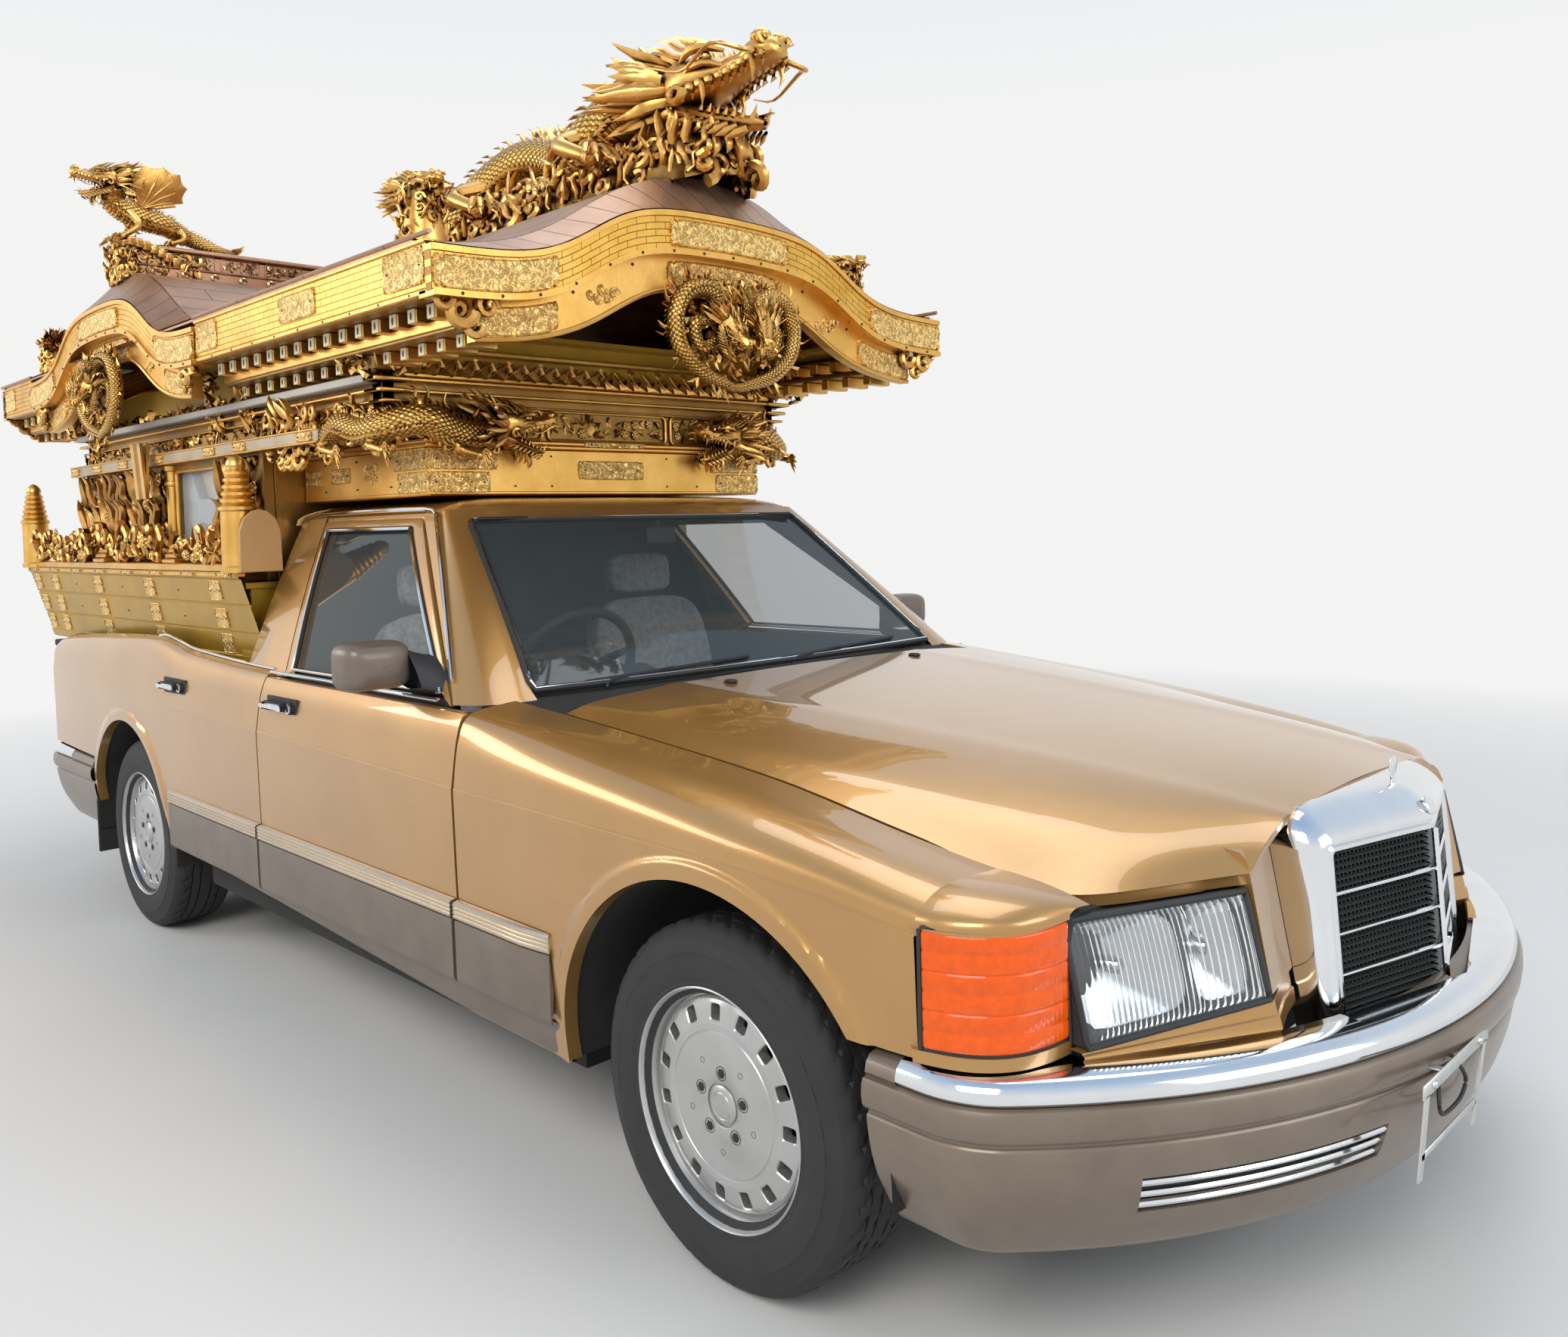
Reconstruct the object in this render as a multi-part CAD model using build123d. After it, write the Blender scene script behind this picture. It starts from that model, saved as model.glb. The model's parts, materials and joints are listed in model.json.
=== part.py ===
from build123d import *
import os
from math import atan2, cos, degrees, exp, pi, radians, sin, sqrt

os.makedirs("parts", exist_ok=True)

# Ceremonial hearse: a carved and gilded shrine on a short-cab saloon.
# Lengths run from the front axle, +X forward, +Y to the left, +Z up from the ground.
# save() moves every piece so that the origin lies under the middle of the whole.

# Overall
wheelbase = 2935
front_overhang = 964
roof_rear = -4406
axle_to_origin = (front_overhang - roof_rear) / 2 - front_overhang

# Clearances
seat_gap = 0.3
shut_gap = 6
inner_shut_gap = 12

# Wheels
axle_z = 318
tyre_width = 205
front_track = 1545
rear_track = 1517
bead_radius = 190
barrel_radius = 182
flange_radius = 207.5
rim_half_width = 99
hub_bore_radius = 33.5
stub_radius = hub_bore_radius - seat_gap
hub_pad_radius = 72
wheel_face_y = 78
wheel_face_thickness = 16
mounting_face_y = 25
brake_disc_radius = 137
slot_count = 15
slot_inner_radius = 146
slot_outer_radius = 172
slot_width = 22
arch_radius = 400
kingpin_inset = 82
kingpin_radius = 12
steer_limit = 32

# Lower body
floor_z = 230
floor_thickness = 30
belt_z = 945
door_front_x = -775
door_rear_x = -1803
door_thickness = 80
skin = 45
quarter_rear_x = -3985
deck_z = 928
bumper_top_z = 538
bumper_nose_x = 948
bumper_plan_radius = 1180
bumper_corner_radius = 170
bumper_side_y = 893
door_bottom_z = 356
door_inner_y = 822
pillar_base_z = 942
cowl_z = 900

# Cab
cab_rear_low_x = -2010
cab_rear_top_x = -2112
roof_low_z = 1372
roof_top_z = 1410
cab_wall = 38
glass_thickness = 5

# Shrine
band_front_x = -1388
band_half_width = 592
band_top_z = 1560
wall_half_width = 715
wall_rear_x = -3862
wall_thickness = 36
wall_top_z = 1640
wall_front_x = -2150
tub_top_z = 1210
tub_front_x = -1900
tub_rear_x = -4300
tub_half_width = 826
tub_floor_half_width = 770
tub_wall = 28
coffin_floor_z = 1180
beam_z = 1582
beam_height = 40
post_radius = 50
eave_half_width = 863
gable_front_x = -845
cross_ridge_x = -3095
fascia_height = 84
board_thickness = 30
roof_skin = 24
door_leaf_width = 480
door_leaf_thickness = 34
rear_door_bottom_z = 1222
rear_door_top_z = 1690


def span(x, y, z):
    """Block between three pairs of limits."""
    size = Box(x[1] - x[0], y[1] - y[0], z[1] - z[0])
    return Pos((x[0] + x[1]) / 2, (y[0] + y[1]) / 2, (z[0] + z[1]) / 2) * size


def polygon(points):
    return make_face(Polyline(*points, close=True))


def side_plate(outline, y0, y1):
    """Outline of (x, z) points, thick from y0 to y1."""
    return extrude(polygon([(x, y0, z) for x, z in outline]), amount=y1 - y0, dir=(0, 1, 0))


def plan_plate(outline, z0, z1):
    """Outline of (x, y) points, thick from z0 to z1."""
    return extrude(polygon([(x, y, z0) for x, y in outline]), amount=z1 - z0, dir=(0, 0, 1))


def front_plate(outline, x0, x1):
    """Outline of (y, z) points, thick from x0 to x1."""
    return extrude(polygon([(x0, y, z) for y, z in outline]), amount=x1 - x0, dir=(1, 0, 0))


def grown(outline, margin):
    """Polygon with every edge moved outwards by margin."""
    area = sum(a[0] * b[1] - b[0] * a[1] for a, b in zip(outline, outline[1:] + outline[:1]))
    out = margin if area > 0 else -margin
    moved = []
    for before, here, after in zip(outline[-1:] + outline[:-1], outline, outline[1:] + outline[:1]):
        ax, ay = here[0] - before[0], here[1] - before[1]
        bx, by = after[0] - here[0], after[1] - here[1]
        a_length = sqrt(ax * ax + ay * ay)
        b_length = sqrt(bx * bx + by * by)
        na = (ay / a_length, -ax / a_length)
        nb = (by / b_length, -bx / b_length)
        share = 1 + na[0] * nb[0] + na[1] * nb[1]
        moved.append((here[0] + out * (na[0] + nb[0]) / share, here[1] + out * (na[1] + nb[1]) / share))
    return moved


def loft_rings(rings):
    return loft([polygon(ring) for ring in rings], ruled=True)


def rod(start, end, radius):
    """Round bar between two points."""
    a, b = Vector(*start), Vector(*end)
    plane = Plane(origin=a, z_dir=b - a)
    return extrude(plane * Circle(radius), amount=(b - a).length)


def other_side(piece):
    return mirror(piece, about=Plane.XZ)


def group(*pieces):
    """Separate solids kept in one piece."""
    return Compound([solid for piece in pieces for solid in piece.solids()])


def both_sides(piece):
    return group(piece, other_side(piece))


def save(node, piece):
    export_step(piece.moved(Location((axle_to_origin, 0, 0))), f"parts/{node}.step")


# Wheels: tyre, slotted disc wheel with its brake disc, each turned about the Y axis
def turned(profile):
    """Profile of (radius, y) points turned about the wheel's axis."""
    face = polygon([(radius, y, 0) for radius, y in profile])
    return revolve(face, axis=Axis.Y)


def tyre():
    bulge = tyre_width / 2
    half = [
        (bead_radius + seat_gap, 88.5),
        (flange_radius + seat_gap, 88.5),
        (222, 99),
        (255, bulge),
        (290, bulge - 6),
        (309, bulge - 20),
        (axle_z - 1, bulge - 36),
    ]
    return turned(half + [(radius, -y) for radius, y in reversed(half)])


def wheel():
    """Face towards +Y, with the hub bore open to the inside."""
    barrel = turned([
        (barrel_radius, -rim_half_width),
        (flange_radius, -rim_half_width),
        (flange_radius, -89),
        (bead_radius, -89),
        (bead_radius, 89),
        (flange_radius, 89),
        (flange_radius, rim_half_width),
        (barrel_radius, rim_half_width),
    ])
    face_inner_y = wheel_face_y - wheel_face_thickness
    disc = turned([
        (0, face_inner_y),
        (hub_bore_radius, face_inner_y),
        (hub_bore_radius, -10),
        (brake_disc_radius, -10),
        (brake_disc_radius, 12),
        (hub_pad_radius, 12),
        (hub_pad_radius, face_inner_y - 8),
        (slot_inner_radius - 14, face_inner_y),
        (barrel_radius + 2, face_inner_y + 4),
        (barrel_radius + 2, wheel_face_y - 4),
        (slot_inner_radius - 8, wheel_face_y),
        (42, wheel_face_y),
        (37, wheel_face_y - 6),
        (0, wheel_face_y - 6),
    ])
    slot_middle = (slot_inner_radius + slot_outer_radius) / 2
    slot_length = slot_outer_radius - slot_inner_radius
    slot = Pos(slot_middle, wheel_face_y - 8, 0) * Box(slot_length, 60, slot_width)
    for number in range(slot_count):
        disc -= Rot(0, 360 / slot_count * number, 0) * slot
    return barrel + disc


def knuckle():
    """Carrier, stub axle, brake caliper and kingpin for the left front wheel."""
    carrier = Pos(0, -40, 0) * Rot(90, 0, 0) * Cylinder(62, 44)
    stub = Pos(0, 18, 0) * Rot(90, 0, 0) * Cylinder(stub_radius, 80)
    post = span((-22, 22), (-kingpin_inset - 20, -30), (-85, 105))
    pin = Pos(0, -kingpin_inset, 0) * Cylinder(kingpin_radius, 300)
    caliper = span((84, 152), (-44, 44), (-52, 52)) - Pos(0, 1, 0) * Rot(90, 0, 0) * Cylinder(143, 32)
    bridge = span((40, 100), (-44, -20), (-30, 30))
    steering_arm = span((-135, 0), (-kingpin_inset - 12, -kingpin_inset + 12), (-70, -50))
    return carrier + stub + post + pin + caliper + bridge + steering_arm


wheel_places = [
    # name, axle x, wheel centre y
    ("front_left", 0, front_track / 2),
    ("front_right", 0, -front_track / 2),
    ("rear_left", -wheelbase, rear_track / 2),
    ("rear_right", -wheelbase, -rear_track / 2),
]
left_tyre = tyre()
left_wheel = wheel()
left_knuckle = knuckle()
for name, x, y in wheel_places:
    place = Pos(x, abs(y), axle_z)
    turn = (lambda piece: piece) if y > 0 else other_side
    save(f"tyre_{name}", turn(place * left_tyre))
    save(f"wheel_{name}", turn(place * left_wheel))
    if x == 0:
        save(f"knuckle_{name.split('_')[1]}", turn(place * left_knuckle))

# Suspension: front crossmember with its arms, rear axle with half shafts and stubs
kingpin_y = front_track / 2 - kingpin_inset


def front_suspension():
    cross = span((-60, 60), (-420, 420), (170, 240))
    for side in (1, -1):
        eye = Cylinder(30, 26)
        lower = rod((0, side * 380, 205), (0, side * (kingpin_y - 20), axle_z - 115), 18)
        upper = rod((0, side * 370, axle_z + 125), (0, side * (kingpin_y - 20), axle_z + 125), 14)
        tower = span((-45, 45), sorted((side * 345, side * 390)), (225, 470))
        pad = span((-55, 55), sorted((side * 402, side * 420)), (235, 300 - seat_gap))
        bore = Pos(0, side * kingpin_y, axle_z) * Cylinder(kingpin_radius + seat_gap, 400)
        lower += Pos(0, side * kingpin_y, axle_z - 115) * eye
        upper += Pos(0, side * kingpin_y, axle_z + 125) * eye
        cross += (lower + upper) - bore
        cross += tower + pad
    return cross


def rear_suspension():
    centre = Pos(-wheelbase, 0, axle_z)
    axle = centre * Box(300, 240, 200)
    axle += Pos(-wheelbase + 190, 0, axle_z + 30) * Box(90, 900, 80)
    axle += Pos(-wheelbase + 120, 0, axle_z + 10) * Box(160, 120, 90)
    axle += Pos(-wheelbase + 190, 0, 393.85) * Box(70, 880, 11.7)
    for side in (1, -1):
        hub_y = side * (rear_track / 2 - 40)
        axle += centre * Pos(0, side * 360, 0) * Rot(90, 0, 0) * Cylinder(24, 660)
        axle += centre * Pos(0, hub_y, 0) * Rot(90, 0, 0) * Cylinder(60, 40)
        axle += centre * Pos(0, side * (rear_track / 2 + 19), 0) * Rot(90, 0, 0) * Cylinder(stub_radius, 80)
        axle += rod((-wheelbase + 190, side * 420, axle_z + 30), (-wheelbase, hub_y, axle_z), 30)
    return axle


save("front_crossmember", front_suspension())
save("rear_axle", rear_suspension())

# Side panels: one ruled skin from the lamp corner to the tail, split at the shut lines
fender_stations = [
    # x, sill y, sill z, low y, crease y, crease z, shoulder y, shoulder z, round y, round z, edge y, edge z
    (620, 800, 470, 868, 872, 690, 860, 722, 790, 748, 667, 748),
    (300, 848, 300, 884, 893, 742, 880, 782, 818, 808, 690, 803),
    (0, 880, 288, 900, 906, 762, 893, 815, 828, 852, 712, 862),
    (-400, 880, 285, 902, 908, 768, 895, 848, 836, 894, 733, 908),
    (-772, 880, 287, 902, 907, 771, 890, 872, 858, 925, 748, 941),
]
flank_stations = [
    (-772, 880, 287, 902, 907, 771, 890, 872, 872, 924, 850, belt_z),
    (-1800, 882, 330, 902, 906, 790, 890, 882, 872, 930, 848, 948),
    (-2400, 880, 350, 900, 903, 800, 890, 890, 870, 947, 842, 968),
    (-2700, 878, 355, 896, 899, 806, 886, 905, 868, 978, 838, 1000),
    (-3200, 870, 380, 888, 891, 815, 878, 905, 857, 962, 828, 985),
    (-3700, 858, 400, 872, 875, 824, 864, 900, 842, 940, 812, 955),
    (quarter_rear_x, 846, 420, 858, 861, 828, 851, 892, 830, 916, 800, 926),
]
moulding_z = 516


def flank(stations, depth):
    """Left side skin, lofted through upright sections."""
    rings = []
    for row in stations:
        x, sill_y, sill_z, low_y, crease_y, crease_z, sh_y, sh_z, round_y, round_z, edge_y, edge_z = row
        outer = [
            (sill_y, sill_z),
            (low_y, moulding_z),
            (crease_y, crease_z),
            (sh_y, sh_z),
            (round_y, round_z),
            (edge_y, edge_z),
        ]
        inner_shoulder_y = min(sh_y - depth, round_y - 12)
        inner = [
            (edge_y, edge_z - 26),
            (min(round_y - 14, inner_shoulder_y + 30), round_z - 30),
            (inner_shoulder_y, sh_z - 24),
            (crease_y - depth, crease_z),
            (low_y - depth, moulding_z),
            (sill_y - depth, sill_z),
        ]
        rings.append([(x, y, z) for y, z in outer + inner])
    return loft_rings(rings)


nose_plan = [
    # the corner that carries the indicator, rounded in plan
    (-5000, -1200), (430, -1200), (462, -888), (520, -868), (560, -842), (587, -806), (601, -762),
    (607, -712), (607, 712), (601, 762), (587, 806), (560, 842), (520, 868), (462, 888), (430, 1200),
    (-5000, 1200),
]
tail_plan = [
    (-3995, 0), (-3990, 560), (-3972, 700), (-3925, 790), (-3860, 842), (-3780, 1200), (2000, 1200),
    (2000, -1200), (-3780, -1200), (-3860, -842), (-3925, -790), (-3972, -700), (-3990, -560),
]
indicator_low_z = 562
indicator_high_z = 736
indicator_plan = [
    # outer corner of the left indicator in plan, then its back
    (607, 712), (601, 762), (587, 806), (560, 842), (520, 868), (470, 885),
    (450, 850), (520, 800), (556, 712),
]
indicator_pocket = [(650, 700), (650, 930), (495.2, 930), (449.6, 850), (519.8, 799.7), (555.6, 700)]


def arch_cut(x, radius):
    return Pos(x, 0, axle_z) * Rot(90, 0, 0) * Cylinder(radius, 2200)


def arch_lip(x, y_outer):
    """Flared lip round a wheel opening, left side."""
    ring = Cylinder(arch_radius + 26, 26) - Cylinder(arch_radius, 26)
    lip = Pos(x, y_outer - 13, axle_z) * Rot(90, 0, 0) * ring
    return lip & span((x - 500, x + 500), (0, 1200), (bumper_top_z + 3, 1200))


def wheelhouse(x, y_inner, y_outer):
    """Thin half-round liner over a wheel, left side."""
    tube = Cylinder(arch_radius + 8, y_outer - y_inner) - Cylinder(arch_radius, y_outer - y_inner)
    liner = Pos(x, (y_inner + y_outer) / 2, axle_z) * Rot(90, 0, 0) * tube
    return liner & span((x - 500, x + 500), (0, 1200), (470, 1200)) - \
        span((x + 335, x + 500), (0, 1200), (400, bumper_top_z + 3))


def lamp_x(y, z):
    """Leaning front plane that the lamps and the strip below them share."""
    return 1150.7 - 0.56 * y - 0.22 * z


def lamp_slab(outline, depth, proud=0):
    """Block behind the lamp plane from an outline of (y, z) points."""
    front = [(lamp_x(y, z) + proud, y, z) for y, z in outline]
    back = [(lamp_x(y, z) - depth, y, z) for y, z in outline]
    return loft_rings([front, back])


def front_body():
    fender = flank(fender_stations, skin) & plan_plate(nose_plan, 200, 1300)
    fender -= plan_plate(indicator_pocket, indicator_low_z - seat_gap, indicator_high_z + seat_gap)
    fender -= arch_cut(0, arch_radius)
    fender -= span((335, 700), (0, 1200), (0, bumper_top_z + 2))
    fender += arch_lip(0, 912)
    fender += wheelhouse(0, 470, 880)
    fender += span((-430, -398), (470, 880), (300, 500))
    lamp_room = lamp_slab([(400, 545), (740, 545), (740, 800), (400, 800)], 40 + seat_gap, 200)
    fender -= lamp_slab([(430, 552.7), (711.3, 552.7), (711.3, 760), (430, 760)], 40 + seat_gap, 200)
    fender += span((-420, 760), (470, 486), (bumper_top_z + 3, 735)) - lamp_room
    low_z = bumper_top_z + 3
    fender += lamp_slab([(436, low_z - 1), (711, low_z - 1), (711, 732), (436, 732)], 60) - lamp_room
    strip = lamp_slab([(430, low_z), (714, low_z), (714, 549), (430, 549)], 64)
    inner_strip = loft_rings([
        [(782, 431, 506), (782, 431, 549), (726, 431, 549), (726, 431, 506)],
        [(758, 308, 496), (750, 308, 549), (726, 308, 549), (726, 308, 496)],
    ])
    foot = span((-862, -690), (700, 806), (850, pillar_base_z - seat_gap))
    hinge = span((-660, hood_hinge_x), (hood_hinge_y + 14, hood_hinge_y + 30), (885, hood_hinge_z - 6))
    hinge += hood_pin(hood_lug_radius, hood_hinge_y + 14, hood_hinge_y + 30)
    hinge += hood_pin(hood_pin_radius, hood_hinge_y - 14, hood_hinge_y + 20)
    side = fender + strip + inner_strip + foot + hinge
    support = span((598, 640), (-480, 480), (380 + seat_gap, 735))
    support -= span((590, 650), (-290, 290), (420, 690))
    cowl = span((-768, -612), (-742, 742), (862, cowl_z))
    scuttle_outline = [
        (-722, 0), (-736, 400), (-768, 748), (-806, 748), (-774, 400),
        (-760, 0), (-774, -400), (-806, -748), (-768, -748), (-736, -400),
    ]
    scuttle = plan_plate(scuttle_outline, cowl_z - 20, pillar_base_z - seat_gap)
    firewall = span((-700, -670), (-800, 800), (420 + seat_gap, 870))
    return side + other_side(side) + support + cowl + scuttle + firewall


def rear_body():
    keep = span((quarter_rear_x - 40, door_rear_x - shut_gap / 2), (0, 1200), (200, 1100))
    side = flank(flank_stations, 70) & keep & plan_plate(tail_plan, 200, 1100)
    side -= span((-4100, -3325), (0, 1200), (200, bumper_top_z + 4))
    side += arch_lip(-wheelbase, 906)
    side -= arch_cut(-wheelbase, arch_radius - 8)
    side += wheelhouse(-wheelbase, 560, 850)
    side += span((cab_rear_low_x, -1745), (800, 846), (921, pillar_base_z - seat_gap))
    side -= glasshouse(-seat_gap)
    panel = span((-4000, -3940), (-800, 800), (bumper_top_z + seat_gap, deck_z))
    panel &= plan_plate(tail_plan, 200, 1100)
    for low, high in ((-820, -480), (480, 820)):
        panel -= span((-4100, -3900), (low, high), (630, 815))
    deck = span((-3960, cab_rear_low_x), (-832, 832), (deck_z - 24, deck_z))
    return side + other_side(side) + panel + deck


# Floor, sills, chassis rails and the closed body behind the cab seats
def underbody():
    pan_z = (floor_z, floor_z + floor_thickness)
    body = span((-2450, -640), (-800, 800), pan_z)
    body += span((-2480, -430), (-120, 120), (floor_z, 420))
    body += span((-3930, -2440), (-540, 540), (430, 455))
    body += span((-2470, -2440), (-800, 800), (floor_z, 455))
    body += span((-700, -655), (-738, 738), (floor_z, 420))
    outer_sill = flank(flank_stations, 84)
    outer_sill &= span((door_rear_x, door_front_x), (0, 1200), (200, door_bottom_z - 6))
    for side in (1, -1):
        body += span((-2440, -460), sorted((side * 740, side * 806)), (floor_z, 400))
        body += span((-1780, -1640), sorted((side * 800, side * (door_inner_y - seat_gap))), (372, 392))
        body += span((-660, 640), sorted((side * 400, side * 460)), (300, 380))
        body += span((-3920, -2440), sorted((side * 440, side * 500)), (400, 440))
    body += span((-2045, -2015), (-800, 800), (floor_z, deck_z - 24 - seat_gap))
    return body + outer_sill + other_side(outer_sill)


save("underbody", underbody())

# Cab: one lofted glasshouse, hollowed, then cut for the glass and the doors
def glasshouse(inset, base_z=pillar_base_z):
    """Solid of the glasshouse, every face moved inwards by inset."""
    def ring(front_x, corner_x, corner_y, pillar_x, pillar_y, rear_x, z):
        half = [
            (front_x - inset, 0),
            (front_x - 14 - inset, 400 * corner_y / 748),
            (corner_x - inset, corner_y - inset * 0.4),
            (pillar_x - inset * 0.3, pillar_y - inset),
            (rear_x + inset, pillar_y - inset),
        ]
        outline = half + [(x, -y) for x, y in reversed(half[1:])]
        return [(x, y, z) for x, y in outline]

    return loft_rings([
        ring(-722, -768, 748, -850, 846, cab_rear_low_x, base_z),
        ring(-1226, -1262, 592, -1312, 612, cab_rear_top_x, roof_low_z - inset * 0.8),
    ])


def roof_crown():
    """Raised roof panel over the glasshouse, in three steps of a ruled dome."""
    rings = [
        # inset, z
        (0, roof_low_z),
        (26, roof_low_z + 22),
        (150, roof_top_z),
    ]
    loops = []
    for inset, z in rings:
        half = [
            (-1226 - inset, 0),
            (-1240 - inset, 316),
            (-1262 - inset, 592 - inset),
            (-1312 - inset, 612 - inset),
            (cab_rear_top_x + inset, 612 - inset),
        ]
        loops.append([(x, y, z) for x, y in half + [(x, -y) for x, y in reversed(half[1:])]])
    return loft_rings(loops)


windshield_outline = [(-690, 962), (-575, 1335), (575, 1335), (690, 962)]
side_window = [(-918, 962), (-1694, 962), (-1884, 1326), (-1402, 1326)]
door_frame = [(-858, 930), (-1738, 930), (-1738, 950), (-1932, 1354), (-1376, 1354)]


cab_shell = glasshouse(0) - glasshouse(cab_wall, 930)
save("rear_body", rear_body())


def cab_top():
    shell = cab_shell + roof_crown()
    shell -= front_plate(windshield_outline, -1500, -600)
    for side in (1, -1):
        low, high = sorted((side * 560, side * 950))
        shell -= side_plate(grown(door_frame, shut_gap), low, high)
    return shell


def windshield():
    pane = glasshouse(8) - glasshouse(8 + glass_thickness, 930)
    return pane & front_plate(grown(windshield_outline, -seat_gap), -1500, -600)


save("cab_top", cab_top())
save("windshield", windshield())


# Front doors: pressed panel to the belt, framed window above, glass and mirror
def door():
    """Left door."""
    outer_box = span((door_rear_x + shut_gap / 2, door_front_x - shut_gap / 2), (0, 1200),
                     (door_bottom_z, pillar_base_z - shut_gap))
    outer = flank(flank_stations, 26) & outer_box
    inner_box = span((door_rear_x + inner_shut_gap, door_front_x - inner_shut_gap), (door_inner_y, 868),
                     (door_bottom_z + 8, 915))
    inner = flank(flank_stations, door_thickness) & inner_box
    frame = cab_shell & side_plate(door_frame, 560 + shut_gap, 950)
    frame -= side_plate(side_window, 560, 950)
    rail = span((-1730, -900), (800, 846), (905, 946))
    return outer + inner + frame + rail


def door_glass():
    pane = glasshouse(10) - glasshouse(10 + glass_thickness, 930)
    return pane & side_plate(grown(side_window, -seat_gap - 0.2), 500, 950)


def door_mirror():
    shell = loft_rings([
        [(-1098, 1006, 968), (-1098, 1006, 1066), (-1098, 858, 1068), (-1098, 858, 966)],
        [(-1040, 1010, 963), (-1040, 1010, 1071), (-1040, 852, 1073), (-1040, 852, 961)],
        [(-1012, 992, 974), (-1012, 992, 1062), (-1012, 862, 1062), (-1012, 862, 974)],
    ])
    foot = loft_rings([
        [(-880, 780, 944), (-895, 780, 958), (-1000, 780, 1030), (-1040, 780, 946)],
        [(-950, 864, 962), (-965, 864, 985), (-1035, 864, 1050), (-1060, 864, 968)],
    ])
    return shell + foot - glasshouse(-seat_gap, 930)


left_door = door()
left_glass = door_glass()
left_mirror = door_mirror() - left_door
save("door_left", left_door)
save("door_glass_left", left_glass)
save("mirror_left", left_mirror)
save("door_right", other_side(left_door))
save("door_glass_right", other_side(left_glass))
save("mirror_right", other_side(left_mirror))

# Hood: crowned panel with a leading lip and the two strips beside the grille
hood_stations = [
    # x, crown z, mid y, mid z, outer y, outer z, edge y, edge z
    (-600, 962, 400, 957, 650, 943, 733, 926),
    (-400, 949, 395, 944, 645, 925, 727, 908),
    (0, 918, 380, 912, 615, 886, 706, 863),
    (300, 893, 360, 886, 575, 850, 684, 804),
    (560, 868, 330, 858, 520, 818, 663, 754),
    (745, 846, 290, 832, 385, 800, 434, 768),
]
hood_thickness = 22
hood_hinge_x = -590
hood_hinge_z = 905
hood_hinge_y = 600
hood_pin_radius = 8
hood_lug_radius = 13


def hood_pin(radius, y0, y1):
    """Left hinge pin of the hood, or its bore."""
    return rod((hood_hinge_x, y0, hood_hinge_z), (hood_hinge_x, y1, hood_hinge_z), radius)


def hood():
    rings = []
    for x, crown_z, mid_y, mid_z, outer_y, outer_z, edge_y, edge_z in hood_stations:
        half = [(mid_y, mid_z), (outer_y, outer_z), (edge_y, edge_z)]
        top = [(-y, z) for y, z in reversed(half)] + [(0, crown_z)] + half
        under = [(y * 0.985, z - (hood_thickness if abs(y) < edge_y else 14)) for y, z in reversed(top)]
        rings.append([(x, y, z) for y, z in top + under])
    panel = loft_rings(rings)
    nose = loft_rings([
        [(745, -290, 830), (745, 0, 846), (745, 290, 830), (745, 290, 790), (745, -290, 790)],
        [(790, -210, 822), (790, 0, 836), (790, 210, 822), (790, 210, 800), (790, -210, 800)],
    ])
    for side in (1, -1):
        low, high = side * 307, side * 430
        strip = [(752, low, 590), (778, high, 590), (738, high, 795), (712, low, 795)]
        back = [(x - 24, y, z) for x, y, z in strip]
        panel += loft_rings([strip, back])
        panel += span((700, 745), sorted((side * 300, side * 425)), (770, 800))
    for side in (1, -1):
        lug = span((hood_hinge_x - hood_lug_radius, hood_hinge_x + 30),
                   (hood_hinge_y - 8, hood_hinge_y + 8), (hood_hinge_z - hood_lug_radius, 928))
        lug -= hood_pin(hood_pin_radius + seat_gap, hood_hinge_y - 20, hood_hinge_y + 20)
        panel += lug if side > 0 else other_side(lug)
    return panel + nose - grille_body(1)


# Grille: upright shell with a shallow arrow plan, bars and fine mesh behind
grille_half_width = 300
opening_half_width = 256
grille_low_z = 480
opening_low_z = 514
opening_high_z = 771
grille_shoulder_z = 796
grille_top_z = 838
grille_lean = 20 / 257


def grille_front_x(y, z):
    return 866 - 0.26 * abs(y) + grille_lean * (opening_high_z - z)


def grille_body(margin=0):
    rings = []
    for z, half_width, rear_x, pull in (
        (grille_low_z, grille_half_width, 768, 0),
        (grille_shoulder_z, grille_half_width, 716, 6),
        (grille_top_z - 14, grille_half_width - 30, 728, 34),
        (grille_top_z, grille_half_width - 90, 742, 62),
    ):
        edge = half_width + margin
        half = [
            (rear_x - margin, edge),
            (grille_front_x(edge, z) - pull, edge),
            (grille_front_x(0, z) - pull, 0),
        ]
        rings.append([(x, y, z) for x, y in half + [(x, -y) for x, y in reversed(half[:2])]])
    return loft_rings(rings)


def grille_shell():
    shell = grille_body()
    opening = [(-opening_half_width, opening_low_z), (opening_half_width, opening_low_z),
               (opening_half_width, opening_high_z), (-opening_half_width, opening_high_z)]
    shell -= front_plate(opening, 600, 1000)
    hollow = [(-280, 500), (280, 500), (280, 780), (-280, 780)]
    shell -= front_plate(hollow, 600, 770)
    return shell


slat_count = 14
rib_count = 9
bar_count = 3


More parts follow.
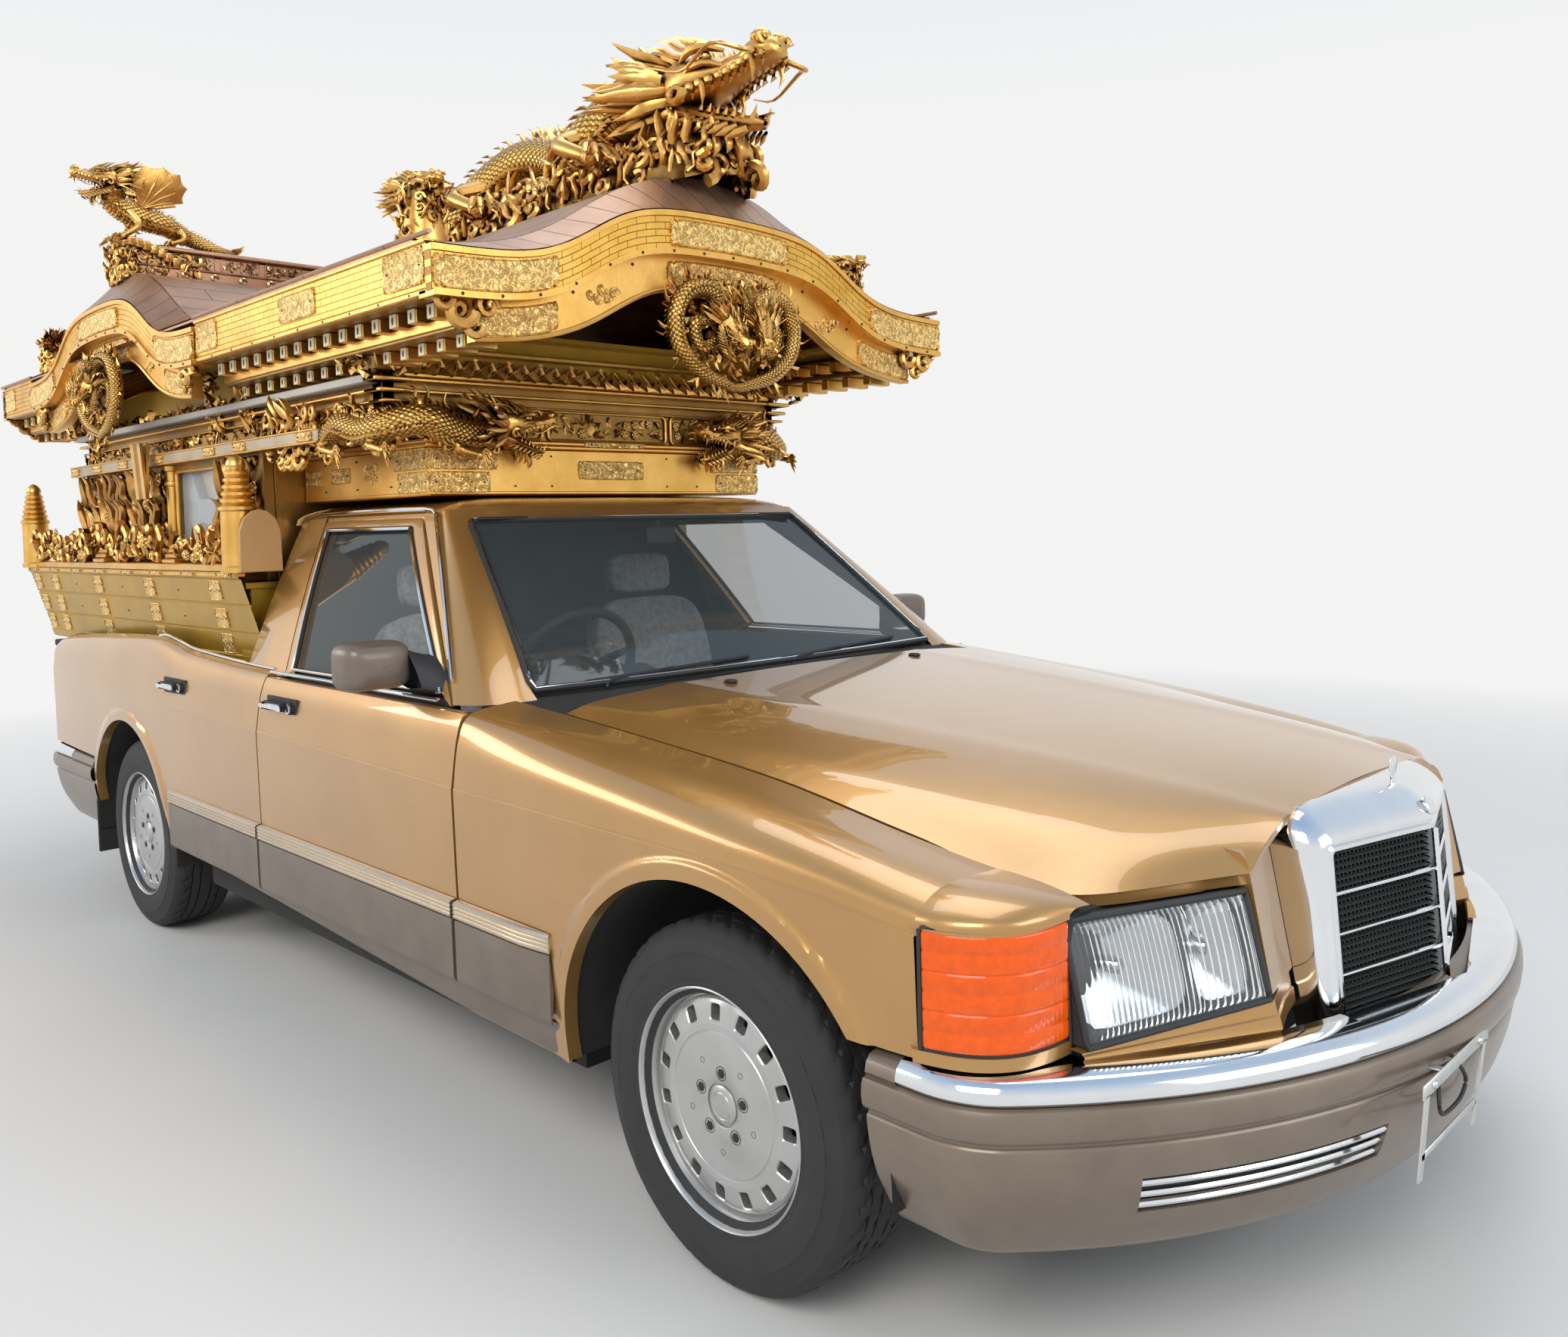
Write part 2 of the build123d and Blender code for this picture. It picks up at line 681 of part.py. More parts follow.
def grille_bars():
    """Leaning bars in each half, their ends 0.3 mm clear of the shell."""
    def leaning(y0, y1, z0, z1, back, proud):
        low = [(grille_front_x(y, z0), y, z0) for y in (y0, y1)]
        high = [(grille_front_x(y, z1), y, z1) for y in (y1, y0)]
        corners = low + high
        front_ring = [(x - proud, y, z) for x, y, z in corners]
        back_ring = [(x - back, y, z) for x, y, z in corners]
        return loft_rings([front_ring, back_ring])

    edge = opening_half_width - seat_gap
    low_z = opening_low_z + seat_gap
    high_z = opening_high_z - seat_gap
    height = high_z - low_z
    bars = leaning(0, 6, low_z, high_z, 34, 2)
    for number in range(1, bar_count + 1):
        z = low_z + height * number / (bar_count + 1)
        bars += leaning(0, edge, z - 4, z + 4, 34, 4)
    bars += leaning(edge - 8, edge, low_z, high_z, 34, 16)
    for number in range(slat_count + 1):
        z = low_z + 2 + (height - 4) * number / slat_count
        bars += leaning(0, edge, z - 1.5, z + 1.5, 30, 14)
    for number in range(1, rib_count):
        y = edge * number / rib_count
        bars += leaning(y - 1.2, y + 1.2, low_z, high_z, 34, 20)
    return bars + other_side(bars)


save("front_body", front_body())
save("hood", hood())
save("grille_shell", grille_shell())
save("grille_bars", grille_bars())


# Lamps
def headlamp():
    return lamp_slab([(438, 586), (709, 553), (711, 730), (441, 742)], 40, 2)


def indicator():
    """Amber wrap-round lens of the left corner."""
    lens = plan_plate(indicator_plan, indicator_low_z, indicator_high_z)
    return lens - span((400, 700), (0, 712), (500, 800))


def tail_lamp():
    """Ribbed lamp set in the rear panel, left side."""
    lamp = span((-4010, -3945), (480.3, 800), (630.3, 814.7)) & \
        plan_plate([(x - 6, y) for x, y in tail_plan], 200, 1100)
    for number in range(1, 5):
        z = 630 + 185 * number / 5
        lamp -= span((-4020, -3984), (470, 830), (z - 5, z + 5))
    return lamp


save("headlamps", both_sides(headlamp()))
save("indicators", both_sides(indicator()))
save("tail_lamps", both_sides(tail_lamp()))

# Bumpers: one hollow section swept round the nose and round the tail
bumper_section = [
    # outward from the chrome edge, z
    (-78, bumper_top_z), (-34, bumper_top_z), (-8, bumper_top_z - 6), (0, 519), (10, 500),
    (12, 466), (4, 452), (0, 446), (-14, 350), (-62, 262), (-92, 248),
    (-96, 260), (-72, 274), (-30, 354), (-18, 450), (-8, 470), (-10, 498),
    (-16, 510), (-30, bumper_top_z - 12), (-78, bumper_top_z - 16),
]


def bumper(nose_x, plan_radius, side_y, corner_radius, start_x):
    """Sweep round a plan of two straights, two corners and one long arc."""
    centre_x = nose_x - plan_radius
    corner_y = side_y - corner_radius
    corner_x = centre_x + sqrt((plan_radius - corner_radius) ** 2 - corner_y ** 2)
    turn = degrees(atan2(corner_y, corner_x - centre_x))
    profile = polygon([(start_x, -side_y - out, z) for out, z in bumper_section])
    straight = Line((start_x, -side_y, 0), (corner_x, -side_y, 0))
    corner = JernArc(straight @ 1, (1, 0, 0), corner_radius, 90 - turn)
    front = JernArc(corner @ 1, corner % 1, plan_radius, 2 * turn)
    far_corner = JernArc(front @ 1, front % 1, corner_radius, 90 - turn)
    far_straight = Line(far_corner @ 1, (start_x, side_y, 0))
    path = Wire([straight.edge(), corner.edge(), front.edge(), far_corner.edge(), far_straight.edge()])
    return sweep(profile, path=path)


grille_room = 28


def front_bumper():
    skin_piece = bumper(bumper_nose_x, bumper_plan_radius, bumper_side_y, bumper_corner_radius, 372)
    for side in (1, -1):
        for number in range(3):
            z = 331 + 20 * number
            low, high = sorted((side * 320, side * 700))
            skin_piece -= span((600, 960), (low, high), (z, z + 10))
    edge_y = grille_half_width + grille_room / 2
    edge_x = grille_front_x(edge_y, grille_low_z) + grille_room
    nose_x = grille_front_x(0, grille_low_z) + grille_room
    clear = [(680, -edge_y), (edge_x, -edge_y), (nose_x, 0), (edge_x, edge_y), (680, edge_y)]
    return skin_piece - plan_plate(clear, 400, 700)


def rear_bumper():
    piece = bumper(4060, 2300, 886, 150, wheelbase + 398)
    return Rot(0, 0, 180) * piece


save("front_bumper", front_bumper())
save("rear_bumper", rear_bumper())


# Plank and bright strip along the sill, on the body and on the doors apart
moulding_hinge_gap = 4


def moulding(rear_x, rear_y, front_x, front_y):
    """Left moulding seated on the side skin, whose crease is at rear_y and front_y."""
    section = [
        # out from the crease, z
        (-15.4 + seat_gap, 356), (6, 358), (11, 372), (12, 500), (15, 507), (13, 530),
        (0.3 + seat_gap, 535), (seat_gap, moulding_z),
    ]
    return loft_rings([[(rear_x, rear_y + out, z) for out, z in section],
                       [(front_x, front_y + out, z) for out, z in section]])


def side_mouldings():
    """The runs on the body: ahead of each door and behind it up to the rear wheel opening."""
    front = moulding(door_front_x + moulding_hinge_gap, 902, -428, 902)
    rear = moulding(-2505, 898.6, -2400, 900.1)
    rear += moulding(-2400, 900.1, door_rear_x - moulding_hinge_gap, 902.1)
    return group(both_sides(front), both_sides(rear))


left_door_moulding = moulding(door_rear_x + moulding_hinge_gap, 902, door_front_x - moulding_hinge_gap, 902)
save("side_mouldings", side_mouldings())
save("door_moulding_left", left_door_moulding)
save("door_moulding_right", other_side(left_door_moulding))


# Bent bracket for a plate, hung under the bumper
bracket_hole_spacing = 210
bracket_hole_radius = 3.5
bracket_hole_z = 460
bracket_y = -185
bracket_x = front_overhang - 3.6


def bumper_face_x(y, out):
    """Front of the bumper at y, where its section stands out by out."""
    return bumper_nose_x - bumper_plan_radius + sqrt((bumper_plan_radius + out) ** 2 - y ** 2)


def plate_bracket():
    bar = span((bracket_x, front_overhang), (bracket_y - 150, bracket_y + 150), (448, 472))
    for top_y, bottom_y in ((bracket_y + 132, bracket_y + 76), (bracket_y - 132, bracket_y - 164)):
        leg = [(top_y - 9, 450), (top_y + 9, 450), (bottom_y + 9, 335), (bottom_y - 9, 335)]
        bar += front_plate(leg, bracket_x, front_overhang)
    for side in (1, -1):
        hole_y = bracket_y + side * bracket_hole_spacing / 2
        bar -= Pos(bracket_x, hole_y, bracket_hole_z) * Rot(0, 90, 0) * Cylinder(bracket_hole_radius, 20)
        foot_y = bracket_y + side * 50
        foot_x = bumper_face_x(foot_y + 8, 12) + seat_gap
        bar += span((foot_x, bracket_x + 1), (foot_y - 8, foot_y + 8), (460, 470))
    bar += span((bracket_x, front_overhang), (bracket_y - 162, bracket_y + 90), (362, 374))
    return bar


save("plate_bracket", plate_bracket())

# Drive line, seats and dash
engine_top_z = 790


def exhaust():
    route = FilletPolyline((-342, 180, 300), (-460, 176, 296), (-620, 160, 196), (-3150, 190, 194),
                           (-3350, 330, 212), (-3985, 400, 212), radius=60)
    pipe = sweep(Plane(origin=route @ 0, z_dir=route % 0) * Circle(26), path=route)
    box = span((-1940, -1460), (100, 260), (150, 226))
    return pipe + box


def seat(y):
    base = loft_rings([
        [(-1060, y - 250, 440), (-1060, y + 250, 440), (-1620, y + 250, 400), (-1620, y - 250, 400)],
        [(-1040, y - 240, 530), (-1040, y + 240, 530), (-1600, y + 240, 500), (-1600, y - 240, 500)],
        [(-1060, y - 215, 565), (-1060, y + 215, 565), (-1600, y + 215, 520), (-1600, y - 215, 520)],
    ])
    back = loft_rings([
        [(-1540, y - 240, 500), (-1540, y + 240, 500), (-1680, y + 240, 480), (-1680, y - 240, 480)],
        [(-1700, y - 225, 1080), (-1700, y + 225, 1080), (-1790, y + 225, 1080), (-1790, y - 225, 1080)],
    ])
    rest = loft_rings([
        [(-1715, y - 125, 1100), (-1715, y + 125, 1100), (-1800, y + 125, 1100), (-1800, y - 125, 1100)],
        [(-1715, y - 125, 1225), (-1715, y + 125, 1225), (-1790, y + 125, 1225), (-1790, y - 125, 1225)],
    ])
    stems = rod((-1750, y - 60, 1060), (-1755, y - 60, 1120), 6)
    stems += rod((-1750, y + 60, 1060), (-1755, y + 60, 1120), 6)
    runner = span((-1560, -1120), (y - 200, y + 200), (floor_z + floor_thickness + seat_gap, 450))
    return base + back + rest + stems + runner


def dashboard():
    section = [
        (-700 - seat_gap, 700), (-700 - seat_gap, 780), (-815, 840), (-815, 915), (-860, 930),
        (-1000, 915), (-1030, 880), (-1010, 800), (-940, 690), (-900, 640),
    ]
    dash = side_plate(section, -690, 690)
    dial_cover = [(-900, 920), (-1010, 955), (-1040, 950), (-1030, 880), (-960, 870)]
    hood_over_dials = side_plate(dial_cover, -560, -180)
    column = rod((-930, -370, 850), (-1100, -370, 932), 30)
    console = span((-1100, -900), (-110, 110), (421, 760))
    rim = Pos(-1100, -370, 932) * Rot(0, -64, 0) * Torus(188, 13)
    spokes = Pos(-1100, -370, 932) * Rot(0, -64, 0) * (Box(120, 360, 14) + Cylinder(70, 30))
    return dash + hood_over_dials + column + console + rim + spokes


save("engine_block", span((-340, 330), (-235, 235), (240 + seat_gap, engine_top_z)))
save("exhaust", exhaust())
save("seats", group(seat(370), seat(-370)))
save("dashboard", dashboard())


# Shrine tub: flared sides on the deck, with the floor for the coffin inside
def tub_ring(z, half_width, front_x, rear_x):
    front = [(front_x, -half_width, z), (front_x, half_width, z)]
    return front + [(rear_x, half_width, z), (rear_x, -half_width, z)]


def tub():
    low_z = deck_z + seat_gap
    outer = loft_rings([
        tub_ring(low_z, tub_floor_half_width, tub_front_x - 130, tub_rear_x + 120),
        tub_ring(tub_top_z, tub_half_width, tub_front_x, tub_rear_x),
    ])
    inner = loft_rings([
        tub_ring(low_z + tub_wall, tub_floor_half_width - tub_wall + 6, 0, tub_rear_x + 120 + tub_wall),
        tub_ring(tub_top_z + 10, tub_half_width - tub_wall + 2, 0, tub_rear_x + tub_wall),
    ])
    ledge = span((tub_rear_x - 20, wall_front_x - 2), (-900, 900), (coffin_floor_z - 20, coffin_floor_z))
    ledge &= outer
    return outer - inner + ledge - glasshouse(-2)


def coffin_rollers():
    """Cross rollers in two side rails, on the coffin floor."""
    low_z = coffin_floor_z + seat_gap
    rails = span((-3800, -2240), (330, 350), (low_z, 1212))
    rails += span((-3800, -2240), (-350, -330), (low_z, 1212))
    for number in range(8):
        x = -2320 - 200 * number
        rails += Pos(x, 0, 1200) * Rot(90, 0, 0) * Cylinder(16, 670)
    return rails


save("tub", tub())
save("coffin_rollers", coffin_rollers())


# Deck rail: two tiers on short posts, thick round posts at the corners and steps amidships
def deck_rail():
    y = tub_half_width - tub_wall / 2 - 2
    front_x = -2110
    rear_x = tub_rear_x + 60
    base_z = tub_top_z + seat_gap
    pieces = []
    for side in (1, -1):
        low, high = sorted((side * (y - 14), side * (y + 14)))
        pieces.append(span((rear_x, front_x), (low, high), (base_z, base_z + 26)))
        pieces.append(span((rear_x, front_x), (low, high), (base_z + 96, base_z + 112)))
        pieces.append(rod((rear_x, side * y, base_z + 150), (front_x, side * y, base_z + 150), 11))
        for number in range(9):
            x = front_x + (rear_x - front_x) * (number + 0.5) / 9
            pieces.append(span((x - 9, x + 9), (side * y - 9, side * y + 9), (base_z, base_z + 150)))
        for x, height in ((front_x, 320), (rear_x, 320)):
            pieces.append(Pos(x, side * y, base_z + height / 2) * Cylinder(post_radius, height))
            pieces.append(Pos(x, side * y, base_z + height - 30) * Cylinder(post_radius + 6, 16))
            pieces.append(Pos(x, side * y, base_z + height - 70) * Cylinder(post_radius + 4, 10))
            pieces.append(Pos(x, side * y, base_z + height + 12) * Cone(post_radius - 8, 10, 26))
    left = pieces[0]
    for piece in pieces[1:len(pieces) // 2]:
        left += piece
    right = pieces[len(pieces) // 2]
    for piece in pieces[len(pieces) // 2 + 1:]:
        right += piece
    return group(left, right)


save("deck_rail", deck_rail())

# Walls: side bays between carved posts, a rear wall with the doorway, glass in the middle bay
window_bay = (-2860, -2470)
bay_low_z = 1300
bay_high_z = 1540
bay_posts = [-2200, -2440, -2900, -3260, -3560, -3830]


def walls():
    inner_y = wall_half_width - wall_thickness
    shell = span((wall_rear_x, wall_front_x), (-wall_half_width, wall_half_width),
                 (coffin_floor_z + seat_gap, wall_top_z))
    room = (wall_rear_x + wall_thickness, wall_front_x - wall_thickness)
    shell -= span(room, (-inner_y, inner_y), (1100, 1700))
    doorway = door_leaf_width + 2 * shut_gap
    shell -= span((wall_rear_x - 50, wall_rear_x + 50), (-doorway, doorway), (1100, 1700))
    for side in (1, -1):
        low, high = sorted((side * 600, side * 800))
        shell -= span(window_bay, (low, high), (bay_low_z, bay_high_z))
        for x in bay_posts:
            shell += Pos(x, side * (wall_half_width + 6), (coffin_floor_z + wall_top_z) / 2 + 0.15) * \
                Cylinder(34, wall_top_z - coffin_floor_z - seat_gap)
        low, high = sorted((side * (door_leaf_width - 10), side * (doorway + 28)))
        stop = (wall_rear_x + door_leaf_thickness + seat_gap, wall_rear_x + 50)
        shell += span(stop, (low, high), (1230, 1630))
        low, high = sorted((side * (wall_half_width - 5), side * (wall_half_width + 48)))
        beam = (beam_z - beam_height / 2, beam_z + beam_height / 2)
        shell += span((wall_rear_x - 30, -1672), (low, high), beam)
    return shell


def shrine_windows():
    y = wall_half_width - wall_thickness / 2
    pane = span((window_bay[0] + seat_gap, window_bay[1] - seat_gap), (y - 3, y + 3),
                (bay_low_z + seat_gap, bay_high_z - seat_gap))
    return both_sides(pane)


def roof_band():
    """Gilded box on the cab roof that carries the front of the shrine."""
    outer = span((-2148, band_front_x), (-band_half_width, band_half_width),
                 (roof_top_z + seat_gap, band_top_z))
    inner_y = band_half_width - 30
    return outer - span((-2120, band_front_x - 30), (-inner_y, inner_y), (1400, 1600))


frieze_top_z = 1730


def frieze():
    """Carved upper wall under the eaves, all round, open inside."""
    low_z = wall_top_z + seat_gap
    doorway = door_leaf_width + 2 * shut_gap
    body = span((wall_rear_x - 10, -1420), (-700, 700), (low_z, frieze_top_z))
    body -= span((wall_rear_x + 30, -1470), (-660, 660), (low_z - 10, 1900))
    collar = span((wall_front_x + seat_gap, -1400), (-640, 640), (band_top_z + seat_gap, low_z + 20))
    body += collar - span((wall_front_x - 50, -1450), (-590, 590), (1500, 1700))
    for z, out in ((1652, 12), (1678, 24), (1704, 36)):
        ledge = span((wall_rear_x - 10 - out, -1420 + out), (-700 - out, 700 + out), (z, z + 14))
        body += ledge - span((wall_rear_x + 10, -1450), (-670, 670), (1600, 1900))
    cut_top_z = rear_door_top_z + shut_gap
    return body - span((wall_rear_x - 100, wall_rear_x + 60), (-doorway, doorway), (1500, cut_top_z))


save("walls", walls())
save("shrine_windows", shrine_windows())
save("roof_band", roof_band())
save("frieze", frieze())


# Roof: bow-shaped barrels crossing at the rear ridge, with boards along every edge
def bow(y, eave_z, rise, middle, width):
    """Height of a bow-shaped gable line at distance y from its middle."""
    u = abs(y) / eave_half_width
    return eave_z + rise / (1 + exp((u - middle) / width))


def skin_line(y):
    return bow(y, 1948, 290, 0.463, 0.135)


def fascia_line(y):
    return bow(y, 1916, 182, 0.51, 0.09)


def ledge_line(y):
    return fascia_line(y) - fascia_height


def board_line(y):
    u = abs(y) / eave_half_width
    return ledge_line(y) - 92 - 30 * exp(-((u - 0.45) / 0.16) ** 2) - 10 * u


def samples(half_width, count=12):
    return [half_width * (2 * number / (2 * count) - 1) for number in range(2 * count + 1)]


def strip_outline(top, bottom, half_width, count=12):
    ys = samples(half_width, count)
    return [(y, top(y)) for y in ys] + [(y, bottom(y)) for y in reversed(ys)]


def gable_board(face_x, outward):
    """Fascia, ledge and lower board of one gable, face at face_x, outward +1 or -1."""
    back = -outward
    fascia = front_plate(strip_outline(lambda y: fascia_line(y) + 1.7, ledge_line, eave_half_width + 5),
                         *sorted((face_x, face_x + back * board_thickness)))
    ledge_strip = front_plate(strip_outline(lambda y: ledge_line(y) + 4, lambda y: ledge_line(y) - 12,
                                            eave_half_width - 12),
                              *sorted((face_x + back * 8, face_x + back * 60)))
    lower = front_plate(strip_outline(lambda y: ledge_line(y) - 8, board_line, 752),
                        *sorted((face_x + back * 34, face_x + back * 64)))
    return fascia + ledge_strip + lower


def cross_gable(side):
    """Gable board turned to face the side, on the rear ridge."""
    board = gable_board(eave_half_width + 5, 1)
    return Pos(cross_ridge_x, 0, 0) * Rot(0, 0, 90 * side) * board


def gable_boards():
    front = gable_board(gable_front_x, 1)
    rear = gable_board(roof_rear, -1)
    return group(front, rear, cross_gable(1), cross_gable(-1))


def eave_boards():
    """Straight fascia between the gables, with its ledge, and the two rows of rafters."""
    pieces = []
    corner = eave_half_width + 5
    runs = [
        # rear x and front x of the fascia, then of what lies under it
        (cross_ridge_x + corner + seat_gap, gable_front_x - board_thickness - seat_gap, 0, 36),
        (roof_rear + board_thickness + seat_gap, cross_ridge_x - corner - seat_gap, 36, 0),
    ]
    for rear_x, front_x, rear_room, front_room in runs:
        run = span((rear_x, front_x), (eave_half_width - board_thickness, eave_half_width), (1838, 1946))
        under = (rear_x + rear_room, front_x - front_room)
        run += span(under, (eave_half_width - 110, eave_half_width - 6), (1822, 1838))
        run += span(under, (702, 780), (1774, 1790))
        run += span(under, (640, 782), (1762, 1776))
        count = max(2, round((front_x - rear_x) / 92))
        for number in range(count):
            x = under[0] + (under[1] - under[0]) * (number + 0.5) / count
            run += span((x - 17, x + 17), (690, 812), (1788, 1824))
            run += span((x - 15, x + 15), (650, 742), (frieze_top_z + seat_gap, 1764))
        pieces.append(run)
    return group(*[both_sides(run) for run in pieces])


def roof_skin_piece():
    """Copper skin: long barrel with bevelled ends, crossed by the rear barrel."""
    def barrel(front_x, rear_x, lower):
        ys = samples(eave_half_width + 5)
        rings = []
        for x, bevelled in ((front_x, False), (front_x - 95, True), (rear_x + 95, True), (rear_x, False)):
            if bevelled:
                top = [(x, y, skin_line(y) - lower) for y in ys]
            else:
                top = [(x, y, fascia_line(y) + 14 - min(lower, 12)) for y in ys]
            rings.append(top + [(x, ys[-1], 1850 - lower), (x, ys[0], 1850 - lower)])
        return loft_rings(rings)

    def turned_barrel(half_length, lower):
        return Pos(cross_ridge_x, 0, 0) * Rot(0, 0, 90) * barrel(half_length, -half_length, lower)

    half_length = eave_half_width + 3
    outer = barrel(gable_front_x - 2, roof_rear + 2, 0) + turned_barrel(half_length, 0)
    inner = barrel(gable_front_x + 10, roof_rear - 10, roof_skin)
    inner += turned_barrel(half_length + 12, roof_skin)
    keep = span((roof_rear + 2, gable_front_x - 2), (-866, 866), (1946 + seat_gap, 2600))
    skin_solid = (outer - inner) & keep
    return max(skin_solid.solids(), key=lambda solid: solid.volume)


def soffit():
    """Boarded ceiling that joins the frieze to the roof boards."""
    low_z = 1838 + seat_gap
    slab = span((roof_rear + 70, gable_front_x - 70), (-800, 800), (low_z, 1850))
    slab -= span((-3700, -1600), (-600, 600), (1800, 1900))
    for x0, x1 in ((gable_front_x - 520, gable_front_x - 60), (roof_rear + 60, roof_rear + 520)):
        slab -= span((x0, x1), (-560, 560), (1800, 1900))
    for side in (1, -1):
        low, high = sorted((side * 640, side * 900))
        slab -= span((cross_ridge_x - 560, cross_ridge_x + 560), (low, high), (1800, 1900))
    riser = span((wall_rear_x - 5, -1425), (-638, 638), (frieze_top_z + seat_gap, 1845))
    riser -= span((wall_rear_x + 40, -1490), (-606, 606), (1600, 1900))
    foot = span((wall_rear_x - 5, -1425), (-645, 645), (frieze_top_z + seat_gap, frieze_top_z + 10))
    foot += span((-2600, -2500), (-690, 690), (frieze_top_z + seat_gap, frieze_top_z + 10))
    return slab + riser + foot - span((wall_rear_x + 40, -1490), (-606, 606), (1600, 1900))


save("gable_boards", gable_boards())
save("eave_boards", eave_boards())
save("soffit", soffit())


# Ridge boxes and the carved figures that stand on them
roof_solid = roof_skin_piece()


def ridge_boxes():
    box = span((cross_ridge_x - 70, cross_ridge_x + 70), (-750, 750), (2214, 2262))
    box += span((cross_ridge_x - 52, cross_ridge_x + 52), (-780, 780), (2262, 2318))
    box += span((cross_ridge_x - 66, cross_ridge_x + 66), (-790, 790), (2318, 2334))
    box += span((-2520, -1020), (-60, 60), (2216, 2262))
    whole = box - roof_solid
    return group(*[solid for solid in whole.solids() if solid.volume > 1e6])


def figure(path_points, radii):
    """Rough body of a carved dragon: balls joined by tapered runs."""
    body = None
    for (x0, y0, z0), (x1, y1, z1), r0, r1 in zip(path_points, path_points[1:], radii, radii[1:]):
        a, b = Vector(x0, y0, z0), Vector(x1, y1, z1)
        plane = Plane(origin=a, z_dir=b - a)
        limb = loft([plane * Circle(r0), plane.offset((b - a).length) * Circle(r1)], ruled=True)
        ball = Pos(x1, y1, z1) * Sphere(r1)
        body = limb + ball if body is None else body + limb + ball
    return body


def roof_dragons():
    spine = [(-2500, 2330), (-2300, 2420), (-2050, 2340), (-1800, 2480), (-1550, 2360), (-1300, 2480),
             (-1050, 2515)]
    big = figure([(x, 0, z) for x, z in spine], [30, 50, 70, 85, 95, 95, 112])
    big += loft_rings([
        [(-1020, -100, 2450), (-1020, 100, 2450), (-1020, 84, 2606), (-1020, -84, 2606)],
        [(-640, -56, 2470), (-640, 56, 2470), (-640, 44, 2560), (-640, -44, 2560)],
    ])
    big += loft_rings([
        [(-1010, -76, 2400), (-1010, 76, 2400), (-1010, 70, 2450), (-1010, -70, 2450)],
        [(-650, -42, 2345), (-650, 42, 2345), (-650, 36, 2385), (-650, -36, 2385)],
    ])
    big += loft_rings([
        [(-2500, -120, 2262.3), (-2500, 120, 2262.3), (-900, 170, 2262.3), (-900, -170, 2262.3)],
        [(-2450, -80, 2360), (-2450, 80, 2360), (-1000, 110, 2400), (-1000, -110, 2400)],
    ])
    side = figure(
        [(cross_ridge_x, -410, 2380), (cross_ridge_x, -600, 2420), (cross_ridge_x, -760, 2480),
         (cross_ridge_x, -880, 2560)],
        [24, 50, 60, 46],
    )
    side += span((cross_ridge_x - 60, cross_ridge_x + 60), (-788, -560), (2334.3, 2440))
    wing = [(-760, 2480), (-775, 2570), (-730, 2622), (-640, 2624), (-570, 2590), (-600, 2530),
            (-650, 2440)]
    side += front_plate(wing, cross_ridge_x - 8, cross_ridge_x + 8)
    side -= span((cross_ridge_x - 200, cross_ridge_x + 200), (-791, 0), (2200, 2334 + seat_gap))
    return group(big, side, other_side(side))


def guardian_heads():
    """Lion-dog busts near the four corners of the long roof."""
    pieces = []
    for x, nose in ((-1115, 1), (-4130, -1)):
        neck = Pos(x, 735, 2057.5) * Cylinder(58, 205)
        head = Pos(x + nose * 34, 735, 2165) * Sphere(54) + Pos(x + nose * 84, 735, 2150) * Sphere(30)
        bust = neck + head - roof_solid.moved(Location((0, 0, seat_gap)))
        pieces.append(both_sides(max(bust.solids(), key=lambda solid: solid.volume)))
    return group(*pieces)


def pendant():
    """Carved pendant in front of a gable's lower board, made for a face at x = 0."""
    depth = (-33.7, 0)
    rows = [
        # z, half width
        (1945, 120),
        (1870, 228),
        (1760, 205),
        (1690, 120),
        (1652, 40),
    ]
    outline = [(width, z) for z, width in rows] + [(-width, z) for z, width in reversed(rows)]
    return front_plate(outline, *depth)


def pendants():
    piece = pendant()
    front = Pos(gable_front_x, 0, 0) * piece
    rear = Pos(roof_rear, 0, 0) * Rot(0, 0, 180) * piece
    sides = [Pos(cross_ridge_x, 0, 0) * Rot(0, 0, 90 * side) * Pos(eave_half_width + 5, 0, 0) * piece
             for side in (1, -1)]
    return group(front, rear, *sides)


save("roof_skin", roof_solid)
save("ridge_boxes", ridge_boxes())
save("roof_dragons", roof_dragons())
save("guardian_heads", guardian_heads())
save("pendants", pendants())


# Rear doors: two leaves hinged at the outer edges of the doorway
def rear_door():
    """Left leaf."""
    y0 = shut_gap / 2
    leaf = span((wall_rear_x, wall_rear_x + door_leaf_thickness), (y0, y0 + door_leaf_width),
                (rear_door_bottom_z, rear_door_top_z))
    leaf += span((wall_rear_x - 8, wall_rear_x + 4), (y0 + 40, y0 + door_leaf_width - 40), (1270, 1640))
    return leaf


save("rear_door_left", rear_door())
save("rear_door_right", other_side(rear_door()))
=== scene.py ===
import bpy
import json
import math
import numpy as np
from mathutils import Matrix, Vector


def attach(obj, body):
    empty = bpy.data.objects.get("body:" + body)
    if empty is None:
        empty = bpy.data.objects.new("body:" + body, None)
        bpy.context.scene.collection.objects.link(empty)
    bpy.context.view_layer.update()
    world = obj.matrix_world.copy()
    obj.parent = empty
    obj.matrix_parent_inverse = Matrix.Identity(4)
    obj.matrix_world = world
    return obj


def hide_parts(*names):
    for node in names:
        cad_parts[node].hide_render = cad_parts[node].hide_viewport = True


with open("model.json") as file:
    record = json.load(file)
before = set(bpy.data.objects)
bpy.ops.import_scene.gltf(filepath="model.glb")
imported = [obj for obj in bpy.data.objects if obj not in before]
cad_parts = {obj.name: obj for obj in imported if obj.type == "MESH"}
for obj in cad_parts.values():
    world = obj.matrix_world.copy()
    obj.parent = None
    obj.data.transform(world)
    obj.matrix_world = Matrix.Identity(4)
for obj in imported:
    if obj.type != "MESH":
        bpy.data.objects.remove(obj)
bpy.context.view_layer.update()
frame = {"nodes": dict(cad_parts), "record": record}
nodes = frame["nodes"]

# Drawing frame: millimetres from the front axle, +X forward, +Y left, +Z up
AXLE_X = 1721.0


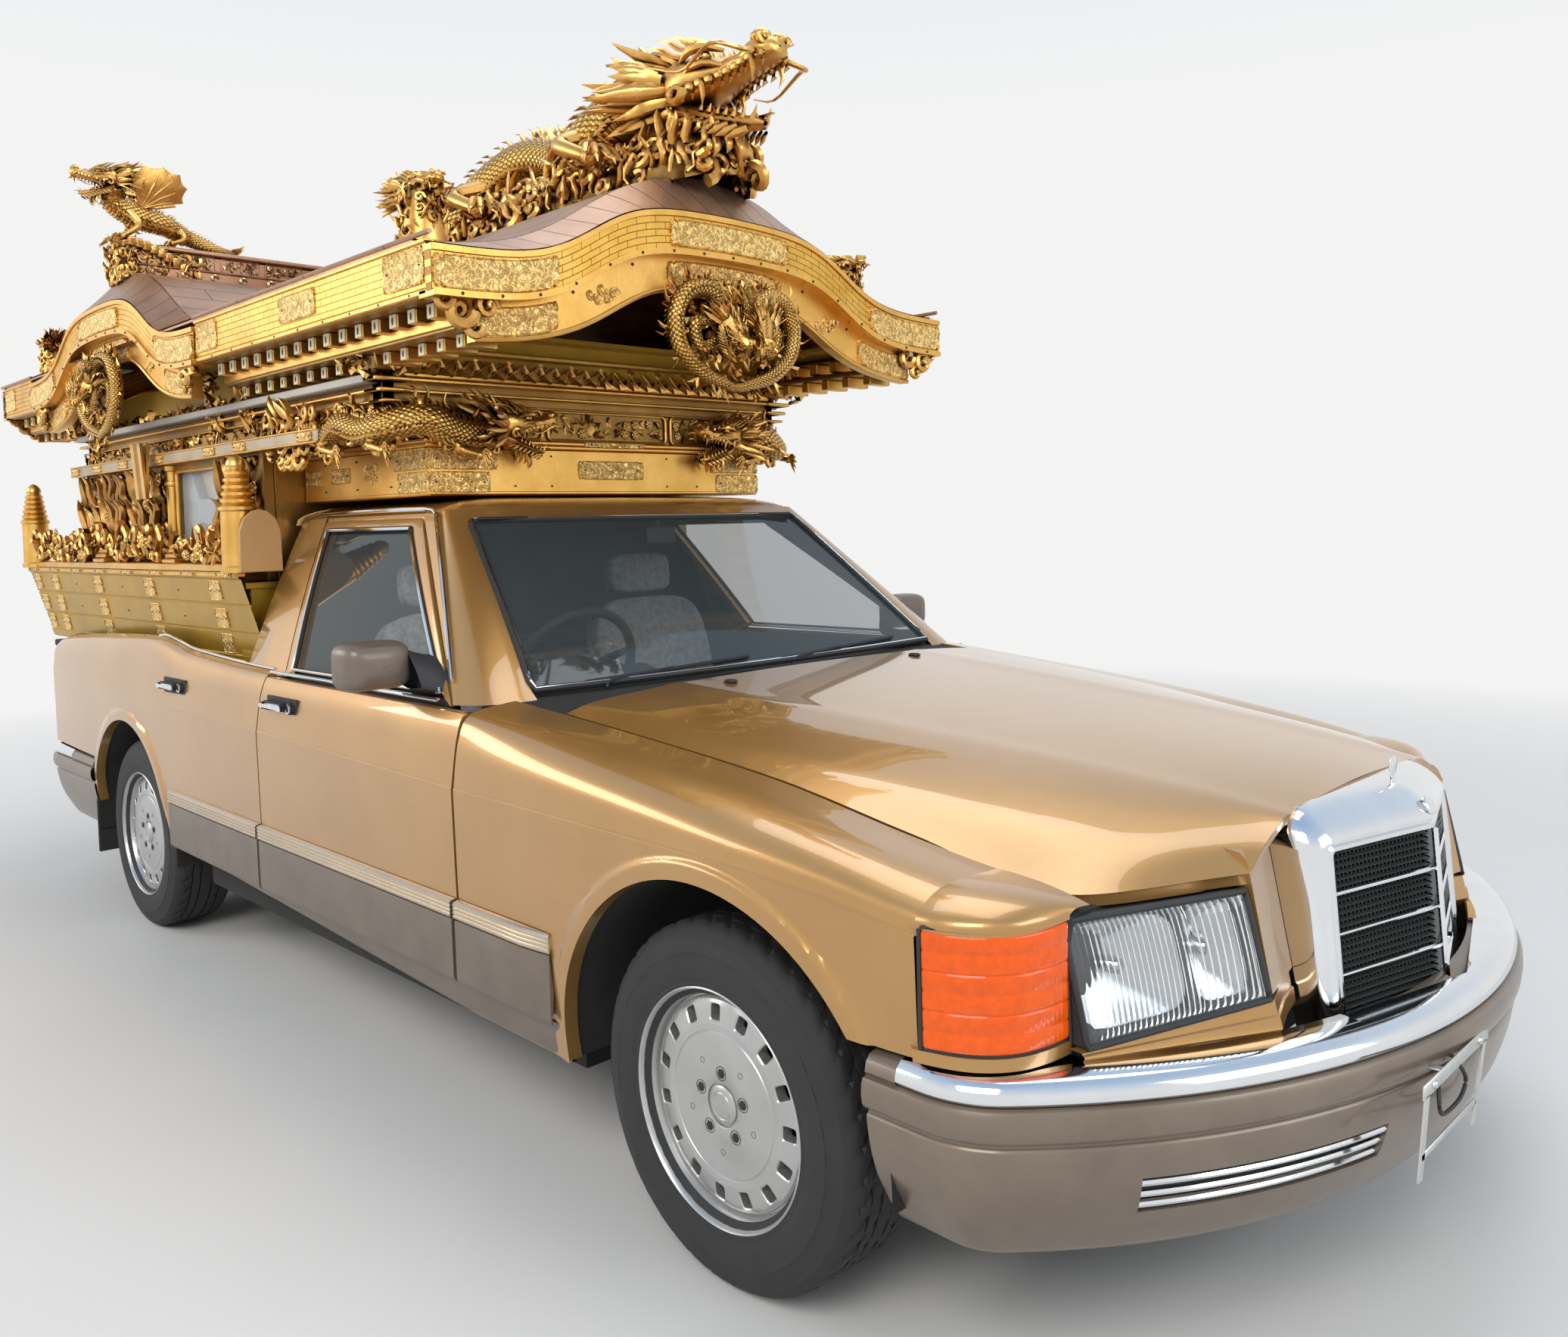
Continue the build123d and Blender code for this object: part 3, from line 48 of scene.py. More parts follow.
def metres(points):
    """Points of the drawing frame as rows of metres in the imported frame."""
    out = np.array(points, float).reshape(-1, 3)
    out[:, 0] += AXLE_X
    return out / 1000


# Camera solved from the photograph
PHOTO_W, PHOTO_H = 2072, 1767
FOCAL_PX = 1641.4
CAMERA_AT = (1575.4, -2228.4, 1313.6)
AZIMUTH, ELEVATION, ROLL = 45.32, 2.72, -1.43
CENTRE_X, CENTRE_Y = 1036.0, 770.0


def set_camera():
    """The photograph's viewpoint, with its lens and a small shift."""
    a, e, r = (math.radians(v) for v in (AZIMUTH, ELEVATION, ROLL))
    back = Vector((math.sin(a) * math.cos(e), -math.cos(a) * math.cos(e), math.sin(e)))
    x = Vector((0, 0, 1)).cross(back).normalized()
    y = back.cross(x)
    c, s = math.cos(r), math.sin(r)
    right, up = x * c + y * s, y * c - x * s
    data = bpy.data.cameras.new("camera")
    data.sensor_width = 36
    data.lens = FOCAL_PX / PHOTO_W * 36
    data.shift_x = (PHOTO_W / 2 - CENTRE_X) / PHOTO_W
    data.shift_y = (CENTRE_Y - PHOTO_H / 2) / PHOTO_W
    data.clip_start = 0.05
    data.clip_end = 100
    cam = bpy.data.objects.new("camera", data)
    bpy.context.scene.collection.objects.link(cam)
    place = metres([CAMERA_AT])[0]
    cam.matrix_world = Matrix((
        (right.x, up.x, back.x, place[0]),
        (right.y, up.y, back.y, place[1]),
        (right.z, up.z, back.z, place[2]),
        (0, 0, 0, 1),
    ))
    bpy.context.scene.camera = cam


set_camera()
bpy.context.scene.view_settings.view_transform = "Standard"


# Materials
class Nodes:
    """Short names for the nodes that every material here is made of."""

    def __init__(self, name):
        self.material = bpy.data.materials.new(name)
        self.material.use_nodes = True
        self.tree = self.material.node_tree
        self.shader = next(n for n in self.tree.nodes if n.type == "BSDF_PRINCIPLED")
        self.place = self.add("ShaderNodeTexCoord").outputs["Object"]

    def add(self, kind, **values):
        node = self.tree.nodes.new(kind)
        for key, value in values.items():
            setattr(node, key, value)
        return node

    def link(self, source, target):
        self.tree.links.new(source, target)

    def put(self, target, value):
        if hasattr(value, "is_linked"):
            self.link(value, target)
        else:
            target.default_value = value

    def noise(self, scale, detail=3.0, rough=0.55, place=None, stretch=None):
        node = self.add("ShaderNodeTexNoise")
        node.inputs["Scale"].default_value = scale
        node.inputs["Detail"].default_value = detail
        node.inputs["Roughness"].default_value = rough
        source = place or self.place
        if stretch:
            mapping = self.add("ShaderNodeMapping")
            mapping.inputs["Scale"].default_value = stretch
            self.link(source, mapping.inputs["Vector"])
            source = mapping.outputs["Vector"]
        self.link(source, node.inputs["Vector"])
        return node.outputs["Fac"]

    def cells(self, scale, feature="F1", stretch=None):
        node = self.add("ShaderNodeTexVoronoi", feature=feature)
        node.inputs["Scale"].default_value = scale
        source = self.place
        if stretch:
            mapping = self.add("ShaderNodeMapping")
            mapping.inputs["Scale"].default_value = stretch
            self.link(source, mapping.inputs["Vector"])
            source = mapping.outputs["Vector"]
        self.link(source, node.inputs["Vector"])
        return node.outputs["Distance"]

    def ramp(self, value, *stops):
        node = self.add("ShaderNodeValToRGB")
        ramp = node.color_ramp
        while len(ramp.elements) < len(stops):
            ramp.elements.new(0.5)
        for element, (position, colour) in zip(ramp.elements, stops):
            element.position = position
            element.color = (tuple(colour) + (1,) if hasattr(colour, "__len__")
                             else (colour, colour, colour, 1))
        self.link(value, node.inputs["Fac"])
        return node.outputs["Color"]

    def sum(self, a, b, operation="ADD", clamp=False):
        node = self.add("ShaderNodeMath", operation=operation, use_clamp=clamp)
        self.put(node.inputs[0], a)
        self.put(node.inputs[1], b)
        return node.outputs[0]

    def mix(self, factor, a, b, mode="MIX"):
        node = self.add("ShaderNodeMix", data_type="RGBA", blend_type=mode)
        self.put(node.inputs["Factor"], factor)
        self.put(node.inputs[6], a if hasattr(a, "is_linked") else tuple(a) + (1,))
        self.put(node.inputs[7], b if hasattr(b, "is_linked") else tuple(b) + (1,))
        return node.outputs[2]

    def bump(self, height, strength, distance):
        node = self.add("ShaderNodeBump")
        node.inputs["Strength"].default_value = strength
        node.inputs["Distance"].default_value = distance
        self.link(height, node.inputs["Height"])
        return node.outputs["Normal"]

    def axis(self, name):
        split = self.add("ShaderNodeSeparateXYZ")
        self.link(self.place, split.inputs[0])
        return split.outputs[name]

    def attribute(self, name):
        return self.add("ShaderNodeAttribute", attribute_name=name).outputs["Fac"]

    def set(self, **values):
        names = {"base": "Base Color", "metal": "Metallic", "rough": "Roughness", "normal": "Normal",
                 "coat": "Coat Weight", "coat_rough": "Coat Roughness", "ior": "IOR",
                 "transmission": "Transmission Weight", "alpha": "Alpha", "sheen": "Sheen Weight",
                 "emit": "Emission Color", "emit_strength": "Emission Strength"}
        for key, value in values.items():
            socket = self.shader.inputs[names[key]]
            if key in ("base", "emit") and not hasattr(value, "is_linked"):
                value = tuple(value) + (1,)
            self.put(socket, value)
        return self.material


def plain(name, colour, rough, metal=0.0, spread=0.12, grain=60.0, bump=0.15, depth=0.0006, coat=0.0,
          stretch=None):
    """Colour and roughness that vary softly, with a fine surface grain."""
    n = Nodes(name)
    broad = n.noise(grain * 0.12, 4, 0.6)
    fine = n.noise(grain * 6, 3, 0.6, stretch=stretch)
    dark = tuple(c * (1 - spread) for c in colour)
    light = tuple(min(1, c * (1 + spread)) for c in colour)
    n.set(base=n.ramp(broad, (0.3, dark), (0.7, light)), metal=metal, coat=coat, coat_rough=0.06,
          rough=n.sum(n.sum(fine, 0.14, "MULTIPLY"), rough - 0.07),
          normal=n.bump(fine, bump, depth))
    return n.material


def paint():
    """Bronze metallic body paint with a fine flake under a clear coat."""
    n = Nodes("bronze_paint")
    flake = n.noise(2600, 1, 0.5)
    haze = n.noise(2.2, 3, 0.6)
    base = n.mix(n.ramp(haze, (0.35, 0.0), (0.7, 1.0)), (0.43, 0.225, 0.062), (0.50, 0.27, 0.082))
    base = n.mix(n.ramp(flake, (0.56, 0.0), (0.68, 0.35)), base, (0.90, 0.60, 0.24))
    return n.set(base=base, metal=0.62, rough=n.sum(n.sum(n.noise(30, 3), 0.06, "MULTIPLY"), 0.30),
                 coat=1.0, coat_rough=0.03, normal=n.bump(flake, 0.06, 0.0002))


def painted_crevice_shade(n, reach):
    """Painted shade from ambient occlusion: 1 in the open, falling to 0 in narrow hollows."""
    shade = n.add("ShaderNodeAmbientOcclusion", samples=6)
    shade.inputs["Distance"].default_value = reach
    return n.ramp(shade.outputs["AO"], (0.25, 0.0), (0.85, 1.0))


def gilt(name, colour, dark, rough, bump=0.35, scale=90.0, painted_recess_shade=0.0):
    """Gold leaf or brass: soft dents, worn tone, and painted shade that darkens the hollows of carvings."""
    n = Nodes(name)
    tone = n.noise(9, 5, 0.62)
    dents = n.noise(scale, 4, 0.6)
    base = n.mix(n.ramp(tone, (0.3, 0.0), (0.72, 1.0)), dark, colour)
    if painted_recess_shade:
        # Painted shade: the per-point shade value and ambient occlusion darken recesses towards dark brown.
        hollow = n.ramp(n.attribute("hollow"), (0.12, 1.0), (0.62, 0.0))
        base = n.mix(n.sum(hollow, painted_recess_shade, "MULTIPLY"), base, (0.085, 0.045, 0.012))
        base = n.mix(painted_crevice_shade(n, 0.03), (0.10, 0.048, 0.012), base)
    return n.set(base=base, metal=0.93, rough=n.sum(n.sum(dents, 0.16, "MULTIPLY"), rough - 0.08),
                 normal=n.bump(dents, bump, 0.0012))


def glass(name, colour, rough=0.02, alpha=0.28):
    """Tinted pane, a little smeared."""
    n = Nodes(name)
    smear = n.noise(7, 4, 0.6)
    return n.set(base=colour, rough=n.sum(n.sum(smear, 0.05, "MULTIPLY"), rough), ior=1.45, alpha=alpha,
                 metal=0.0, coat=1.0, coat_rough=0.02)


def fluted_glass():
    """Clear lamp glass; its flutes are in the mesh."""
    n = Nodes("lamp_glass")
    n.set(base=n.ramp(n.noise(20, 3), (0.3, (0.80, 0.84, 0.86)), (0.7, (0.92, 0.94, 0.95))),
          rough=n.sum(n.sum(n.noise(9, 3), 0.05, "MULTIPLY"), 0.03))
    n.shader.inputs["Transmission Weight"].default_value = 0.93
    n.shader.inputs["IOR"].default_value = 1.36
    return n.material


def lens(name, colour, glow):
    """Coloured lamp cover that seems lit from within."""
    n = Nodes(name)
    cells = n.noise(70, 3, 0.6)
    n.set(base=n.ramp(cells, (0.3, tuple(c * 0.8 for c in colour)), (0.7, colour)),
          rough=n.sum(n.sum(cells, 0.1, "MULTIPLY"), 0.2), coat=0.35, coat_rough=0.04)
    n.shader.inputs["Specular IOR Level"].default_value = 0.25
    n.shader.inputs["Emission Color"].default_value = colour + (1,)
    n.shader.inputs["Emission Strength"].default_value = glow
    return n.material


MATERIALS = {"body_paint": paint(),
             "cladding": plain("cladding", (0.17, 0.135, 0.105), 0.42, metal=0.25, grain=80, coat=0.25),
             "bumper_paint": plain("bumper_paint", (0.20, 0.155, 0.115), 0.36, metal=0.35, grain=70,
                                   coat=0.35), "glass": glass("cab_glass", (0.10, 0.13, 0.14), 0.01, 0.42),
             "shrine_glass": glass("shrine_glass", (0.70, 0.76, 0.80), 0.03, 0.45),
             "lamp_glass": fluted_glass(), "amber_lens": lens("amber_lens", (0.80, 0.10, 0.002), 0.16),
             "red_lens": lens("red_lens", (0.45, 0.008, 0.006), 0.10),
             "chrome_trim": plain("chrome_trim", (0.78, 0.80, 0.82), 0.10, metal=1.0, spread=0.04,
                                  bump=0.03),
             "strip_trim": plain("strip_trim", (0.62, 0.52, 0.40), 0.22, metal=0.85, spread=0.06,
                                 bump=0.05),
             "lamp_bowl": plain("lamp_bowl", (0.50, 0.51, 0.52), 0.16, metal=1.0, spread=0.08, bump=0.05),
             "grille_dark": plain("grille_dark", (0.035, 0.042, 0.040), 0.38, grain=90),
             "tyre_rubber": plain("tyre_rubber", (0.022, 0.022, 0.023), 0.72, grain=90, bump=0.5,
                                  depth=0.001),
             "alloy": plain("alloy", (0.50, 0.50, 0.49), 0.34, metal=0.75, grain=60, bump=0.08, coat=0.3),
             "steel_dark": plain("steel_dark", (0.035, 0.033, 0.031), 0.68, metal=0.3, spread=0.3),
             "underseal": plain("underseal", (0.022, 0.021, 0.020), 0.85, spread=0.25, bump=0.6,
                                depth=0.002),
             "bare_bracket": plain("bare_bracket", (0.58, 0.58, 0.56), 0.40, metal=0.9, grain=120),
             "interior_trim": plain("interior_trim", (0.022, 0.022, 0.024), 0.62, grain=120, bump=0.4),
             "seat_cloth": plain("seat_cloth", (0.46, 0.47, 0.47), 0.9, spread=0.35, grain=420, bump=0.7,
                                 depth=0.001),
             "ochre_lacquer": plain("ochre_lacquer", (0.46, 0.27, 0.025), 0.42, metal=0.55, spread=0.18,
                                    grain=30, coat=0.12),
             "gilt": gilt("gilt", (0.86, 0.52, 0.15), (0.66, 0.36, 0.075), 0.33),
             # carved_gilt, wall_carving and copper_gold darken their recesses with painted shade.
             "carved_gilt": gilt("carved_gilt", (0.84, 0.50, 0.16), (0.58, 0.30, 0.07), 0.30, bump=0.5,
                                 scale=160, painted_recess_shade=0.9),
             "wall_carving": gilt("wall_carving", (0.66, 0.38, 0.12), (0.34, 0.17, 0.045), 0.34, bump=0.5,
                                  scale=160, painted_recess_shade=1.0),
             "dark_gilt": gilt("dark_gilt", (0.42, 0.25, 0.075), (0.26, 0.145, 0.04), 0.40),
             "grey_gold": gilt("grey_gold", (0.50, 0.42, 0.30), (0.36, 0.29, 0.20), 0.40),
             "copper_gold": gilt("copper_gold", (0.62, 0.37, 0.20), (0.42, 0.24, 0.13), 0.34, painted_recess_shade=0.8),
             "dark_nails": plain("dark_nails", (0.05, 0.035, 0.02), 0.45, metal=0.6),
             "cream_tips": plain("cream_tips", (0.80, 0.70, 0.45), 0.45, grain=60),
             "grey_board": plain("grey_board", (0.40, 0.38, 0.34), 0.5, metal=0.4, grain=40),
             "red_wood": plain("red_wood", (0.24, 0.085, 0.04), 0.4, grain=30, coat=0.3),
             "tan_board": plain("tan_board", (0.50, 0.29, 0.12), 0.5, grain=30, stretch=(1, 1, 0.1)),
             "drape": plain("drape", (0.045, 0.04, 0.045), 0.9, grain=90, bump=0.6),
             "copper": gilt("copper", (0.50, 0.29, 0.18), (0.34, 0.185, 0.115), 0.36, bump=0.15, scale=25),}


def dress_nodes():
    """Each CAD node gets its slot's material."""
    for part in frame["record"]["subparts"]:
        mesh = nodes[part["node"]].data
        mesh.materials.clear()
        mesh.materials.append(MATERIALS[part["material_slot"]])


dress_nodes()


# Shapes
def thinned(mesh, ratio):
    """Copy with fewer triangles, taken where the surface is flattest."""
    holder = bpy.data.objects.new("thinning", mesh)
    bpy.context.scene.collection.objects.link(holder)
    holder.modifiers.new("thin", "DECIMATE").ratio = ratio
    result = bpy.data.meshes.new_from_object(holder.evaluated_get(bpy.context.evaluated_depsgraph_get()))
    bpy.data.objects.remove(holder)
    bpy.data.meshes.remove(mesh)
    return result


class Heap:
    """Shapes of one material, gathered into one mesh."""

    def __init__(self):
        self.points, self.quads, self.tris, self.hollow, self.uv, self.count = [], [], [], [], [], 0

    def add(self, points, quads=(), tris=(), hollow=None, uv=None):
        points = np.asarray(points, float).reshape(-1, 3)
        n = len(points)
        self.points.append(points)
        if len(quads):
            self.quads.append(np.asarray(quads, int).reshape(-1, 4) + self.count)
        if len(tris):
            self.tris.append(np.asarray(tris, int).reshape(-1, 3) + self.count)
        # Per-point painted shade value: 1 leaves the colour as it is, lower values darken it in carved
        # gilt.
        self.hollow.append(np.ones(n) if hollow is None else np.asarray(hollow, float).ravel())
        self.uv.append(points[:, :2] if uv is None else np.asarray(uv, float).reshape(-1, 2))
        self.count += n

    def grid(self, array, around=False, hollow=None, uv=None):
        """Surface through rows of points; around closes each row on itself."""
        array = np.asarray(array, float)
        rows, cols = array.shape[:2]
        index = np.arange(rows * cols).reshape(rows, cols)
        right = np.roll(index, -1, 1) if around else index
        last = cols if around else cols - 1
        a, b = index[:-1, :last], (right[:-1, :last] if around else index[:-1, 1:])
        c, d = (right[1:, :last] if around else index[1:, 1:]), index[1:, :last]
        self.add(array, np.stack([a, b, c, d], -1).reshape(-1, 4), (), hollow, uv)

    def tube(self, path, radii, sides=10, closed=False, flat=1.0, up=(0, 0, 1), caps=True, uv=None):
        """Round bar along a path; flat squashes it along up, uv is (length of a scale, scales around)."""
        path = np.asarray(path, float)
        n = len(path)
        radii = np.broadcast_to(np.asarray(radii, float), (n,))
        ahead = np.roll(path, -1, 0) - np.roll(path, 1, 0) if closed else np.gradient(path, axis=0)
        ahead /= np.linalg.norm(ahead, axis=1)[:, None] + 1e-12
        up = np.asarray(up, float)
        side = np.cross(ahead, up)
        weak = np.linalg.norm(side, axis=1) < 0.15
        side[weak] = np.cross(ahead[weak], (0.3, 1, 0.2))
        side /= np.linalg.norm(side, axis=1)[:, None]
        top = np.cross(side, ahead)
        angle = np.linspace(0, 2 * math.pi, sides + 1 if uv else sides, endpoint=bool(uv)) - math.pi / 2
        ring = (side[:, None] * np.cos(angle)[None, :, None] + top[:, None]
                * (np.sin(angle) * flat)[None, :, None])
        rows = path[:, None] + ring * radii[:, None, None]
        if closed:
            rows = np.concatenate([rows, rows[:1]])
        uvs = None
        if uv:
            length = np.concatenate([[0], np.cumsum(np.linalg.norm(np.diff(path, axis=0), axis=1))])
            share = np.linspace(0, 1, sides + 1)
            uvs = np.stack(np.broadcast_arrays(length[:, None] / uv[0], share[None, :] * uv[1]), -1)
        self.grid(rows, around=not uv, uv=uvs)
        if caps and not closed:
            for row, centre in ((rows[0], path[0]), (rows[-1], path[-1])):
                k = len(row)
                self.add(np.vstack([row, centre]), (), [(i, (i + 1) % k, k) for i in range(k)])

    def ball(self, centre, radii, rings=7, sides=12, turn=None):
        """Ellipsoid."""
        lat = np.linspace(-math.pi / 2, math.pi / 2, rings)
        lon = np.linspace(0, 2 * math.pi, sides, endpoint=False)
        unit = np.stack(np.broadcast_arrays(np.cos(lat)[:, None] * np.cos(lon),
                                            np.cos(lat)[:, None] * np.sin(lon),
                                            np.sin(lat)[:, None] + 0 * lon), -1)
        points = unit * np.broadcast_to(np.asarray(radii, float), (3,))
        if turn is not None:
            points = points @ np.asarray(turn).T
        self.grid(points + np.asarray(centre, float), around=True)

    def box(self, x, y, z, chamfer=2.0, move=None):
        """Block with chamfered edges between three pairs of limits."""
        (x0, x1), (y0, y1), (z0, z1) = sorted(x), sorted(y), sorted(z)
        c = min(chamfer, (x1 - x0) * 0.45, (y1 - y0) * 0.45, (z1 - z0) * 0.45)
        rows = []
        for zz, inset in ((z0, c), (z0 + c, 0), (z1 - c, 0), (z1, c)):
            a0, a1, b0, b1 = x0 + inset, x1 - inset, y0 + inset, y1 - inset
            cut = c * 0.9
            rows.append([(a0 + cut, b0, zz), (a1 - cut, b0, zz), (a1, b0 + cut, zz), (a1, b1 - cut, zz),
                         (a1 - cut, b1, zz), (a0 + cut, b1, zz), (a0, b1 - cut, zz), (a0, b0 + cut, zz)])
        points = np.array(rows)
        if move:
            points = move(points.reshape(-1, 3)).reshape(points.shape)
        self.grid(points, around=True)
        for k in (0, 3):
            p = points[k]
            self.add(p, [(0, 1, 2, 3), (4, 5, 6, 7), (0, 3, 4, 7)])

    def turned(self, profile, axis_point, axis=(0, 1, 0), sides=48):
        """Profile of (radius, along) points turned about an axis."""
        axis = np.asarray(axis, float)
        first = np.cross(axis, (0, 0, 1) if abs(axis[2]) < 0.9 else (1, 0, 0))
        first /= np.linalg.norm(first)
        second = np.cross(axis, first)
        angle = np.linspace(0, 2 * math.pi, sides, endpoint=False)
        ring = first[None] * np.cos(angle)[:, None] + second[None] * np.sin(angle)[:, None]
        rows = [np.asarray(axis_point) + axis * along + ring * radius for radius, along in profile]
        self.grid(rows, around=True)

    def merge(self, other, move=None):
        """Copies another heap's shapes in, moved by a function of its points."""
        points = np.concatenate(other.points)
        base = self.count
        self.points.append(move(points) if move else points)
        self.quads += [q + base for q in other.quads]
        self.tris += [t + base for t in other.tris]
        self.hollow += other.hollow
        self.uv += other.uv
        self.count += len(points)

    def build(self, name, material, body="body", sharp=38, replaces=(), slot=None, limit=None):
        """One Blender object, in metres, riding on its body; limit is the most triangles that it keeps."""
        points = metres(np.concatenate(self.points))
        quads = np.concatenate(self.quads) if self.quads else np.zeros((0, 4), int)
        tris = np.concatenate(self.tris) if self.tris else np.zeros((0, 3), int)
        mesh = bpy.data.meshes.new(name)
        mesh.vertices.add(len(points))
        mesh.vertices.foreach_set("co", points.astype(np.float32).ravel())
        corners = np.concatenate([quads.ravel(), tris.ravel()]).astype(np.int32)
        mesh.loops.add(len(corners))
        mesh.loops.foreach_set("vertex_index", corners)
        starts = np.concatenate([np.arange(len(quads)) * 4, len(quads) * 4 + np.arange(len(tris)) * 3])
        mesh.polygons.add(len(starts))
        mesh.polygons.foreach_set("loop_start", starts.astype(np.int32))
        mesh.polygons.foreach_set("use_smooth", np.ones(len(starts), bool))
        mesh.update(calc_edges=True)
        mesh.validate()
        # The per-point painted shade value goes onto the mesh for the carved gilt materials.
        hollow = mesh.attributes.new("hollow", "FLOAT", "POINT")
        hollow.data.foreach_set("value", np.concatenate(self.hollow).astype(np.float32))
        uv = np.concatenate(self.uv)
        layer = mesh.uv_layers.new(name="plan")
        index = np.zeros(len(mesh.loops), np.int32)
        mesh.loops.foreach_get("vertex_index", index)
        layer.data.foreach_set("uv", uv[index].astype(np.float32).ravel())
        if limit and len(quads) * 2 + len(tris) > limit:
            mesh = thinned(mesh, limit / (len(quads) * 2 + len(tris)))
            mesh.name = name
        mesh.set_sharp_from_angle(angle=math.radians(sharp))
        mesh.materials.append(material)
        piece = bpy.data.objects.new(name, mesh)
        bpy.context.scene.collection.objects.link(piece)
        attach(piece, body)
        if replaces:
            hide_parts(*replaces)
        return piece


def other_side(points):
    """The same shape on the right side."""
    return np.asarray(points) * (1, -1, 1)


def both(heap):
    """A heap together with its mirror image on the other side."""
    whole = Heap()
    whole.merge(heap)
    whole.merge(heap, other_side)
    return whole


def smooth_path(points, count, closed=False):
    """Catmull-Rom curve through points, with count samples."""
    p = np.asarray(points, float)
    if closed:
        p = np.vstack([p[-1], p, p[0], p[1]])
    else:
        p = np.vstack([2 * p[0] - p[1], p, 2 * p[-1] - p[-2]])
    spans = len(p) - 3
    t = np.linspace(0, spans, count, endpoint=not closed)
    k = np.minimum(t.astype(int), spans - 1)
    f = (t - k)[:, None]
    a, b, c, d = p[k], p[k + 1], p[k + 2], p[k + 3]
    return (0.5 * (2 * b + (c - a) * f + (2 * a - 5 * b + 4 * c - d) * f ** 2 + (3 * b - a - 3 * c + d)
                   * f ** 3))


def between(x, xs, values):
    """Smooth value at x from a table, without overshoot."""
    x = np.asarray(x, float)
    order = np.argsort(xs)
    xs, values = np.asarray(xs, float)[order], np.asarray(values, float)[order]
    slope = np.diff(values) / np.diff(xs)
    tangent = np.zeros(len(xs))
    tangent[1:-1] = np.where(slope[1:] * slope[:-1] > 0,
                             2 * slope[1:] * slope[:-1] / (slope[1:] + slope[:-1] + 1e-12), 0)
    tangent[0], tangent[-1] = slope[0], slope[-1]
    k = np.clip(np.searchsorted(xs, x) - 1, 0, len(xs) - 2)
    width = xs[k + 1] - xs[k]
    f = np.clip((x - xs[k]) / width, 0, 1)
    return (values[k] * (1 + 2 * f) * (1 - f) ** 2 + tangent[k] * width * f * (1 - f) ** 2
            + values[k + 1] * f * f * (3 - 2 * f) + tangent[k + 1] * width * f * f * (f - 1))


def volute(heap, centre, radius, right, up, turns=1.6, hand=1, fat=0.34, start=0.0, lift=0.5, steps=26,
           sides=8):
    """Curled cloud or wave: a tapering bar wound inwards, rising towards its eye."""
    right, up = np.asarray(right, float), np.asarray(up, float)
    out = np.cross(right, up) * hand
    t = np.linspace(0, 1, steps)
    angle = start + hand * t * turns * 2 * math.pi
    r = radius * (1 - t) ** 0.9 * (1 - fat * 0.5)
    path = (np.asarray(centre, float) + right * (r * np.cos(angle))[:, None] + up
            * (r * np.sin(angle))[:, None] + out * (lift * radius * t ** 1.5 * fat * 2)[:, None])
    heap.tube(path, radius * fat * (1 - 0.55 * t), sides, up=out)
    return heap


# Roof lines, the same as the frame's
EAVE_Y = 863
GABLE_X = -845
ROOF_REAR = -4406
CROSS_X = -3095


def bow(y, eave_z, rise, middle, width):
    """Height of a bow-shaped roof line at y."""
    return eave_z + rise / (1 + np.exp((np.abs(y) / EAVE_Y - middle) / width))


def skin_line(y):
    """Upper line of the copper roof at y."""
    return bow(y, 1948, 290, 0.463, 0.135)


def fascia_line(y):
    """Upper line of the gable board at y."""
    return bow(y, 1916, 182, 0.51, 0.09)


def ledge_line(y):
    """Foot of the gable board's brick face at y."""
    return fascia_line(y) - 84


def board_line(y):
    """Lowest line of the gable board at y."""
    u = np.abs(y) / EAVE_Y
    return ledge_line(y) - 92 - 30 * np.exp(-((u - 0.45) / 0.16) ** 2) - 10 * u


def front_gable(points):
    """From gable space (across, height, outward) to the front gable."""
    p = np.asarray(points, float)
    return np.stack([GABLE_X + p[..., 2], p[..., 0], p[..., 1]], -1)


def rear_gable(points):
    """As the front gable, with its layers kept inside the end of the roof."""
    p = np.asarray(points, float)
    return np.stack([ROOF_REAR + 13.5 - 0.6 * p[..., 2], -p[..., 0], p[..., 1]], -1)


def lowered(part, floor_z, share):
    """Presses a carving down above a height."""
    for block in part.points:
        block[:, 2] -= share * np.maximum(block[:, 2] - floor_z, 0)


SIDE_GABLE_Y = 868
GABLE_HALF = 868


def left_gable(points):
    """From gable axes to the left end of the crossing roof."""
    p = np.asarray(points, float)
    return np.stack([CROSS_X - p[..., 0], SIDE_GABLE_Y + p[..., 2], p[..., 1]], -1)


def right_gable(points):
    """From gable axes to the right end of the crossing roof."""
    p = np.asarray(points, float)
    return np.stack([CROSS_X + p[..., 0], -SIDE_GABLE_Y - p[..., 2], p[..., 1]], -1)


GABLES = (front_gable, rear_gable, left_gable, right_gable)


def arc_length(ys, zs):
    """Length along a line up to each of its points."""
    return np.concatenate([[0], np.cumsum(np.hypot(np.diff(ys), np.diff(zs)))])


def band(heap, top, bottom, y0, y1, out, depth, steps=70, bow_out=0.0):
    """Board between two lines of the gable, with its edges, in gable space."""
    ys = np.linspace(y0, y1, steps)
    t, b = top(ys), bottom(ys)
    u = arc_length(ys, t)
    rows, uvs = [], []
    for share, o in ((1.0, out - depth), (1.0, out - 2), (0.985, out), (0.5, out + bow_out), (0.015, out),
                     (0.0, out - 2), (0.0, out - depth)):
        z = b + (t - b) * share
        rows.append(np.stack([ys, z, np.full(steps, o)], -1))
        uvs.append(np.stack([u, (z - b)], -1))
    heap.grid(np.array(rows), uv=np.array(uvs))
    for k in (0, -1):
        heap.add([rows[0][k], rows[-1][k], rows[-2][k], rows[1][k]], [(0, 1, 2, 3)])


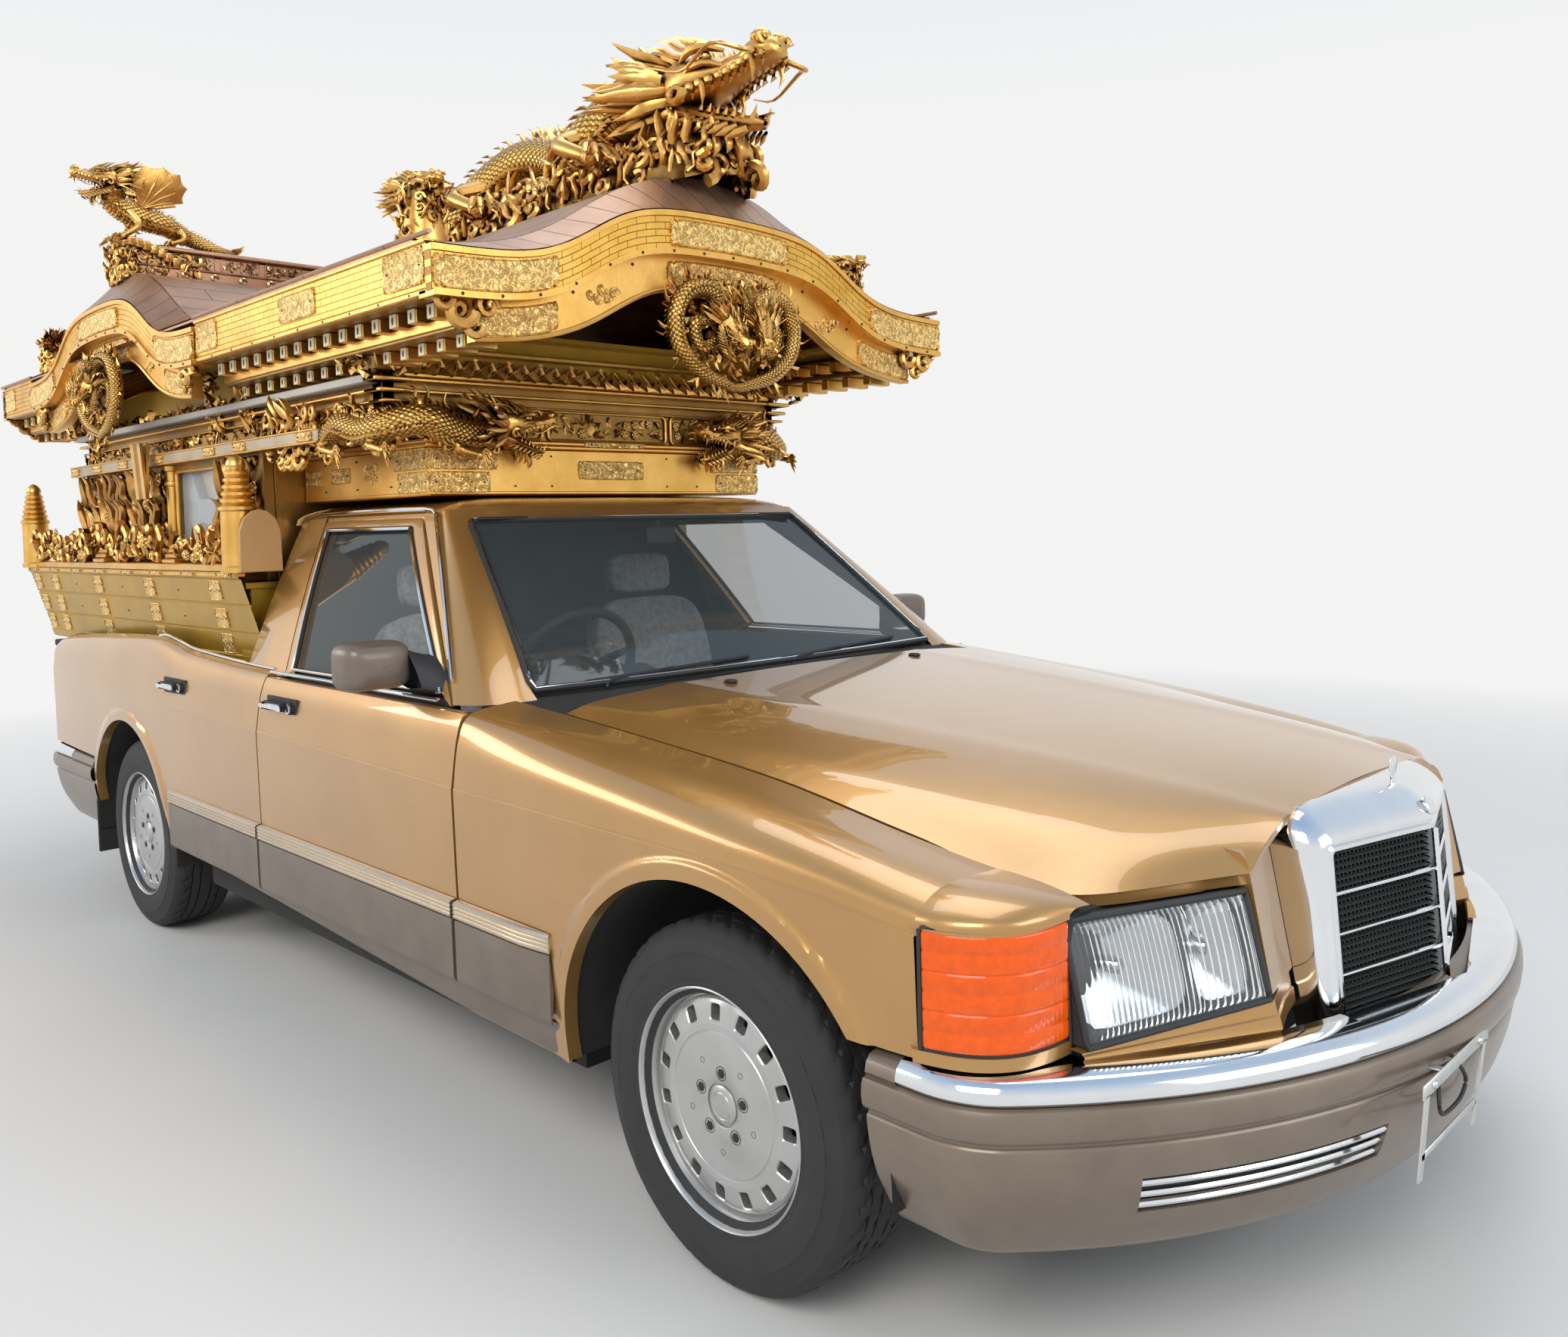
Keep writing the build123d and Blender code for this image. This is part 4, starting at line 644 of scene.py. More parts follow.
def scalloped(heap, middle, half_length, half_height, out, line, rim=4.0, thick=5.0, end_scallops=3):
    """Engraved plate that follows a line of the gable, its ends cut in scallops."""
    n = 60
    s = np.linspace(-1, 1, n)
    ends = 1 - np.abs(s)
    shape = np.where(ends < 0.16,
                     0.62 + 0.38 * np.abs(np.sin(ends / 0.16 * math.pi * 0.5 * end_scallops)) ** 0.6, 1.0)
    shape = np.where(ends < 0.02, 0.55, shape)
    ys = middle + s * half_length
    base = line(ys)
    rows, uvs = [], []
    for share, o in ((-1, out - 1), (-1, out + thick), (-0.92, out + thick + rim * 0.5),
                     (-0.86, out + thick - rim * 0.2), (0, out + thick), (0.86, out + thick - rim * 0.2),
                     (0.92, out + thick + rim * 0.5), (1, out + thick), (1, out - 1)):
        z = base + share * half_height * shape
        rows.append(np.stack([ys, z, np.full(n, o)], -1))
        uvs.append(np.stack([ys - middle, share * half_height * shape], -1))
    heap.grid(np.array(rows), uv=np.array(uvs))
    for k in (0, -1):
        column = [row[k] for row in rows]
        heap.add(column, (), [(0, i, i + 1) for i in range(1, len(column) - 1)])


def gable_dress(gold, brick, plates, dark, carved):
    """Everything on one gable, in gable space."""
    band(brick, lambda y: fascia_line(y) + 1.7, ledge_line, -GABLE_HALF, GABLE_HALF, 0.0, 28)
    band(gold, lambda y: ledge_line(y) + 3, lambda y: ledge_line(y) - 12, -866, 866, 9.0, 70)
    band(gold, lambda y: fascia_line(y) + 14, fascia_line, -GABLE_HALF, GABLE_HALF, 6.0, 40)
    band(gold, lambda y: ledge_line(y) - 8, board_line, -752, 752, -34.0, 28)
    ys = np.linspace(-752, 752, 90)
    edge = np.stack([ys, board_line(ys) + 5, np.full(90, -33.0)], -1)
    gold.tube(edge, 6.5, 8, up=(0, 0, 1))
    plates_at = [
        # middle, half length, share of the height, line
        (0, 205, 34, lambda y: (fascia_line(y) + ledge_line(y)) / 2, 1),
        (0, 190, 33, lambda y: (ledge_line(y) - 12 + board_line(y)) / 2, -34),
        (-705, 160, 37, lambda y: (fascia_line(y) + ledge_line(y)) / 2, 1),
        (705, 160, 37, lambda y: (fascia_line(y) + ledge_line(y)) / 2, 1),
        (-640, 112, 34, lambda y: (ledge_line(y) - 12 + board_line(y)) / 2, -34),
        (640, 112, 34, lambda y: (ledge_line(y) - 12 + board_line(y)) / 2, -34),
    ]
    for middle, half_length, half_height, line, out in plates_at:
        scalloped(plates, middle, half_length, half_height, out, line)
    for middle in (-395, 395):
        y0 = middle
        z0 = (ledge_line(y0) - 12 + board_line(y0)) / 2
        for dx, dz, r in ((-34, -4, 17), (34, 4, 17), (0, 12, 20), (-14, -16, 13), (16, -14, 13)):
            volute(plates, (y0 + dx, z0 + dz, -32), r, (1, 0, 0), (0, 1, 0), hand=1 if dx > 0 else -1,
                   turns=1.2, sides=6)
    for y in np.linspace(-800, 800, 17):
        dark.ball((y, ledge_line(y) - 4, 9.5), (4.2, 4.2, 2.6), rings=5, sides=8)
    for y in (-480, -300, 300, 480, -120, 120):
        dark.ball((y, ledge_line(y) - 26, -33), (4.5, 4.5, 3), rings=5, sides=8)
    for side in (-1, 1):
        for dy, dz, r, turns, hand in ((0, -4, 40, 1.7, side), (-62 * side, 10, 34, 1.6, -side),
                                       (-30 * side, -36, 27, 1.5, side), (42 * side, 20, 26, 1.4, side)):
            volute(carved, (side * 792 + dy, 1800 + dz, -14), r, (1, 0, 0), (0, 1, 0), turns, hand,
                   fat=0.40, lift=0.9)


def brick_material():
    """Gold sheet scored as five courses of narrow bricks."""
    n = Nodes("scored_gold")
    uv = n.add("ShaderNodeUVMap", uv_map="plan").outputs["UV"]
    brick = n.add("ShaderNodeTexBrick", offset=0.5)
    for key, value in (("Scale", 1.0), ("Mortar Size", 1.1), ("Mortar Smooth", 0.2), ("Brick Width", 62.0),
                       ("Row Height", 16.8)):
        brick.inputs[key].default_value = value
    n.link(uv, brick.inputs["Vector"])
    tone = n.noise(9, 5, 0.62)
    base = n.mix(n.ramp(tone, (0.3, 0.0), (0.72, 1.0)), (0.62, 0.34, 0.055), (0.84, 0.50, 0.11))
    base = n.mix(brick.outputs["Fac"], base, (0.20, 0.10, 0.02))
    height = n.sum(n.sum(brick.outputs["Fac"], -1.0, "MULTIPLY"), n.sum(n.noise(120, 3), 0.25, "MULTIPLY"))
    return n.set(base=base, metal=0.9, rough=n.sum(n.sum(tone, 0.1, "MULTIPLY"), 0.30),
                 normal=n.bump(height, 0.55, 0.0012))


BRICK = brick_material()


def engraved_material():
    """Gold plate engraved with a winding leaf pattern."""
    n = Nodes("engraved_gold")
    uv = n.add("ShaderNodeUVMap", uv_map="plan").outputs["UV"]
    warp = n.add("ShaderNodeTexNoise")
    warp.inputs["Scale"].default_value = 0.028
    warp.inputs["Detail"].default_value = 2
    n.link(uv, warp.inputs["Vector"])
    push = n.add("ShaderNodeVectorMath", operation="MULTIPLY_ADD")
    n.link(warp.outputs["Color"], push.inputs[0])
    push.inputs[1].default_value = (46, 46, 0)
    n.link(uv, push.inputs[2])
    cells = n.add("ShaderNodeTexVoronoi", feature="DISTANCE_TO_EDGE")
    cells.inputs["Scale"].default_value = 0.05
    n.link(push.outputs[0], cells.inputs["Vector"])
    leaf = n.add("ShaderNodeTexVoronoi", feature="F1")
    leaf.inputs["Scale"].default_value = 0.11
    n.link(push.outputs[0], leaf.inputs["Vector"])
    curls = n.sum(n.sum(leaf.outputs["Distance"], 22.0, "MULTIPLY"), 0.0, "SINE")
    vine = n.ramp(cells.outputs["Distance"], (0.05, 1.0), (0.16, 0.0))
    height = n.sum(n.sum(vine, 0.9, "MULTIPLY"), n.sum(curls, 0.35, "MULTIPLY"))
    shade = n.ramp(height, (0.0, 1.0), (0.55, 0.0))
    tone = n.noise(9, 5, 0.62)
    base = n.mix(n.ramp(tone, (0.3, 0.0), (0.72, 1.0)), (0.88, 0.57, 0.19), (0.96, 0.69, 0.28))
    base = n.mix(n.sum(shade, 0.7, "MULTIPLY"), base, (0.30, 0.15, 0.03))
    return n.set(base=base, metal=0.85, rough=n.sum(n.sum(tone, 0.1, "MULTIPLY"), 0.30),
                 normal=n.bump(height, 0.7, 0.0016))


ENGRAVED = engraved_material()


def plate_uv_material():
    """Copper plates in lapped courses, dull brown, with dark seams."""
    n = Nodes("copper_plates")
    uv = n.add("ShaderNodeUVMap", uv_map="plan").outputs["UV"]
    brick = n.add("ShaderNodeTexBrick", offset=0.5)
    for key, value in (("Scale", 1.0), ("Mortar Size", 2.0), ("Mortar Smooth", 0.3), ("Brick Width", 420.0),
                       ("Row Height", 92.0)):
        brick.inputs[key].default_value = value
    brick.inputs["Color1"].default_value = (0.9, 0.9, 0.9, 1)
    brick.inputs["Color2"].default_value = (0.5, 0.5, 0.5, 1)
    n.link(uv, brick.inputs["Vector"])
    stain = n.noise(5, 6, 0.65)
    streak = n.noise(10, 4, 0.6, stretch=(1, 1, 0.2))
    base = n.mix(n.ramp(stain, (0.3, 0.0), (0.7, 1.0)), (0.33, 0.185, 0.12), (0.50, 0.30, 0.19))
    base = n.mix(n.sum(n.ramp(streak, (0.45, 0.0), (0.7, 1.0)), 0.35, "MULTIPLY"), base, (0.58, 0.39, 0.25))
    base = n.mix(n.sum(brick.outputs["Color"], 0.25, "MULTIPLY"), base, (0.27, 0.16, 0.11))
    base = n.mix(brick.outputs["Fac"], base, (0.045, 0.03, 0.028))
    height = n.sum(n.sum(brick.outputs["Fac"], -1.0, "MULTIPLY"), n.sum(stain, 0.3, "MULTIPLY"))
    return n.set(base=base, metal=0.72, rough=n.sum(n.sum(stain, 0.2, "MULTIPLY"), 0.28),
                 normal=n.bump(height, 0.6, 0.002))


def slope_length(span_y):
    """Distance down the slope from the ridge, for a table of distances across."""
    fine = np.linspace(0, 900, 400)
    length = arc_length(fine, skin_line(fine))
    return np.interp(np.abs(span_y), fine, length)


def copper_sheet():
    """The two crossing barrels as one surface, lying on the frame's skin."""
    copper = Heap()
    xs = np.linspace(-942, -4309, 160)
    ys = np.linspace(-GABLE_HALF, GABLE_HALF, 84)
    gx, gy = np.meshgrid(xs, ys, indexing="ij")
    long_z = skin_line(gy)
    cross_z = np.where(np.abs(gy) <= 772, skin_line(gx - CROSS_X), 0)
    cross_z = np.where(np.abs(gx - CROSS_X) < 866, cross_z, 0)
    z = np.maximum(long_z, cross_z) + 4.0
    on_cross = cross_z > long_z
    u = np.where(on_cross, gy, gx)
    v = np.where(on_cross, slope_length(gx - CROSS_X) + 40, slope_length(gy))
    copper.grid(np.stack([gx, gy, z], -1), uv=np.stack([u, v], -1))
    across = np.linspace(-GABLE_HALF, GABLE_HALF, 120)
    for gable in GABLES:
        rows, uvs = [], []
        length = arc_length(across, skin_line(across))
        for share in np.linspace(0, 1, 9):
            z = fascia_line(across) + 14 + (skin_line(across) - fascia_line(across) - 14) * share + 3.5
            rows.append(gable(np.stack([across, z, np.full(120, 2.0 - 99 * share)], -1)))
            uvs.append(np.stack([np.full(120, 20.0 + 60 * share), length * 92 / 78 + share * 46], -1))
        copper.grid(np.array(rows), uv=np.array(uvs))
    for side in (-1, 1):
        for x0, x1 in ((-850, -2229), (-3961, -4402)):
            copper.tube([(x0, side * 866, 1957), (x1, side * 866, 1957)], 6, 8)
    copper.build("copper_plates", plate_uv_material(), slot="copper")


def dress_roof():
    """Gables and ledges of the roof, with their scored boards, plates, nails and scrolls."""
    brick, gold, plates, dark, carved = Heap(), Heap(), Heap(), Heap(), Heap()
    for gable in GABLES:
        one = [Heap() for _ in range(5)]
        gable_dress(one[0], one[1], one[2], one[3], one[4])
        for whole, part in zip((gold, brick, plates, dark, carved), one):
            whole.merge(part, gable)
    brick.build("gable_fascia", BRICK, replaces=("gable_boards",), slot="gilt")
    gold.build("gable_ledges", MATERIALS["gilt"], slot="gilt", limit=9000)
    plates.build("gable_plates", ENGRAVED, slot="gilt", limit=12000)
    dark.build("gable_nails", MATERIALS["dark_nails"], slot="gilt")
    carved.build("gable_scrolls", MATERIALS["carved_gilt"], slot="carved_gilt", limit=9000)


copper_sheet()
dress_roof()


# Carving
def unit(v):
    """The same direction with a length of one."""
    v = np.asarray(v, float)
    return v / np.linalg.norm(v)


def local(origin, ahead, up, size=1.0):
    """Moves points from a figure's own axes (ahead, left, up) to its place."""
    ahead = unit(ahead)
    up = np.asarray(up, float)
    up = unit(up - ahead * up.dot(ahead))
    left = np.cross(up, ahead)

    def move(points):
        p = np.asarray(points, float)
        return (np.asarray(origin, float) + size
                * (p[..., :1] * ahead + p[..., 1:2] * left + p[..., 2:3] * up))

    return move


def lock(heap, start, lead, bend, length, radius, flat=0.5, wave=1.0, steps=9, sides=7):
    """Flame, hair lock, fin or leaf: a flat tapering tongue that curls towards bend."""
    lead, bend = unit(lead), np.asarray(bend, float)
    t = np.linspace(0, 1, steps)[:, None]
    path = (np.asarray(start, float) + lead * length * t
            + bend * length * (0.5 * t ** 2 + 0.12 * wave * np.sin(t * math.pi * 2)))
    radii = radius * np.maximum(np.sin(math.pi * (0.22 + 0.78 * t[:, 0])), 0) ** 0.8
    radii[-1] = radius * 0.03
    heap.tube(path, radii, sides, flat=flat, up=np.cross(lead, np.cross(bend, lead) + 1e-6), caps=False)


def section_loft(heap, stations, move, sides=16, square=2.4, low_flat=1.0):
    """Closed form through oval sections: x, half width, height of the middle, half height."""
    angle = np.linspace(0, 2 * math.pi, sides, endpoint=False)
    c, s = np.cos(angle), np.sin(angle)
    c, s = np.sign(c) * np.abs(c) ** (2 / square), np.sign(s) * np.abs(s) ** (2 / square)
    rows = []
    for x, half_width, z, half_height in stations:
        up_share = np.where(s > 0, 1.0, low_flat)
        rows.append(np.stack([np.full(sides, x), c * half_width, z + s * half_height * up_share], -1))
    heap.grid(move(np.array(rows)), around=True)


def dragon_head(heap, move, mouth=26, mane=34, seed=1):
    """Horned head with open jaws; its own axes run from the neck at 0 to the nose at 1."""
    rng = np.random.default_rng(seed)
    part = Heap()

    def same(points):
        return points

    section_loft(part, [(-0.22, 0.10, 0.06, 0.12), (-0.10, 0.22, 0.08, 0.25), (0.10, 0.27, 0.10, 0.27),
                        (0.28, 0.27, 0.12, 0.22), (0.42, 0.22, 0.11, 0.17), (0.58, 0.16, 0.10, 0.12),
                        (0.74, 0.145, 0.11, 0.10), (0.86, 0.165, 0.14, 0.12), (0.97, 0.15, 0.15, 0.12),
                        (1.03, 0.08, 0.15, 0.07), (1.04, 0.01, 0.15, 0.01)], same, 20, low_flat=0.7)
    a = math.radians(mouth)

    def drop(points):
        p = np.asarray(points, float)
        x, z = p[..., 0] - 0.12, p[..., 2] + 0.06
        return np.stack([0.12 + x * math.cos(a) + z * math.sin(a), p[..., 1],
                         -0.06 - x * math.sin(a) + z * math.cos(a)], -1)

    section_loft(part, [(-0.02, 0.10, -0.08, 0.08), (0.10, 0.19, -0.10, 0.10), (0.30, 0.18, -0.11, 0.075),
                        (0.52, 0.14, -0.11, 0.06), (0.72, 0.125, -0.09, 0.06), (0.86, 0.10, -0.07, 0.055),
                        (0.93, 0.02, -0.06, 0.02)], drop, 16)
    tongue = smooth_path([(0.2, 0, -0.03), (0.5, 0, -0.01), (0.75, 0, -0.05), (0.98, 0, 0.03)], 12)
    part.tube(drop(tongue), np.linspace(0.09, 0.02, 12), 8, flat=0.3)
    for side in (-1, 1):
        def at(x, y, z):
            return np.array([x, side * y, z])

        part.ball(at(0.93, 0.075, 0.25), (0.085, 0.07, 0.07))
        volute(part, at(0.98, 0.10, 0.22), 0.075, (0, side, 0), (0, 0, 1), 1.3, side, fat=0.42, lift=0.4)
        part.ball(at(0.44, 0.185, 0.235), (0.075, 0.05, 0.06), 7, 12)
        part.ball(at(0.455, 0.222, 0.235), (0.030, 0.022, 0.026), 5, 8)
        for z, r in ((0.305, 0.045), (0.165, 0.030)):
            lid = smooth_path([at(0.60, 0.13, z - 0.05), at(0.50, 0.22, z), at(0.36, 0.25, z),
                               at(0.24, 0.24, z - 0.05)], 12)
            part.tube(lid, r * np.sin(np.linspace(0.5, 2.9, 12)), 7)
        for k, (x, z, length) in enumerate(((0.52, 0.31, 0.16), (0.42, 0.34, 0.22), (0.32, 0.34, 0.25),
                                            (0.22, 0.32, 0.26))):
            lock(part, at(x, 0.20, z), at(-0.6, 0.35, 0.55), at(-0.8, 0, 0.1), length, 0.045)
        horn = smooth_path([at(0.14, 0.12, 0.32), at(-0.05, 0.17, 0.45), at(-0.32, 0.22, 0.47),
                            at(-0.60, 0.25, 0.56)], 18)
        part.tube(horn, np.linspace(0.06, 0.012, 18) * (1 + 0.12 * np.sin(np.arange(18) * 2.1)), 8)
        lock(part, horn[8], at(-0.5, 0.1, 0.9), at(-0.3, 0, 0), 0.17, 0.035, flat=0.8)
        for k in range(3):
            lock(part, at(0.06 - 0.05 * k, 0.27, 0.16 + 0.05 * k), at(-0.7, 0.75, 0.2 + 0.2 * k),
                 at(-0.6, 0, 0.2), 0.34 - 0.05 * k, 0.07, flat=0.35)
        volute(part, at(0.20, 0.275, 0.00), 0.12, (1, 0, 0), (0, 0, 1), 1.5, side, fat=0.34, lift=0.7)
        for k, x in enumerate(np.linspace(0.34, 0.97, 9)):
            half = float(np.interp(x, (0.28, 0.42, 0.58, 0.74, 0.86, 0.97),
                                   (0.24, 0.20, 0.145, 0.13, 0.15, 0.12)))
            long = 0.16 if k in (1, 7) else 0.075
            low = float(np.interp(x, (0.28, 0.58, 0.86, 0.97), (-0.03, 0.02, 0.05, 0.06)))
            part.tube([at(x, half, low + 0.03), at(x + 0.01, half + 0.005, low - long * 0.5),
                       at(x - 0.02, half - 0.01, low - long)], (0.026, 0.018, 0.003), 6)
            part.ball(at(x - 0.02, half + 0.012, low + 0.035), (0.045, 0.028, 0.04), 5, 8)
        for k, x in enumerate(np.linspace(0.36, 0.86, 7)):
            half = float(np.interp(x, (0.30, 0.52, 0.72, 0.86), (0.16, 0.13, 0.11, 0.07)))
            long = 0.13 if k == 6 else 0.07
            part.tube(drop([at(x, half, -0.06), at(x, half, -0.06 + long)]), (0.024, 0.003), 6)
            lock(part, drop(at(x, half + 0.02, -0.13)),
                 drop(at(x - 0.3, half + 0.25, -0.45)) - drop(at(x, half, -0.13)), at(-0.4, 0, 0), 0.16,
                 0.04)
        whisker = smooth_path([at(0.92, 0.15, 0.12), at(0.98, 0.30, 0.06), at(0.80, 0.44, 0.14),
                               at(0.50, 0.46, 0.02), at(0.22, 0.52, 0.14)], 26)
        part.tube(whisker, np.linspace(0.028, 0.006, 26), 6)
    for k, x in enumerate(np.linspace(0.66, -0.12, 8)):
        height = float(np.interp(x, (-0.12, 0.1, 0.3, 0.66), (0.30, 0.36, 0.33, 0.20)))
        lock(part, (x, 0, height - 0.03), (-0.35, 0, 1), (-0.8, 0, 0), 0.15, 0.055, flat=0.35)
    for k in range(mane):
        share = (k % 17 + rng.uniform(-0.3, 0.3)) / 16
        layer = k // 17
        around = math.radians(-125 + 250 * share)
        out = np.array([0, math.sin(around), math.cos(around)])
        start = np.array([0.06 - 0.13 * layer, 0, 0.08]) + out * (0.24 - 0.02 * layer)
        lead = np.array([-1.0, 0, 0.05]) + out * rng.uniform(0.45, 0.95)
        lock(part, start, lead, out * rng.uniform(-0.5, 0.3) + (0, 0, 0.25 * rng.uniform(-1, 1)),
             rng.uniform(0.40, 0.66), rng.uniform(0.045, 0.07), wave=rng.choice((-1.2, 1.2)), steps=11)
    for k in range(7):
        y = (k - 3) * 0.05
        lock(part, drop((0.50 + 0.06 * (3 - abs(k - 3)), y, -0.15)), (0.15, y * 2, -0.8), (-0.6, 0, 0),
             rng.uniform(0.22, 0.34), 0.05)
    heap.merge(part, move)


def path_frames(path, up):
    """Directions ahead, sideways and up at each point of a path."""
    ahead = np.gradient(path, axis=0)
    ahead /= np.linalg.norm(ahead, axis=1)[:, None]
    side = np.cross(ahead, up)
    side /= np.linalg.norm(side, axis=1)[:, None] + 1e-9
    return ahead, side, np.cross(side, ahead)


def dragon_body(skin, trim, points, radii, up=(0, 0, 1), fin=1.0, belly=True, comb=True, scale=15.0,
                sides=20):
    """Scaled body along a path, with ribbed belly, dorsal flames and side combs."""
    length = np.linalg.norm(np.diff(np.asarray(points, float), axis=0), axis=1).sum()
    n = max(24, int(length / 9))
    path = smooth_path(points, n)
    r = np.interp(np.linspace(0, 1, n), np.linspace(0, 1, len(radii)), radii)
    count = max(8, round(2 * math.pi * max(radii) / scale))
    skin.tube(path, r, sides, up=up, uv=(scale, count))
    ahead, side, top = path_frames(path, up)
    along = np.concatenate([[0], np.cumsum(np.linalg.norm(np.diff(path, axis=0), axis=1))])

    def every(gap):
        return [int(np.searchsorted(along, d)) for d in np.arange(gap * 0.5, along[-1], gap)]

    mean = float(np.mean(radii))
    if fin:
        for i in every(mean * 0.42):
            lock(trim, path[i] + top[i] * r[i] * 0.85, top[i] - ahead[i] * 0.5, -ahead[i],
                 r[i] * 0.62 * fin, r[i] * 0.24, flat=0.35)
    if belly:
        for i in every(mean * 0.24):
            arc = np.radians(np.linspace(-62, 62, 7))
            points_here = (path[i] - top[i] * (np.cos(arc) * r[i] * 1.0)[:, None] + side[i]
                           * (np.sin(arc) * r[i] * 1.0)[:, None])
            trim.tube(points_here, r[i] * np.array([0.04, 0.08, 0.10, 0.11, 0.10, 0.08, 0.04]), 6,
                      up=ahead[i])
    if comb:
        for i in every(mean * 0.34):
            for hand in (-1, 1):
                lock(trim, path[i] + side[i] * hand * r[i] * 0.88 - top[i] * r[i] * 0.42,
                     side[i] * hand - top[i] * 0.6 - ahead[i] * 0.8, -ahead[i], r[i] * 0.40, r[i] * 0.15,
                     flat=0.4, steps=6, sides=6)


def dragon_leg(heap, hip, knee, ankle, radius, ahead, up=(0, 0, 1), spread=(1, 0, 0)):
    """Leg with a flaming elbow, and a foot of four clawed toes."""
    path = smooth_path([hip, knee, ankle], 16)
    heap.tube(path, np.interp(np.linspace(0, 1, 16), (0, 0.5, 1), (radius, radius * 0.72, radius * 0.5)),
              10)
    knee, ankle, ahead = np.asarray(knee, float), np.asarray(ankle, float), unit(ahead)
    for k in range(4):
        lock(heap, knee + unit(-ahead) * radius * 0.5, -ahead + np.asarray(up) * (0.5 * k - 0.6),
             np.asarray(up) * 0.5, radius * 2.4, radius * 0.4)
    heap.ball(ankle, radius * 0.75, 7, 10)
    spread = np.asarray(spread, float)
    for k, lean in enumerate((-0.9, -0.3, 0.3, 0.9)):
        way = unit(ahead + spread * lean * 0.8)
        toe = smooth_path([ankle, ankle + way * radius * 1.3 + np.asarray(up) * radius * 0.55,
                           ankle + way * radius * 2.2 - np.asarray(up) * radius * 0.35], 9)
        heap.tube(toe, np.linspace(radius * 0.42, radius * 0.24, 9), 7)
        heap.tube([toe[-1], toe[-1] + way * radius * 0.45 - np.asarray(up) * radius * 0.25,
                   toe[-1] + way * radius * 0.62 - np.asarray(up) * radius * 0.75],
                  (radius * 0.22, radius * 0.15, 0.2), 6)


def clouds(heap, spots, rng, size=(26, 60), flames=0.4):
    """Curled clouds and waves at places given as (point, outward)."""
    for point, out in spots:
        out = unit(out)
        right = np.cross((0, 0, 1), out)
        right = unit(right) if np.linalg.norm(right) > 0.2 else np.array([1.0, 0, 0])
        up = np.cross(out, right)
        turn = rng.uniform(-0.7, 0.7)
        right, up = (right * math.cos(turn) + up * math.sin(turn),
                     up * math.cos(turn) - right * math.sin(turn))
        radius = rng.uniform(*size)
        if rng.uniform() < flames:
            lock(heap, point, up + right * rng.uniform(-0.6, 0.6) + out * 0.5, right * rng.uniform(-1, 1),
                 radius * 2.3, radius * 0.36, wave=1.4, steps=10)
        else:
            volute(heap, point, radius, right, up, rng.uniform(1.2, 1.8), rng.choice((-1, 1)),
                   fat=rng.uniform(0.30, 0.42), start=rng.uniform(0, 6), lift=0.9, steps=22, sides=7)


def big_dragon(skin, trim):
    """Dragon on the front ridge: head ahead over the gable, three humps, waves below."""
    rng = np.random.default_rng(11)
    spine = [(-2440, 40, 2290), (-2370, 70, 2400), (-2260, 20, 2440), (-2160, -40, 2360),
             (-2050, -70, 2320), (-1950, -40, 2420), (-1800, 20, 2500), (-1640, 50, 2470),
             (-1530, 20, 2380), (-1440, -40, 2350), (-1330, -70, 2420), (-1230, -40, 2500),
             (-1120, 0, 2520), (-1000, 0, 2500)]
    dragon_body(skin, trim, spine, (26, 40, 52, 60, 66, 76, 88, 90, 86, 84, 88, 90, 92, 84), fin=1.15,
                scale=17, sides=24)
    dragon_head(trim, local((-1010, 0, 2470), (1, 0, 0.06), (0, 0, 1), 355), mouth=27, mane=51, seed=3)
    for x0, y0, z0, way in ((-1290, 70, 2440, 1), (-1290, -90, 2440, -1), (-1900, -70, 2420, -1),
                            (-1760, 90, 2420, 1)):
        dragon_leg(trim, (x0, y0, z0), (x0 - 40, y0 + way * 95, z0 - 40),
                   (x0 + 90, y0 + way * 90, z0 - 110), 40, (1, way * 0.25, -0.1), spread=(0, 1, 0))
    for x in (-2440, -2330):
        for k in range(5):
            lock(trim, (x, 30, 2380), (-0.8, 0.3 * (k - 2), 0.5), (0, 0, 0.4), 190, 20, wave=1.5)
    mound = []
    for x in np.linspace(-2500, -860, 60):
        half = float(np.interp(x, (-2500, -2300, -1300, -900, -860), (70, 110, 140, 130, 60)))
        high = float(np.interp(x, (-2500, -2250, -1900, -1500, -1200, -900, -860),
                               (2300, 2330, 2310, 2330, 2380, 2380, 2270)))
        arc = np.linspace(-0.1, math.pi + 0.1, 20)
        lump = 1 + 0.10 * np.sin(x * 0.045 + arc * 5) + 0.06 * np.sin(x * 0.11 - arc * 9)
        low = float(np.interp(abs(half), (0, 140), (2240, 2200)))
        mound.append(np.stack([np.full(20, x), np.cos(arc) * half * lump,
                               low + np.maximum(np.sin(arc), 0) * (high - low) * lump], -1))
    # Painted shade: the mound under the dragon takes a low shade value, so carved gilt darkens it.
    trim.grid(np.array(mound), hollow=np.full((60, 20), 0.25))
    spots = []
    for x in np.linspace(-2480, -850, 46):
        half = float(np.interp(x, (-2500, -2300, -1300, -900, -840), (75, 115, 150, 140, 80)))
        for way in (-1, 1):
            for level, share in ((2236, 1.0), (2290, 0.92), (2345, 0.66)):
                spots.append(((x + rng.uniform(-16, 16), way * half * share, level + rng.uniform(-12, 16)),
                              (0, way, 0.35)))
    for z, share in ((2262, 1.0), (2320, 0.8), (2375, 0.5)):
        for y in np.linspace(-110, 110, 6):
            spots.append(((-850 - abs(y) * 0.3, y * share, z - abs(y) * 0.35), (1, y / 200, 0.3)))
    clouds(trim, spots, rng, size=(24, 50))


